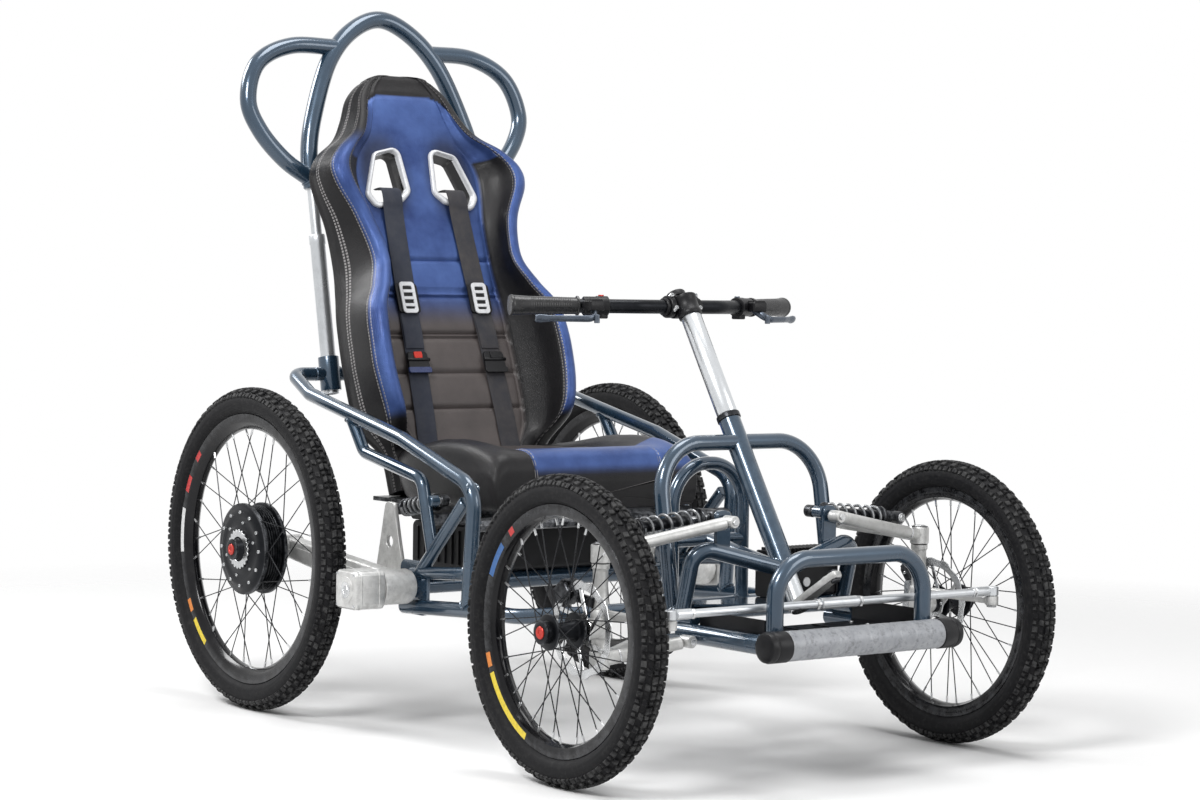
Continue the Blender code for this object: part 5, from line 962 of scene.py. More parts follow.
def brakeDisc(centre, out, radius, offset, tint=0):
    # a thin outer band, a carrier ring and slanting arms between them
    parts = [toothed(centre, out, radius, 12, 0.0016, radius - 0.014, 0.0020, offset, tint)]
    parts.append(toothed(centre, out, 0.0265, 6, 0.0010, 0.012, 0.0022, offset, tint))
    for i in range(6):
        start, end = math.radians(60 * i), math.radians(60 * i + 34)
        a = centre + out * offset + 0.0240 * (math.cos(start) * ahead + math.sin(start) * upward)
        b = centre + out * offset + (radius - 0.012) * (math.cos(end) * ahead + math.sin(end) * upward)
        section = np.array([(-0.0010, -0.0035), (0.0010, -0.0035), (0.0010, 0.0035), (-0.0010, 0.0035)])
        path = a + (b - a) * np.linspace(0, 1, 4)[:, None]
        heading = unit(b - a)
        side = unit(np.cross(heading, out))
        ring = section[None, :, :1] * out + section[None, :, 1:] * side
        points = np.concatenate([path[:1, None] + 0 * ring, path[:, None] + ring, path[-1:, None] + 0 * ring])
        parts.append(gridPart(points, False, True, tint))
    return parts


def bolts(centre, out, ringRadius, count, headRadius, headHeight, offset, tint=0, phase=0.0):
    parts = []
    for i in range(count):
        turn = 2 * math.pi * i / count + phase
        spot = centre + out * offset + ringRadius * (math.cos(turn) * ahead + math.sin(turn) * upward)
        profile = [
            (0, headHeight * 0.45), (headRadius * 0.5, headHeight * 0.45), (headRadius * 0.55, headHeight),
            (headRadius * 0.85, headHeight), (headRadius, headHeight * 0.7), (headRadius, -0.001),
            (0, -0.001),
        ]
        parts.append(lathe(profile, spot, out, 12, tint))
    return parts


def rearHub(side, centre, out, body):
    # the motor drum: ribbed rim between two spoke flanges, a stepped cover with bolts, and the axle's nut
    ribs = np.linspace(-0.0165, 0.0165, 45)
    ribbed = [(0.0800 + 0.0022 * math.tanh(3 * math.sin(a * 2400)), a) for a in ribs]
    profile = [
        (0.0092, -0.0300), (0.074, -0.0300), (0.079, -0.0285), (0.081, -0.0250), (0.0875, -0.0245),
        (0.0878, -0.0185), (0.0810, -0.0180),
    ] + ribbed
    profile += [
        (0.0810, 0.0180), (0.0878, 0.0185), (0.0875, 0.0245), (0.081, 0.0250), (0.078, 0.0275),
        (0.066, 0.0300), (0.060, 0.0290), (0.046, 0.0290), (0.043, 0.0300), (0.024, 0.0302),
        (0.021, 0.0330), (0.0190, 0.0430), (0.0180, 0.0440), (0.0092, 0.0440), (0.0092, -0.0300),
    ]
    parts = [lathe(profile, centre, out, 96, 0)]
    parts += bolts(centre, out, 0.0705, 12, 0.0036, 0.0030, 0.0285, 1)
    parts += bolts(centre, out, 0.0520, 6, 0.0030, 0.0026, 0.0290, 1, 0.3)
    parts.append(toothed(centre, out, 0.0365, 22, 0.0016, 0.0235, 0.0040, 0.0325, 1))
    makePiece("rearHub_" + side, parts, body, ["blackMetal", "brightSteel"], ())


def frontHub(side, centre, out, body):
    profile = [
        (0.0092, -0.0420), (0.0165, -0.0420), (0.0180, -0.0405), (0.0180, -0.0250), (0.0285, -0.0245),
        (0.0300, -0.0235), (0.0300, -0.0205), (0.0285, -0.0195), (0.0190, -0.0190), (0.0150, -0.0120),
        (0.0145, 0.0180), (0.0185, 0.0270), (0.0285, 0.0290), (0.0300, 0.0300), (0.0300, 0.0330),
        (0.0285, 0.0340), (0.0190, 0.0345), (0.0180, 0.0430), (0.0165, 0.0440), (0.0092, 0.0440),
        (0.0092, -0.0420),
    ]
    parts = [lathe(profile, centre, out, 56, 0)]
    makePiece("frontHub_" + side, parts, body, ["blackMetal"], ())
    disc = brakeDisc(centre, out, 0.080, -0.0352)
    disc += bolts(centre, -out, 0.0215, 6, 0.0030, 0.0022, 0.0363, 0)
    makePiece("frontDisc_" + side, disc, body, ["brightSteel"], ())


for side in sides:
    wheel("rear", side)
    wheel("front", side)
print("wheels made")

# seat back: a padded shell, its openings and their bezels

backLook = {
    "baseX": -0.407, "baseZ": 0.510, "recline": 20.2, "length": 0.780, "half": 0.240, "thick": 0.042,
    "bolster": 0.095, "panel": 0.62, "rimInset": 0.014, "rowStep": 0.0046, "spanSteps": 8,
}
backAngle = math.radians(backLook["recline"])
backAlong = np.array([-math.sin(backAngle), 0.0, math.cos(backAngle)])
backOut = np.array([math.cos(backAngle), 0.0, math.sin(backAngle)])


def onBack(s, y, out):
    s, y, out = np.broadcast_arrays(*(np.asarray(v, float) for v in (s, y, out)))
    foot = at(backLook["baseX"], 0, backLook["baseZ"])
    return foot + s[..., None] * backAlong + y[..., None] * across + out[..., None] * backOut


def smoothStep(low, high, value):
    t = np.clip((value - low) / (high - low), 0, 1)
    return t * t * (3 - 2 * t)


def smoothAcross(p, steps):
    # the cubic run across every row of points at once; the first point is a middle with a level slope
    ends = np.concatenate([p[:, 1:2] * [-1, 1], p, p[:, -1:] * 2 - p[:, -2:-1]], 1)
    curve = cubic(ends[:, :-3, None], ends[:, 1:-2, None], ends[:, 2:-1, None], ends[:, 3:, None], steps)
    return np.concatenate([curve.reshape(len(p), -1, 2), p[:, -1:]], 1)


def groove(value, middle, width):
    return np.exp(-((value - middle) / width) ** 2)


def ripple(a, b, seed):
    # a few slow waves of different slant, for the way that upholstery never lies quite flat
    total = np.zeros(np.broadcast(a, b).shape)
    for i in range(7):
        angle, pace, phase = 2.4 * i + seed, 22 + 17 * i, 1.7 * i * i + seed
        total = total + np.sin((a * math.cos(angle) + b * math.sin(angle)) * pace + phase) / (1 + 0.5 * i)
    return total / 4


backStations = np.array([
    (-0.1195, 0.78, 0.86, 0.00), (-0.020, 0.80, 0.86, 0.00), (0.055, 0.97, 0.86, 0.82),
    (0.180, 1.00, 0.90, 1.00),
    (0.320, 0.98, 0.89, 1.00), (0.400, 0.94, 0.80, 0.84), (0.480, 0.91, 0.74, 0.66),
    (0.590, 0.92, 0.80, 0.56),
    (0.680, 0.98, 0.88, 0.60), (0.735, 0.98, 0.88, 0.56), (0.785, 0.88, 0.84, 0.46),
    (0.830, 0.70, 0.82, 0.28),
    (0.885, 0.59, 0.80, 0.14), (0.945, 0.50, 0.80, 0.05), (0.985, 0.38, 0.80, 0.00),
    (1.000, 0.28, 0.80, 0.00),
])
# metres up the back: the sewn channels of the panel, and the swells between them
panelSeams = (0.386, 0.319, 0.306, 0.229, 0.219, 0.147, 0.073)
panelSwells = ((0.02, 0.073), (0.073, 0.147), (0.147, 0.219), (0.229, 0.306), (0.319, 0.386), (0.386, 0.47))


def backSection(look):
    # rows of section points (distance across, distance in front of the panel), from the middle of the front
    # round the bolster to the middle of the back, with each row's distance up and each column's number
    fine = smoothPath(backStations, 12)
    s = np.arange(fine[0, 0], 1.0001, look["rowStep"] / look["length"])
    width, crest, depth = (np.interp(s, fine[:, 0], fine[:, k]) for k in (1, 2, 3))
    w = width * look["half"]
    depth = np.clip(depth, 0, None) * look["bolster"]
    thick = look["thick"]
    inset = np.minimum(look["rimInset"], 0.06 * w)
    zero = 0 * s
    half = [
        (zero, zero), (0.30 * w, zero), (0.55 * w, zero), (look["panel"] * w, zero + 0.001),
        ((look["panel"] + crest) / 2 * w, 0.46 * depth), (crest * w - inset, 0.95 * depth + 0.001),
        (crest * w + inset * 0.5, depth + 0.001),
        (np.minimum(crest + 0.095, 0.995) * w, 0.70 * depth - 0.003),
        (w, zero - 0.5 * thick), (0.90 * w, zero - thick), (zero, zero - thick),
    ]
    control = np.stack([np.stack(pair, -1) for pair in half], 1)
    half = smoothAcross(control, look["spanSteps"])
    number = np.arange(half.shape[1]) / look["spanSteps"]
    return s * look["length"], half, number


def seatBack(look):
    s, half, number = backSection(look)
    up = s[:, None]
    column = number[None, :]
    out = half[..., 1].copy()
    panel = 1 - smoothStep(2.85, 3.05, column)
    inBack = smoothStep(0.02, 0.05, up) * (1 - smoothStep(0.47, 0.50, up))
    # panel: level 3 mm under the strap, crowned between its sewn channels
    dip = 0 * up
    for seam in panelSeams:
        dip = dip + groove(up, seam, 0.0036)
    crown = 0 * up
    for low, high in panelSwells:
        t = np.clip((up - low) / (high - low), 0, 1)
        crown = crown + np.sin(math.pi * t) ** 0.6 * (up > low) * (up <= high)
    front = 1 - smoothStep(7.6, 8.2, column)
    out = out + panel * (inBack * (0.0026 * crown - 0.0048 * np.clip(dip, 0, 1)) - 0.0032)
    face = 1 - smoothStep(0.60, 0.66, up)
    out = out - 0.0035 * groove(column, 3.0, 0.10) * front * face
    beside = 1 - smoothStep(4.9, 5.05, column)
    out = out - 0.0030 * groove(up, 0.598 + 0.006 * (column - 4), 0.004) * smoothStep(
        3.0, 3.4, column,
    ) * beside
    out = out - 0.0022 * (groove(column, 5.0, 0.05) + groove(column, 6.8, 0.05)) * front
    # the wing and the bolster are sewn from two covers: a cross seam where the wing begins
    wing = smoothStep(3.1, 3.6, column) * beside
    out = out - 0.002 * wing * groove(up, 0.372 + 0.02 * (column - 4), 0.004)
    out = out + 0.0016 * ripple(up, half[..., 0], 0.4) * smoothStep(3.2, 3.8, column) * front
    # the head's face: a broad pillow with a sewn edge
    pillow = smoothStep(0.625, 0.665, up) * (1 - smoothStep(0.715, 0.77, up))
    out = out + 0.006 * pillow * (1 - smoothStep(2.4, 4.6, column))
    headEdge = groove(up + 0.034 * (column / 5) ** 3, 0.742, 0.0035)
    out = out - 0.0034 * headEdge * (1 - smoothStep(5.2, 5.5, column))
    ring = np.concatenate([half[..., 0], -half[:, -2:0:-1, 0]], 1)
    outs = np.concatenate([out, out[:, -2:0:-1]], 1)
    rows = np.broadcast_to(s[:, None], ring.shape)
    # the top rounds off: the last ring is drawn in towards its middle while it rises a little
    middleOut = -look["thick"] / 2
    for turn in np.radians([14, 28, 42, 56, 70, 82, 90]):
        share, rise = math.cos(turn), 0.016 * math.sin(turn)
        rows = np.vstack([rows, np.full((1, ring.shape[1]), s[-1] + rise)])
        ring = np.vstack([ring, ring[len(s) - 1:len(s)] * share])
        outs = np.vstack([outs, middleOut + (outs[len(s) - 1:len(s)] - middleOut) * share])
    rows = np.vstack([rows[:1], rows])
    ring = np.vstack([ring[:1] * 0, ring])
    outs = np.vstack([outs[:1] * 0 + middleOut, outs])
    points = onBack(rows, ring, outs)
    # both halves carry the same column numbers, so that seams and colours mirror
    turnNumber = np.concatenate([number, number[-2:0:-1]])
    flatS, flatColumn = rows.reshape(-1), np.broadcast_to(turnNumber, rows.shape).reshape(-1)
    mesh = gridMesh("seatBack", points)
    blue, taupe = backZones(flatS, flatColumn)
    # painted shade: on the front, the blue share is cut down round the two openings, standing for the shade
    # in the dip about them
    far = np.minimum(
        *(np.hypot((ring.reshape(-1) - k * 0.080) / 0.052, (flatS - 0.563) / 0.082) for k in (-1, 1))
    )
    blue = blue * (1 - 0.72 * np.exp(-(np.clip(far - 0.75, 0, None) / 0.38) ** 2) * (flatColumn < 4.6))
    addMaps(mesh, {"seamMap": (flatColumn, flatS), "zoneMap": (blue, taupe)})
    weld(mesh)
    item = linked("seatBack", mesh)
    mesh.materials.append(seatCover("seatCover", backStitches))
    mesh.materials.append(looks["blackPlastic"])
    for k in sides.values():
        cutter = openingPrism(k)
        cutter.data.materials.append(looks["blackPlastic"])
        cut = item.modifiers.new("opening", "BOOLEAN")
        cut.operation, cut.solver, cut.object = "DIFFERENCE", "EXACT", cutter
        cut.material_mode = "TRANSFER"
        bpy.context.view_layer.update()
        made = bpy.data.meshes.new_from_object(item.evaluated_get(bpy.context.evaluated_depsgraph_get()))
        item.modifiers.clear()
        item.data = made
        bpy.data.objects.remove(cutter)
    item.data.name = "seatBack"
    item.data.shade_smooth()
    item.data.set_sharp_from_angle(angle=math.radians(50))
    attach(item, "chassis")
    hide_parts("seat_back")


def backZones(s, column):
    # how blue and how taupe the cover is: a blue rim and head, a middle panel that fades from blue to taupe
    rim = smoothStep(5.0, 5.04, column) * (1 - smoothStep(6.76, 6.80, column))
    rim = rim * smoothStep(0.03, 0.05, s) * (1 - smoothStep(0.60, 0.66, s))
    top = 1 - smoothStep(0.7410, 0.7425, s + 0.034 * (column / 5) ** 3)
    head = (1 - smoothStep(4.96, 5.0, column)) * smoothStep(0.597, 0.599, s) * top
    middle = (1 - smoothStep(2.98, 3.02, column)) * smoothStep(0.24, 0.33, s) * top
    blue = np.clip(rim + head + middle, 0, 1)
    taupe = (1 - smoothStep(2.98, 3.02, column)) * (1 - smoothStep(0.24, 0.34, s))
    return blue, taupe


# shares of the back's length and half width
openingCorners = [(0.794, 0.19), (0.777, 0.39), (0.677, 0.51), (0.647, 0.46), (0.666, 0.25), (0.684, 0.16)]
openingPlaces = [(s * backLook["length"], y * backLook["half"]) for s, y in openingCorners]
bezelCorners = [
    (0.630, 0.036), (0.614, 0.100), (0.520, 0.136), (0.492, 0.116), (0.507, 0.050), (0.528, 0.026),
]


def openingOutline(corners, radius, grow=0.0):
    line = roundedOutline([(y, s) for s, y in corners], radius, 5)
    return line + unit(line - line.mean(0)) * grow


def openingPrism(k):
    holes = openingOutline(openingPlaces, 0.012, 0.003)
    rows = np.stack([onBack(holes[:, 1], holes[:, 0] * k, out) for out in (-0.09, 0.09)])
    mesh = gridMesh("cutter", capped(rows))
    weld(mesh)
    return linked("cutter", mesh)


def bezels():
    # a rounded frame round each opening, then a black sleeve through the shell:
    # each row is the outline moved from the bezel's outer edge towards the hole, at its own height
    for side, k in sides.items():
        hole = openingOutline(openingPlaces, 0.012, 0.0015)
        outer = openingOutline(bezelCorners, 0.019)
        back = hole + unit(hole - hole.mean(0)) * 0.0035
        rows, sleeve = [], []
        for share, out in (
            (0.0, -0.006), (0.0, 0.0000), (0.06, 0.0020), (0.28, 0.0040), (0.62, 0.0044), (0.90, 0.0022),
            (1.0, -0.0015), (1.0, -0.008),
        ):
            line = outer + (hole - outer) * share
            rows.append(onBack(line[:, 1], line[:, 0] * k, out))
        rows.append(onBack(back[:, 1], back[:, 0] * k, -0.006))
        flared = hole + (hole - hole.mean(0)) * 0.05
        for line, out in (
            (hole, -0.008), (hole, -0.030), (hole, -0.0425), (flared, -0.0440), (back, -0.0425),
            (back, -0.006),
        ):
            sleeve.append(onBack(line[:, 1], line[:, 0] * k, out))
        parts = [gridPart(np.stack(rows), True, True, 0), gridPart(np.stack(sleeve), True, True, 1)]
        makePiece("bezel_" + side, parts, "chassis", ["paleBezel", "blackPlastic"], (), 50)


# each row of stitches: the number of its column and how far its thread reaches across
backStitches = ((4.90, 0.034), (5.10, 0.034), (6.70, 0.030), (6.90, 0.030), (7.6, 0.034), (7.7, 0.034))
cushionStitches = ((2.90, 0.030), (3.10, 0.030))
stitchLength = 0.0065


def seatCover(name, rows):
    # leather: fine cells and pores in the bump, colours from the zone map, which also carries painted shade
    # round the back's openings and a painted highlight on the cushion's front roll, pale thread in dashes at
    # the seams
    graph = Graph(bpy.data.materials.new(name))
    place = graph.place()
    broad = graph.noise(place, 9, 4, 0.6)
    share = graph.ranged(broad, 0.3, 0.7)
    dark = graph.mixed(share, (0.006, 0.006, 0.007), (0.016, 0.015, 0.016))
    blueTone = graph.mixed(share, (0.022, 0.044, 0.150), (0.066, 0.118, 0.310))
    taupeTone = graph.mixed(share, (0.066, 0.057, 0.056), (0.098, 0.085, 0.082))
    seam, zone = (
        graph.make("SeparateXYZ", {0: graph.make("UVMap", uv_map=one).outputs["UV"]}).outputs
        for one in ("seamMap", "zoneMap")
    )
    colour = graph.mixed(zone["Y"], dark, taupeTone)
    colour = graph.mixed(zone["X"], colour, blueTone)
    thread = 0.0
    for number, reach in rows:
        line = graph.ranged(graph.offset(seam["X"], number), reach * 0.6, reach, 1.0, 0.0)
        thread = graph.combined("MAXIMUM", thread, line)
    beat = graph.combined("FRACT", graph.combined("MULTIPLY", seam["Y"], 1 / stitchLength))
    dash = graph.ranged(graph.offset(beat, 0.5), 0.30, 0.36, 1.0, 0.0)
    stitches = graph.combined("MULTIPLY", thread, dash)
    colour = graph.mixed(stitches, colour, (0.26, 0.25, 0.25))
    worn = graph.worn(0.52, 0.60, graph.noise(place, 70, 5, 0.7), 0.42, 0.65, 0.0, 0.22)
    cells = graph.make("TexVoronoi", {"Scale": 430, "Vector": place}, feature="DISTANCE_TO_EDGE")
    pores = graph.combined("MULTIPLY", graph.noise(place, 160, 6, 0.7), 0.8)
    grain = graph.combined("ADD", graph.ranged(cells.outputs["Distance"], 0.0, 0.25), pores)
    graph.surface({
        "Base Color": graph.mixed(worn, colour, (0.20, 0.20, 0.22)),
        "Roughness": graph.ranged(broad, 0.3, 0.7, 0.30, 0.42),
        "Metallic": graph.combined("MULTIPLY", zone["X"], 0.45),
        "Specular IOR Level": 0.20,
        "Coat Weight": 0.06,
        "Coat Roughness": 0.20,
    })
    graph.bump(graph.combined("ADD", grain, graph.combined("MULTIPLY", stitches, 4.0)), 0.0004, 0.45)
    return graph.owner


seatBack(backLook)
bezels()
print("seat back made")


# seat cushion

cushionLook = {
    "rear": -0.352, "front": 0.022, "half": 0.236, "bottom": 0.408, "height": 0.112, "bolster": 0.026,
    "panel": 0.62, "spanSteps": 8,
}
cushionStations = np.array([
    (0.000, 0.80, 0.86, 0.00), (0.160, 0.92, 0.86, 0.40), (0.450, 0.97, 0.90, 1.00),
    (0.720, 1.00, 0.95, 0.80),
    (0.880, 1.00, 1.00, 0.20), (0.955, 1.00, 0.94, 0.00), (0.990, 0.99, 0.76, 0.00),
    (1.000, 0.97, 0.48, 0.00),
])


def seatCushion(look):
    # section (across, height) at each station from rear to front, with the front roll and the side bolsters;
    # the cover sinks at its seams and swells between them
    fine = smoothPath(cushionStations, 10)
    share = np.concatenate(
        [np.linspace(0, 0.94, 90), 0.94 + 0.06 * np.sin(np.linspace(0, math.pi / 2, 26)[1:])]
    )
    width, height, bolster = (np.interp(share, fine[:, 0], fine[:, k]) for k in (1, 2, 3))
    w = width * look["half"]
    h = height * look["height"] - 0.003
    rise = np.clip(bolster, 0, 1) * look["bolster"]
    zero = 0 * share
    half = [
        (zero, h), (0.30 * w, h), (0.52 * w, h), (look["panel"] * w, h + 0.001), (0.74 * w, h + rise * 0.62),
        (0.86 * w, h + rise), (0.965 * w, h + rise - 0.014), (1.0 * w, h * 0.60), (0.995 * w, h * 0.28),
        (0.955 * w, zero + 0.002), (0.80 * w, zero + 0.0004), (zero, zero + 0.0004),
    ]
    control = np.stack([np.stack(pair, -1) for pair in half], 1)
    half = smoothAcross(control, look["spanSteps"])
    number = np.arange(half.shape[1]) / look["spanSteps"]
    column, along = number[None], share[:, None]
    lift = half[..., 1]
    top = 1 - smoothStep(6.2, 7.0, column)
    panel = 1 - smoothStep(2.9, 3.1, column)
    lift = lift - top * 0.0038 * groove(column, 3.0, 0.09)
    for seam in (0.30, 0.52, 0.745):
        lift = lift - panel * 0.0045 * groove(along, seam, 0.0095)
    for low, high in ((0.0, 0.30), (0.30, 0.52), (0.52, 0.745), (0.745, 0.98)):
        t = np.clip((along - low) / (high - low), 0, 1)
        lift = lift + panel * 0.0034 * np.sin(math.pi * t) ** 0.7 * (along > low) * (along <= high)
    lift = lift + top * 0.0012 * ripple(along * 0.37, half[..., 0], 2.2)
    side = smoothStep(6.4, 6.9, column) * (1 - smoothStep(9.2, 9.9, column))
    spread = half[..., 0] * (1 + side * 0.010 * np.sin(math.pi * np.clip(lift / 0.10, 0, 1)))
    ring = np.concatenate([spread, -spread[:, -2:0:-1]], 1)
    lifts = np.concatenate([lift, lift[:, -2:0:-1]], 1)
    length = look["front"] - look["rear"]
    shear = math.tan(backAngle) * (1 - along) ** 4
    x = look["rear"] + along * length - lifts * shear
    x = np.vstack([x[:1], x, x[-1:]])
    ring = np.vstack([ring[:1] * 0, ring, ring[-1:] * 0])
    lifts = np.vstack([lifts[:1] * 0 + 0.04, lifts, lifts[-1:] * 0 + 0.026])
    points = np.stack([x + midX, ring, look["bottom"] + lifts], -1)
    mesh = gridMesh("seatCushion", points)
    columns = np.concatenate([number, number[-2:0:-1]])
    columnFlat = np.broadcast_to(columns, ring.shape).reshape(-1)
    shareFlat = np.broadcast_to(np.concatenate([[0], share, [1]])[:, None], ring.shape).reshape(-1)
    upFlat = lifts.reshape(-1)
    # the front roll's blue is partly the pearl-blue cover and partly a painted highlight: it is kept to the
    # roll's top by height and reaches further across on the left
    reach = np.where(points[..., 1].reshape(-1) > 0, 7.2, 3.0)
    frontPart = smoothStep(0.742, 0.748, shareFlat)
    blue = frontPart * (1 - smoothStep(-0.02, 0.02, columnFlat - reach)) * smoothStep(0.062, 0.084, upFlat)
    taupe = (1 - frontPart) * (1 - smoothStep(2.98, 3.02, columnFlat)) * (columnFlat < 3.05)
    addMaps(mesh, {"seamMap": (columnFlat, shareFlat * length), "zoneMap": (blue, taupe * 0.7)})
    weld(mesh)
    mesh.shade_smooth()
    mesh.set_sharp_from_angle(angle=math.radians(60))
    item = linked("seatCushion", mesh)
    mesh.materials.append(seatCover("cushionCover", cushionStitches))
    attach(item, "chassis")
    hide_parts("seat_cushion")


seatCushion(cushionLook)
print("cushion made")


# harness

strapLook = {"width": 0.046, "thick": 0.0026, "topY": 0.078, "footY": 0.096, "topS": 0.532, "footS": 0.051}
webColours = {
    "right": ((0.030, 0.036, 0.056), (0.060, 0.064, 0.080)),
    "left": ((0.040, 0.042, 0.052), (0.085, 0.078, 0.078)),
}


def webbing(name, base, tone):
    # a plain weave: ribs across the strap broken by fine threads along it, with painted shade darkening its
    # gaps
    graph = Graph(bpy.data.materials.new(name))
    place = graph.place((0, backAngle, 0))
    waves = []
    for direction, scale in (("Z", 130), ("Y", 260)):
        inputs = {"Scale": scale, "Distortion": 0.3, "Detail": 1.0, "Vector": place}
        waves.append(graph.make("TexWave", inputs, bands_direction=direction).outputs["Fac"])
    weave = graph.combined("MULTIPLY", *waves)
    colour = graph.mixed(graph.ranged(graph.noise(place, 30, 5, 0.65), 0.3, 0.7), base, tone)
    # painted shade in the weave's gaps
    paintedGapShade = graph.ranged(weave, 0.1, 0.9, 0.45, 0.0)
    graph.surface({
        "Base Color": graph.mixed(paintedGapShade, colour, tuple(c * 0.35 for c in base)),
        "Roughness": 0.72,
        "Sheen Weight": 0.06,
        "Sheen Roughness": 0.45,
        "Specular IOR Level": 0.2,
    })
    graph.bump(weave, 0.0006, 0.7)
    return graph.owner


def bandSection(width, thick, count):
    # a flat band's section: cosine and sine of each turn, raised to powers that square it off
    turn = np.linspace(0, 2 * math.pi, count, endpoint=False)
    wide = np.sign(np.cos(turn)) * np.abs(np.cos(turn)) ** 0.35 * width
    high = np.sign(np.sin(turn)) * np.abs(np.sin(turn)) ** 0.6 * thick
    return wide, high


def strapY(s):
    look = strapLook
    return look["footY"] + (look["topY"] - look["footY"]) * (s - look["footS"]) / (
        look["topS"] - look["footS"]
    )


def strapPiece(side):
    # a flat band: its middle line climbs the panel, rises over the opening's lower edge and turns into it
    k = sides[side]
    look = strapLook
    # distance up, distance out
    line = np.array([
        (-0.030, -0.0010), (0.010, -0.0008), (0.035, 0.0010), (0.075, 0.0024), (0.16, 0.0024), (0.30, 0.0026),
        (0.42, 0.0026), (0.485, 0.0040), (0.505, 0.0074), (0.522, 0.0078), (0.532, 0.0048), (0.5375, -0.003),
        (0.540, -0.014), (0.541, -0.021),
    ])
    line = evenly(smoothPath(line, 12), 160)
    s, out = line[:, 0], line[:, 1]
    middle = onBack(s, k * strapY(s), out)
    way = unit(np.gradient(line, axis=0))
    normal = unit(-way[:, 1:2] * backAlong + way[:, :1] * backOut)
    wide, high = bandSection(look["width"] / 2, look["thick"] / 2, 28)
    ridge = 1 + 0.25 * (np.abs(np.abs(wide) - look["width"] * 0.40) < 0.002)
    points = middle[:, None] + wide[None, :, None] * across + (high * ridge)[None, :, None] * normal[:, None]
    return gridPart(capped(points), False, True)


def adjuster(k, s, parts):
    # a pale slotted ladder plate: outer frame, rungs between its slots, and a small lip at its foot
    y = k * strapY(s)
    length, width = 0.066, 0.036
    outer = boxOutline(width / 2, length / 2, 0.008, 5)
    inner = boxOutline(width / 2 - 0.0075, length / 2 - 0.009, 0.003, 5)
    centre = onBack(s, y, 0.0098)
    parts.append(ringPlate(outer, inner, centre, across, backAlong, 0.0034, 0.0008, 1))
    parts.append(plate(inner * 1.02, onBack(s, y, 0.0088), across, backAlong, 0.0008, 0.0002, 2))
    for share in (-0.24, -0.02, 0.20):
        bar = boxOutline(width / 2 - 0.005, 0.0032, 0.0015, 3)
        parts.append(plate(bar, onBack(s + share * length, y, 0.0102), across, backAlong, 0.0036, 0.0008, 1))
    base = boxOutline(0.026, 0.031, 0.007, 5)
    parts.append(plate(base, onBack(s, y, 0.0058), across, backAlong, 0.0042, 0.0012, 2))


def buckle(k, s, parts):
    # a tongue in a housing: a domed body, the bar the strap turns round, and a push tab
    y = k * strapY(s)
    body = roundedOutline([(-0.0265, -0.021), (0.0265, -0.021), (0.0235, 0.021), (-0.0235, 0.021)], 0.006, 5)
    parts.append(plate(body, onBack(s, y, 0.0076), across, backAlong, 0.0072, 0.0022, 2))
    lip = boxOutline(0.0275, 0.006, 0.004, 5)
    parts.append(
        plate(lip, onBack(s - 0.0175, y, 0.0108), across, backAlong, 0.0046, 0.0016, 3 if k < 0 else 2)
    )
    parts.append(rod(*onBack(s + 0.004, [y - 0.026, y + 0.026], 0.0112), 0.0034, 16, 2))
    tab = boxOutline(0.010, 0.007, 0.003, 5)
    parts.append(
        plate(tab, onBack(s + 0.0135, y, 0.0118), across, backAlong, 0.0024, 0.0009, 4 if k < 0 else 2)
    )


def harness(side):
    k = sides[side]
    parts = [strapPiece(side)]
    adjuster(k, 0.300, parts)
    buckle(k, 0.1654, parts)
    # the doubled end of the webbing under the adjuster
    s = np.linspace(0.195, 0.272, 24)
    flat = onBack(s, k * strapY(s), 0.0052 + 0.0012 * np.sin((s - 0.195) * 60))
    wide, high = bandSection(0.0215, 0.0011, 24)
    points = flat[:, None] + wide[None, :, None] * across + high[None, :, None] * backOut
    parts.append(gridPart(capped(points), False, True))
    strap = webbing("webbing_" + side, *webColours[side])
    materials = [strap, "paleBezel", "blackPlastic", "deepBlue", "redAnodised"]
    makePiece("harness_" + side, parts, "chassis", materials, ["harness_strap_" + side], 45)


for side in sides:
    harness(side)
print("harness made")

# suspension, steering and boxes

def taperBar(start, end, right, firstSize, lastSize, corner, bevel=0.0015, tint=0):
    # a bar with rounded corners whose section changes evenly from one end to the other
    start, end, right = np.asarray(start, float), np.asarray(end, float), unit(right)
    heading = unit(end - start)
    high = unit(np.cross(heading, right))
    right = np.cross(high, heading)
    length = np.linalg.norm(end - start)
    rows = []
    for far, shrink in (
        (0, bevel), (bevel, 0), (length / 3, 0), (length * 2 / 3, 0), (length - bevel, 0), (length, bevel),
    ):
        t = far / length
        a, b = ((firstSize[i] * (1 - t) + lastSize[i] * t) / 2 for i in (0, 1))
        outline = boxOutline(a, b, corner, 5) * (1 - shrink / min(a, b))
        rows.append(start + heading * far + outline[:, :1] * right + outline[:, 1:] * high)
    return gridPart(capped(rows), False, True, tint)


def roundBox(first, last, corner, axis=1, bevel=0.0025, tint=0):
    # a block between two opposite corners, its four edges along the axis rounded
    low, high = np.minimum(first, last), np.maximum(first, last)
    size = high - low
    right, up = [k for k in range(3) if k != axis]
    ways = (ahead, across, upward)
    outline = boxOutline(size[right] / 2, size[up] / 2, corner)
    return plate(outline, (low + high) / 2, ways[right], ways[up], size[axis], bevel, tint)


def collar(start, end, radius, inner, tint=0, steps=36):
    axis = np.asarray(end, float) - start
    length = np.linalg.norm(axis)
    cut = min(0.0012, length * 0.2)
    profile = [
        (inner, 0), (radius - cut, 0), (radius, cut), (radius, length - cut), (radius - cut, length),
        (inner, length), (inner, 0),
    ]
    return lathe(profile, start, axis, steps, tint)


def hexNut(start, axis, radius, height, tint=0):
    axis = unit(axis)
    side = squareTo(axis)
    return plate(
        circle(radius, 6), start + axis * height / 2, side, np.cross(axis, side), height, 0.0006, tint,
    )


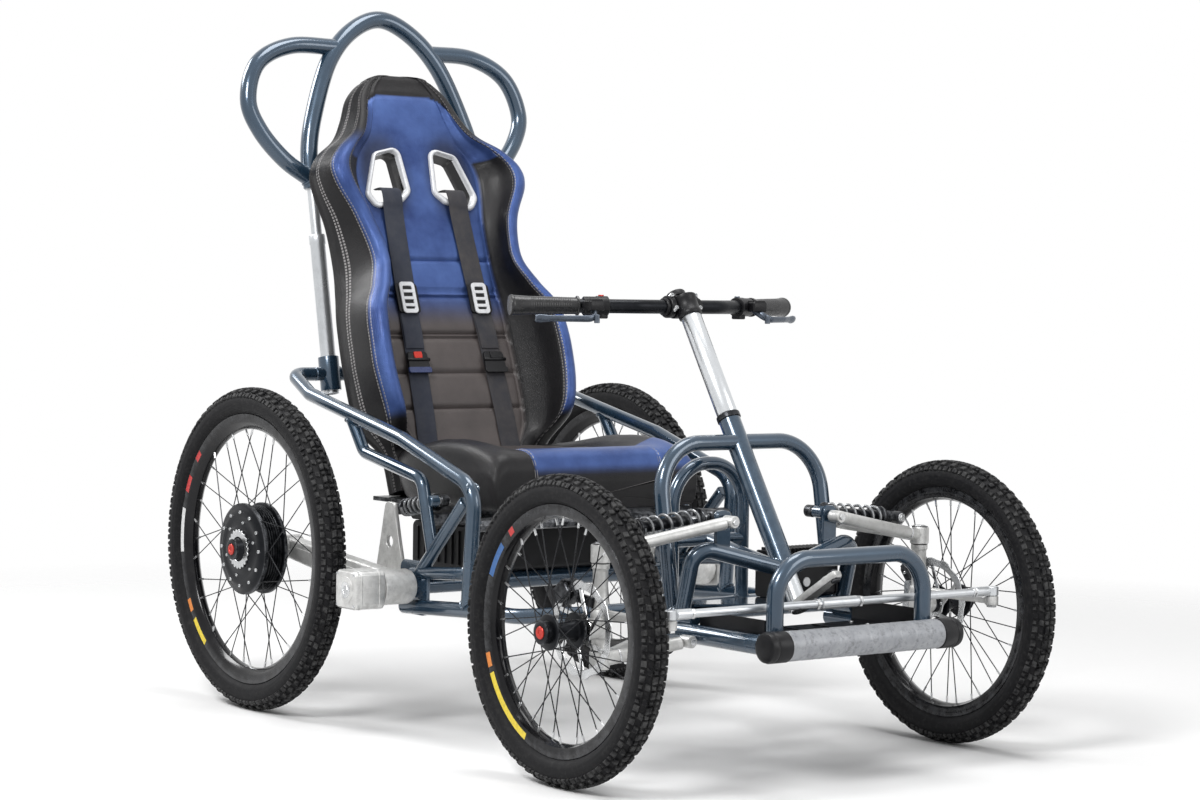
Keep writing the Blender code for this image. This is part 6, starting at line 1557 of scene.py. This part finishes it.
def coil(start, end, radius, wire, turns, tint=0):
    # point = start + axis * share + radius * (cos, sin) of the turn, its first and last turns closed up
    start, end = np.asarray(start, float), np.asarray(end, float)
    axis = end - start
    way = unit(axis)
    side = squareTo(way)
    over = np.cross(way, side)
    t = np.linspace(0, 1, int(turns * 26))
    share = smoothStep(0.0, 1.0, t) * 0.25 + t * 0.75
    turn = 2 * math.pi * turns * t
    outward = np.cos(turn)[:, None] * side + np.sin(turn)[:, None] * over
    path = start + axis * share[:, None] + radius * outward
    heading = unit(np.gradient(path, axis=0))
    outward = unit(outward)
    third = np.cross(heading, outward)
    ring = circle(wire, 8)
    points = path[:, None] + ring[None, :, :1] * outward[:, None] + ring[None, :, 1:] * third[:, None]
    return gridPart(capped(list(points)), False, True, tint)


def shockParts(first, last, eyeAxis, radius, springFrom, springTo):
    # eye, shaft, lower seat, coil, upper seat with its adjusting ring, damper body, eye
    first, last, eyeAxis = np.asarray(first, float), np.asarray(last, float), unit(eyeAxis)
    along = last - first
    way = unit(along)
    wire = 0.0026
    a, b = first + along * springFrom, first + along * springTo
    parts = [coil(a + way * wire, b - way * wire, radius - wire, wire, 6.5, 1)]
    parts.append(collar(a - way * 0.0035, a + way * 0.0006, radius - 0.0008, 0.003, 0))
    parts.append(collar(b - way * 0.0006, b + way * 0.0030, radius - 0.0008, 0.003, 0))
    if abs(way[1]) < 0.5:
        parts.append(toothed(b + way * 0.0052, way, radius - 0.0028, 14, 0.0010, 0.004, 0.0036, 0.0, 2))
    else:
        parts.append(collar(b + way * 0.0034, b + way * 0.0070, radius - 0.0022, 0.004, 2))
    parts.append(rod(first + way * 0.008, a + along * 0.25, 0.0045, 20, 3))
    parts.append(rod(a + along * 0.10, last - way * 0.006, 0.0095, 28, 0))
    for k in range(5):
        spot = b + way * (0.010 + 0.0035 * k)
        if np.linalg.norm(last - spot) > 0.014:
            parts.append(collar(spot, spot + way * 0.0018, 0.0104, 0.004, 0))
    for end, sign in ((first, 1), (last, -1)):
        parts.append(collar(end - eyeAxis * 0.0085, end + eyeAxis * 0.0085, 0.0108, 0.005, 0))
        parts.append(collar(end - eyeAxis * 0.0119, end + eyeAxis * 0.0119, 0.0078, 0.002, 3))
        parts.append(rod(end + way * sign * 0.006, end + way * sign * 0.0165, 0.0072, 20, 0))
        for turn in (-1, 1):
            parts.append(hexNut(end + eyeAxis * turn * 0.0117, eyeAxis * turn, 0.0052, 0.0024, 3))
    return parts


def axleParts(centre, startY, k, tint):
    # the axle, its shoulder and the cap with a red centre
    parts = [
        rod(
            centre * [1, 0, 1] + across * k * startY, centre * [1, 0, 1] + across * k * 0.4782, 0.0085, 28,
            tint,
        )
    ]
    profile = [
        (0.0, 0.0005), (0.0175, 0.0005), (0.0195, 0.0012), (0.0200, 0.0020), (0.0194, 0.0038),
        (0.0170, 0.0044), (0.0120, 0.0044), (0.0112, 0.0036), (0.0, 0.0036),
    ]
    parts.append(lathe(profile, centre * [1, 0, 1] + across * k * 0.4774, across * k, 48, tint + 1))
    profile = [
        (0.0, 0.0030), (0.0102, 0.0030), (0.0106, 0.0036), (0.0106, 0.0052), (0.0098, 0.0060),
        (0.0050, 0.0060), (0.0042, 0.0048), (0.0, 0.0048),
    ]
    parts.append(lathe(profile, centre * [1, 0, 1] + across * k * 0.4774, across * k, 40, tint + 2))
    return parts


def trailingArm(side):
    k = sides[side]
    name = "trailing_arm_" + side
    x, z = -0.136, 0.266

    def put(px, py, pz):
        return toSide(at(px, py, pz), k)

    parts = []
    # barrel and block
    for a, b, r in ((0.3180, 0.3240, 0.0300), (0.3240, 0.3860, 0.0325), (0.3860, 0.3905, 0.0300)):
        parts.append(collar(put(x, a, z), put(x, b, z), r, 0.004))
    parts.append(
        roundBox(put(x - 0.035, 0.390, z - 0.035), put(x + 0.035, 0.4545, z + 0.035), 0.010, 1, 0.004)
    )
    parts.append(collar(put(x, 0.4535, z), put(x, 0.4552, z), 0.0245, 0.0155))
    parts.append(
        lathe(
            [(0, 0.0004), (0.0150, 0.0004), (0.0150, -0.002), (0, -0.002)], put(x, 0.4548, z), across * k,
            40, 1,
        )
    )
    parts.append(hexNut(put(x, 0.4548, z), across * k, 0.0085, 0.0006, 1))
    parts += bolts(put(x, 0.4545, z), across * k, 0.0395, 4, 0.0030, 0.0008, 0.0, 1, math.pi / 4)
    for step in (0.403, 0.4415):
        parts.append(plate(boxOutline(0.0356, 0.0356, 0.0106), put(x, step, z), ahead, upward, 0.004, 0.001))
    # the arm, its ribs and the boss round the axle
    axle = put(-0.505, 0.350, 0.310)
    parts.append(taperBar(put(x, 0.350, z), axle, across, (0.030, 0.056), (0.030, 0.040), 0.007))
    way = unit(axle - put(x, 0.350, z))
    parts.append(
        taperBar(
            put(x, 0.3655, z) + way * 0.060, axle + across * k * 0.0155 - way * 0.045, across,
            (0.002, 0.024), (0.002, 0.016), 0.0008, 0.0005,
        )
    )
    parts.append(collar(put(-0.505, 0.3305, 0.310), put(-0.505, 0.3985, 0.310), 0.0232, 0.004))
    parts.append(collar(put(-0.505, 0.3290, 0.310), put(-0.505, 0.3660, 0.310), 0.0200, 0.004))
    parts.append(hexNut(put(-0.505, 0.3292, 0.310), -across * k, 0.0125, 0.006, 1))
    # shock bracket: a plate with a hole and its foot
    corners = [(-0.300, 0.262), (-0.196, 0.262), (-0.236, 0.412), (-0.264, 0.412)]
    outer = evenly(roundedOutline(corners, 0.010), 96, True)
    holeCentre = np.array([-0.249, 0.338])
    angles = np.unwrap(np.arctan2(outer[:, 1] - holeCentre[1], outer[:, 0] - holeCentre[0]))
    inner = holeCentre + 0.0110 * np.stack([np.cos(angles), np.sin(angles)], -1)
    parts.append(
        ringPlate(outer + [midX, 0], inner + [midX, 0], np.array([0, k * 0.2843, 0]), ahead, upward, 0.008)
    )
    parts.append(roundBox(put(-0.300, 0.2803, 0.262), put(-0.196, 0.345, 0.286), 0.004, 1, 0.002))
    parts.append(
        weldBead(
            put(-0.25, 0.2843, 0.262), ahead, 0.0042, put(-0.25, 0.2843, 0.262), upward, 0.0042, 0.0012,
        )
    )
    for step in (-0.282, -0.214):
        parts.append(hexNut(put(step, 0.2843, 0.2855), upward, 0.0055, 0.0045, 1))
    parts += axleParts(axle, 0.350, k, 1)
    makePiece(
        "trailingArm_" + side, parts, "chassis", ["castAlloy", "brightSteel", "blackMetal", "redAnodised"],
        [name], 40,
    )
    shock = shockParts(put(-0.250, 0.268, 0.398), put(-0.100, 0.268, 0.424), across, 0.0175, 0.19, 0.84)
    makePiece(
        "rearShock_" + side, shock, "chassis", ["blackMetal", "springSteel", "blackPlastic", "brightSteel"],
        ["rear_shock_" + side], 40,
    )


def frontArms(side):
    k = sides[side]
    levels = {
        "upper": ((0.549, 0.120, 0.428), (0.4495, 0.2050, 0.408), 0.382),
        "lower": ((0.560, 0.2178, 0.233), (0.462, 0.2178, 0.233), 0.205),
    }
    for level, (front, rear, eyeZ) in levels.items():
        centre = toSide(at(0.505, 0.360, eyeZ), k)
        parts = [collar(centre - upward * 0.015, centre + upward * 0.015, 0.0170, 0.0092)]
        parts.append(collar(centre - upward * 0.0165, centre - upward * 0.0148, 0.0150, 0.0092, 2))
        parts.append(collar(centre + upward * 0.0148, centre + upward * 0.0162, 0.0150, 0.0092, 2))
        for pivot in (front, rear):
            inner = toSide(at(*pivot), k)
            way = unit(inner - centre)
            outer = centre + way * 0.0125
            length = np.linalg.norm(inner - outer)
            # forged arm: thick at the joint, waisted along its run, thick again at the pivot
            profile = [
                (0, 0), (0.0118, 0.0), (0.0118, 0.016), (0.0110, 0.024), (0.0106, length * 0.5),
                (0.0110, length - 0.030), (0.0108, length - 0.012), (0, length - 0.002),
            ]
            parts.append(lathe(profile, outer, way, 28))
            parts.append(collar(outer + way * 0.020, outer + way * 0.0245, 0.0122, 0.004, 1))
            reach = ahead * 0.013
            parts.append(collar(inner - reach, inner + reach, 0.0105, 0.003))
            for turn in (-1, 1):
                parts.append(hexNut(inner + reach * turn, ahead * turn, 0.0060, 0.0035, 1))
        makePiece(
            f"{level}Arm_{side}", parts, "chassis", ["castAlloy", "brightSteel", "blackPlastic"],
            [f"{level}_arm_{side}"], 40,
        )
    shock = shockParts(
        toSide(at(0.492, 0.110, 0.434), k), toSide(at(0.492, 0.318, 0.4150), k), ahead, 0.0180, 0.16, 0.78,
    )
    makePiece(
        "frontShock_" + side, shock, "chassis",
        ["blackMetal", "springSteel", "blackPlastic", "brightSteel"], ["front_shock_" + side],
        40,
    )


def knuckle(side):
    k = sides[side]
    body = "knuckle_" + side

    def put(px, py, pz):
        return toSide(at(px, py, pz), k)

    parts = []
    pieces = [
        (0.2206, 0.2290, 0.0150), (0.2290, 0.2420, 0.0135), (0.2420, 0.2750, 0.0172),
        (0.2750, 0.2900, 0.0160), (0.2900, 0.3560, 0.0128), (0.3560, 0.3664, 0.0150),
    ]
    profile = [(0, 0.2206)] + [p for a, b, r in pieces for p in ((r, a + 0.0006), (r, b - 0.0006))] + [
        (0, 0.3664)
    ]
    parts.append(lathe(softCorners(profile, 0.0012), put(0.505, 0.360, 0), upward, 40))
    parts.append(rod(put(0.505, 0.360, 0.1895), put(0.505, 0.360, 0.3975), 0.0080, 28, 1))
    parts.append(hexNut(put(0.505, 0.360, 0.1870), upward, 0.0115, 0.0030, 1))
    parts.append(hexNut(put(0.505, 0.360, 0.3972), upward, 0.0115, 0.0030, 1))
    parts.append(collar(put(0.505, 0.352, 0.258), put(0.505, 0.3902, 0.258), 0.0175, 0.004))
    # steering arm, forged: deep at the root, round at its eye
    parts.append(
        taperBar(
            put(0.507, 0.360, 0.282), put(0.683, 0.360, 0.282), across, (0.0155, 0.0158), (0.0120, 0.0135),
            0.0045,
        )
    )
    parts.append(collar(put(0.690, 0.360, 0.2742), put(0.690, 0.360, 0.2898), 0.0120, 0.004))
    parts.append(hexNut(put(0.690, 0.360, 0.2700), upward, 0.0090, 0.0045, 1))
    parts += axleParts(put(0.505, 0.360, 0.258), 0.362, k, 1)
    # caliper: a bridge over the disc's edge with a pad housing on each side
    angle = math.radians(128)
    spot = put(0.505, 0, 0.258) + 0.0725 * (math.cos(angle) * ahead + math.sin(angle) * upward)
    radial = math.cos(angle) * ahead + math.sin(angle) * upward
    tangent = np.cross(across, radial)
    for low, high, size in ((0.3765, 0.3945, (0.040, 0.030)), (0.4012, 0.4085, (0.036, 0.026))):
        outline = boxOutline(size[0] / 2, size[1] / 2, 0.007)
        parts.append(
            plate(outline, spot + across * k * (low + high) / 2, tangent, radial, high - low, 0.0016, 2)
        )
    outline = boxOutline(0.017, 0.003, 0.002, 4)
    parts.append(
        plate(outline, spot + across * k * 0.3925 + radial * 0.0145, tangent, radial, 0.030, 0.0012, 2)
    )
    parts.append(
        taperBar(
            spot + across * k * 0.3785 - radial * 0.010, put(0.505, 0.372, 0.300), across, (0.009, 0.016),
            (0.010, 0.018), 0.003, 0.001, 2,
        )
    )
    for shift in (-0.011, 0.011):
        parts += bolts(spot + tangent * shift, across * k * -1, 0.0, 1, 0.0034, 0.0026, -0.3765, 1)
    makePiece(
        "knuckle_" + side + "_cast", parts, body, ["castAlloy", "brightSteel", "blackMetal", "redAnodised"],
        ["knuckle_" + side], 40,
    )


def steeringGear():
    # track rod: threaded ends, jam nuts, a thicker adjusting sleeve in the middle, and its eyes
    rodLine = [at(0.690, -0.352, 0.2985), at(0.690, 0.352, 0.2985)]
    parts = [rod(*rodLine, 0.0070, 28, 0)]
    parts.append(collar(at(0.690, -0.040, 0.2985), at(0.690, 0.040, 0.2985), 0.0098, 0.004, 0))
    for k in (-1, 1):
        end = toSide(at(0.690, 0.360, 0.2985), k)
        parts.append(collar(end - upward * 0.0078, end + upward * 0.0078, 0.0120, 0.0045, 0))
        parts.append(
            lathe(
                [
                    (0, 0.0082), (0.0046, 0.0080), (0.0074, 0.0060), (0.0082, 0.0), (0.0074, -0.0060),
                    (0.0046, -0.0080), (0, -0.0082),
                ],
                end, upward, 32, 1,
            )
        )
        parts.append(collar(end - across * k * 0.042, end - across * k * 0.010, 0.0086, 0.004, 0))
        parts.append(hexNut(end - across * k * 0.048, across * k, 0.0092, 0.0055, 1))
        parts.append(hexNut(toSide(at(0.690, 0.045, 0.2985), k), across * k, 0.0098, 0.0055, 1))
    makePiece(
        "trackRodAssembly", parts, "track_rod", ["silverPaint", "brightSteel"], ["track_rod"],
        40,
    )

    node = columnFoot
    parts = []
    # column: bright tube above the collar, a plain shaft inside the steering tube, a foot
    profile = [
        (0, -0.078), (0.0150, -0.078), (0.0162, -0.0768), (0.0165, -0.060), (0.0165, 0.296),
        (0.0187, 0.300), (0.0187, 0.504), (0.0175, 0.506), (0, 0.506),
    ]
    parts.append(lathe(profile, node, columnWay, 48, 0))
    ring = [
        (0.0165, 0.2948), (0.0208, 0.2948), (0.0214, 0.2954), (0.0214, 0.3022), (0.0212, 0.3040),
        (0.0200, 0.3052), (0.0180, 0.3052), (0.0165, 0.2948),
    ]
    parts.append(lathe(ring, node, columnWay, 48, 2))
    forward = np.array([math.cos(columnRake), 0, math.sin(columnRake)])
    foot = node - columnWay * (0.078 - 0.012)
    outline = np.array(
        [
            (-0.017, -0.011), (-0.012, -0.0155), (0.004, -0.0150), (0.112, -0.0098), (0.118, -0.0060),
            (0.118, 0.0060), (0.112, 0.0098), (0.004, 0.0150), (-0.012, 0.0155), (-0.017, 0.011),
        ]
    )
    parts.append(plate(outline, foot, forward, across, 0.0118, 0.0022, 1))
    parts.append(hexNut(foot + forward * 0.106 + columnWay * 0.0055, columnWay, 0.0088, 0.0045, 2))
    parts.append(hexNut(foot + forward * 0.106 - columnWay * 0.0055, -columnWay, 0.0088, 0.0045, 2))
    makePiece(
        "columnAssembly", parts, "steering", ["brightColumn", "castAlloy", "blackMetal"],
        ["steering_column"], 40,
    )


def handlebar():
    node = columnFoot
    top = node + columnWay * 0.506
    stemFoot = top + columnWay * 0.0003
    middle = stemFoot + columnWay * 0.020 - ahead * 0.020
    start, end = middle + across * 0.090, middle - ahead * 0.085 + across * 0.315
    path = bendPath([end * [1, -1, 1], start * [1, -1, 1], start, end], 0.090, 12)
    parts = [tube(path, 0.0125, 32, 0)]
    stem = [
        (0, 0.0), (0.0205, 0.0), (0.0215, 0.0012), (0.0215, 0.0080), (0.0205, 0.0092), (0.0205, 0.0300),
        (0.0215, 0.0312), (0.0215, 0.0385), (0.0190, 0.0400), (0.0100, 0.0402), (0.0092, 0.0385),
        (0, 0.0385),
    ]
    parts.append(lathe(stem, stemFoot, columnWay, 48, 1))
    # the clamp: two halves with a joint line, four bolts, and a ring at each end
    for k in (-1, 1):
        parts.append(collar(middle + across * k * 0.002, middle + across * k * 0.0175, 0.0212, 0.004, 1))
        parts.append(collar(middle + across * k * 0.0215, middle + across * k * 0.0330, 0.0200, 0.004, 1))
        parts.append(collar(middle + across * k * 0.0335, middle + across * k * 0.0400, 0.0160, 0.004, 1))
        face = unit(ahead * 0.85 + upward * 0.53)
        for lift in (-1, 1):
            spot = middle + across * k * 0.0270 + np.cross(face, across) * lift * 0.0130 + face * 0.0148
            parts.append(
                lathe(
                    [
                        (0, 0.0046), (0.0018, 0.0046), (0.0020, 0.0066), (0.0034, 0.0066), (0.0040, 0.0056),
                        (0.0040, -0.004), (0, -0.004),
                    ],
                    spot, face, 20, 2,
                )
            )
    # a small round gauge above the clamp
    face = unit(-ahead * 0.55 + upward * 0.83)
    gauge = [
        (0, 0.0), (0.0165, 0.0), (0.0180, 0.0012), (0.0180, 0.0095), (0.0168, 0.0115), (0.0150, 0.0115),
        (0.0146, 0.0102), (0, 0.0100),
    ]
    parts.append(lathe(gauge, middle + face * 0.0165, face, 48, 1))
    makePiece(
        "handlebarTube", parts, "steering", ["blackMetal", "blackPlastic", "brightSteel"], ["handlebar"],
        40,
    )
    for side, k in sides.items():
        first, last = start * [1, k, 1], end * [1, k, 1]
        outward = unit(last - first)
        gripStart = last - outward * 0.125
        # grip: end flanges, fine grooves round its middle, swelling towards the end and closed by a cap
        a = np.linspace(0.004, 0.118, 230)
        radius = 0.0150 + 0.0012 * smoothStep(0, 0.09, a) + 0.0014 * smoothStep(0.085, 0.118, a)
        grooved = smoothStep(0.012, 0.02, a) * (1 - smoothStep(0.088, 0.096, a))
        radius = radius + 0.00016 * np.tanh(3 * np.sin(a * 2 * math.pi / 0.0042)) * grooved
        profile = np.vstack(
            [
                [(0.0126, 0.0), (0.0168, 0.0), (0.0176, 0.0010), (0.0176, 0.0028), (0.0166, 0.0038)],
                np.stack([radius, a], -1),
                [
                    (0.0184, 0.1195), (0.0185, 0.1225), (0.0176, 0.1246), (0.0126, 0.1250),
                    (0.0110, 0.1250), (0.0, 0.1252),
                ],
            ]
        )
        makePiece(
            "gripCover_" + side, [lathe(profile, gripStart, outward, 56)], "steering", "gripRubber",
            ["grip_" + side], 30,
        )
        clampEnd = gripStart - outward * 0.006
        clampStart = clampEnd - outward * 0.030
        forward = np.cross(outward, upward) * k
        spot = (clampStart + clampEnd) / 2
        parts = [collar(clampStart + outward * 0.003, clampEnd - outward * 0.003, 0.0168, 0.0126, 0)]
        # master cylinder, its lid, the switch block behind it and a thumb switch
        parts.append(
            roundBox(
                spot + forward * 0.0245 - [0.013, 0.017, 0.008],
                spot + forward * 0.0245 + [0.013, 0.017, 0.010], 0.005, 2, 0.002, 0,
            )
        )
        parts.append(
            roundBox(
                spot + forward * 0.0245 - [0.011, 0.0145, -0.0095],
                spot + forward * 0.0245 + [0.011, 0.0145, 0.0125], 0.004, 2, 0.001, 0,
            )
        )
        pod = spot - outward * 0.022
        parts.append(collar(pod - outward * 0.011, pod + outward * 0.011, 0.0178, 0.0126, 0))
        parts.append(
            roundBox(pod + [-0.012, -0.009, -0.022], pod + [0.010, 0.009, -0.010], 0.004, 2, 0.0015, 0)
        )
        button = pod - forward * 0.004
        foot, head = button + upward * 0.0165, button + upward * 0.0200
        parts.append(collar(foot, head, 0.0052, 0.0, 2 if k < 0 else 1, 24))
        pivot = spot + forward * 0.048 - upward * 0.022
        tip = pivot + outward * 0.110 - forward * 0.006
        blade = bendPath(
            [spot + forward * 0.020 - upward * 0.004, pivot, pivot + outward * 0.060 + forward * 0.001, tip],
            0.022, 8,
        )
        blade = evenly(blade, 60)
        share = np.linspace(0, 1, 60)
        width = np.interp(share, [0, 0.25, 0.8, 0.93, 1], [1.15, 1.0, 0.92, 1.25, 1.1])
        parts.append(sweep(blade, circle(1.0, 20) * [0.0064, 0.0042], width, False, 1))
        parts.append(rod(pivot - upward * 0.0075, pivot + upward * 0.0075, 0.0050, 20, 1))
        makePiece(
            "leverSet_" + side, parts, "steering", ["blackPlastic", "leverGrey", "redAnodised"],
            ["brake_lever_" + side], 40,
        )


def batteryCase():
    # a case and a lid with an overhanging edge, ribs on its long sides, two latches
    low, high = (np.array(c, float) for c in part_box("battery_box"))
    inset = np.array([0.003, 0.003, 0.0])
    parts = [roundBox(low + inset, high - inset - [0, 0, 0.030], 0.011, 1, 0.004)]
    parts.append(roundBox([low[0], low[1], high[2] - 0.0285], high, 0.010, 1, 0.003))
    for x in np.linspace(low[0] + 0.025, high[0] - 0.025, 8):
        for k, edge in ((-1, low[1]), (1, high[1])):
            foot, head = [x - 0.003, edge, low[2] + 0.012], [x + 0.003, edge - k * 0.005, high[2] - 0.040]
            parts.append(roundBox(foot, head, 0.001, 1, 0.0008))
    for y in (-0.11, 0.11):
        foot, head = [high[0] - 0.004, y - 0.016, high[2] - 0.052], [high[0], y + 0.016, high[2] - 0.014]
        parts.append(roundBox(foot, head, 0.003, 0, 0.001, 1))
    makePiece(
        "batteryCase", parts, "chassis", ["blackPlastic", "brightSteel"], ["battery_box"],
        40,
    )


def controllerCase():
    # a case with cooling fins across its top, a cheek at each end and three sockets in front
    low, high = (np.array(c, float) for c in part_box("controller_box"))
    parts = [roundBox(low + [0.002, 0.002, 0], high - [0.002, 0.002, 0.007], 0.007, 1, 0.003)]
    for y in np.linspace(low[1] + 0.012, high[1] - 0.012, 15):
        foot, head = [low[0] + 0.003, y - 0.0016, high[2] - 0.009], [high[0] - 0.003, y + 0.0016, high[2]]
        parts.append(roundBox(foot, head, 0.001, 1, 0.0006))
    for y in (low[1], high[1] - 0.003):
        parts.append(roundBox([low[0], y, low[2]], [high[0], y + 0.003, high[2] - 0.004], 0.007, 1, 0.001))
    for y in (low[1] + 0.03, (low[1] + high[1]) / 2, high[1] - 0.03):
        foot, head = np.array([[high[0] - 0.003, y, low[2] + 0.026], [high[0], y, low[2] + 0.026]])
        parts.append(collar(foot, head, 0.0085, 0.0, 1, 28))
    makePiece(
        "controllerCase", parts, "chassis", ["blackPlastic", "brightSteel"], ["controller_box"],
        40,
    )


def skidSheet():
    # bent sheet: one section with rounded bends carried from rear to front, with ribs and bolts
    low, high = (np.array(c, float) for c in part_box("skid_plate"))
    half, wall, thick = high[1], high[2] - low[2], 0.003
    edge, foot = half - thick / 2, thick / 2
    line = bendPath([[-edge, wall, 0], [-edge, foot, 0], [edge, foot, 0], [edge, wall, 0]], 0.007, 6)[:, :2]
    way = unit(np.gradient(line, axis=0))
    normal = np.stack([-way[:, 1], way[:, 0]], -1)
    loop = np.vstack([line + normal * thick / 2, (line - normal * thick / 2)[::-1]])
    stops = (low[0], low[0] + 0.001, low[0] + 0.06, high[0] - 0.001, high[0])
    rows = np.stack([np.stack([np.full(len(loop), x), loop[:, 0], low[2] + loop[:, 1]], -1) for x in stops])
    parts = [gridPart(rows, False, True)]
    for row in (rows[0], rows[-1]):
        parts.append(gridPart(np.stack([row[:len(line)], row[len(line):][::-1]])))
    for x in np.linspace(low[0] + 0.02, high[0] - 0.02, 4):
        for y in (-half + 0.022, half - 0.022):
            parts += bolts(np.array([x, y, low[2] + thick]), upward, 0.0, 1, 0.0048, 0.0026, 0.0, 1)
    for y in (-0.07, 0.0, 0.07):
        foot = [low[0] + 0.012, y - 0.005, low[2] + thick - 0.0006]
        head = [high[0] - 0.012, y + 0.005, low[2] + thick + 0.0016]
        parts.append(roundBox(foot, head, 0.002, 2, 0.0008))
    makePiece(
        "skidSheet", parts, "chassis", ["blackPlastic", "brightSteel"], ["skid_plate"], 40,
    )


for side in sides:
    trailingArm(side)
    frontArms(side)
    knuckle(side)
steeringGear()
handlebar()
batteryCase()
controllerCase()
skidSheet()
print("suspension, steering and boxes made")

for name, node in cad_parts.items():
    if not node.hide_render:
        node.data.materials.clear()
        node.data.materials.append(looks["framePaint" if name == "floor_plate" else "blackMetal"])
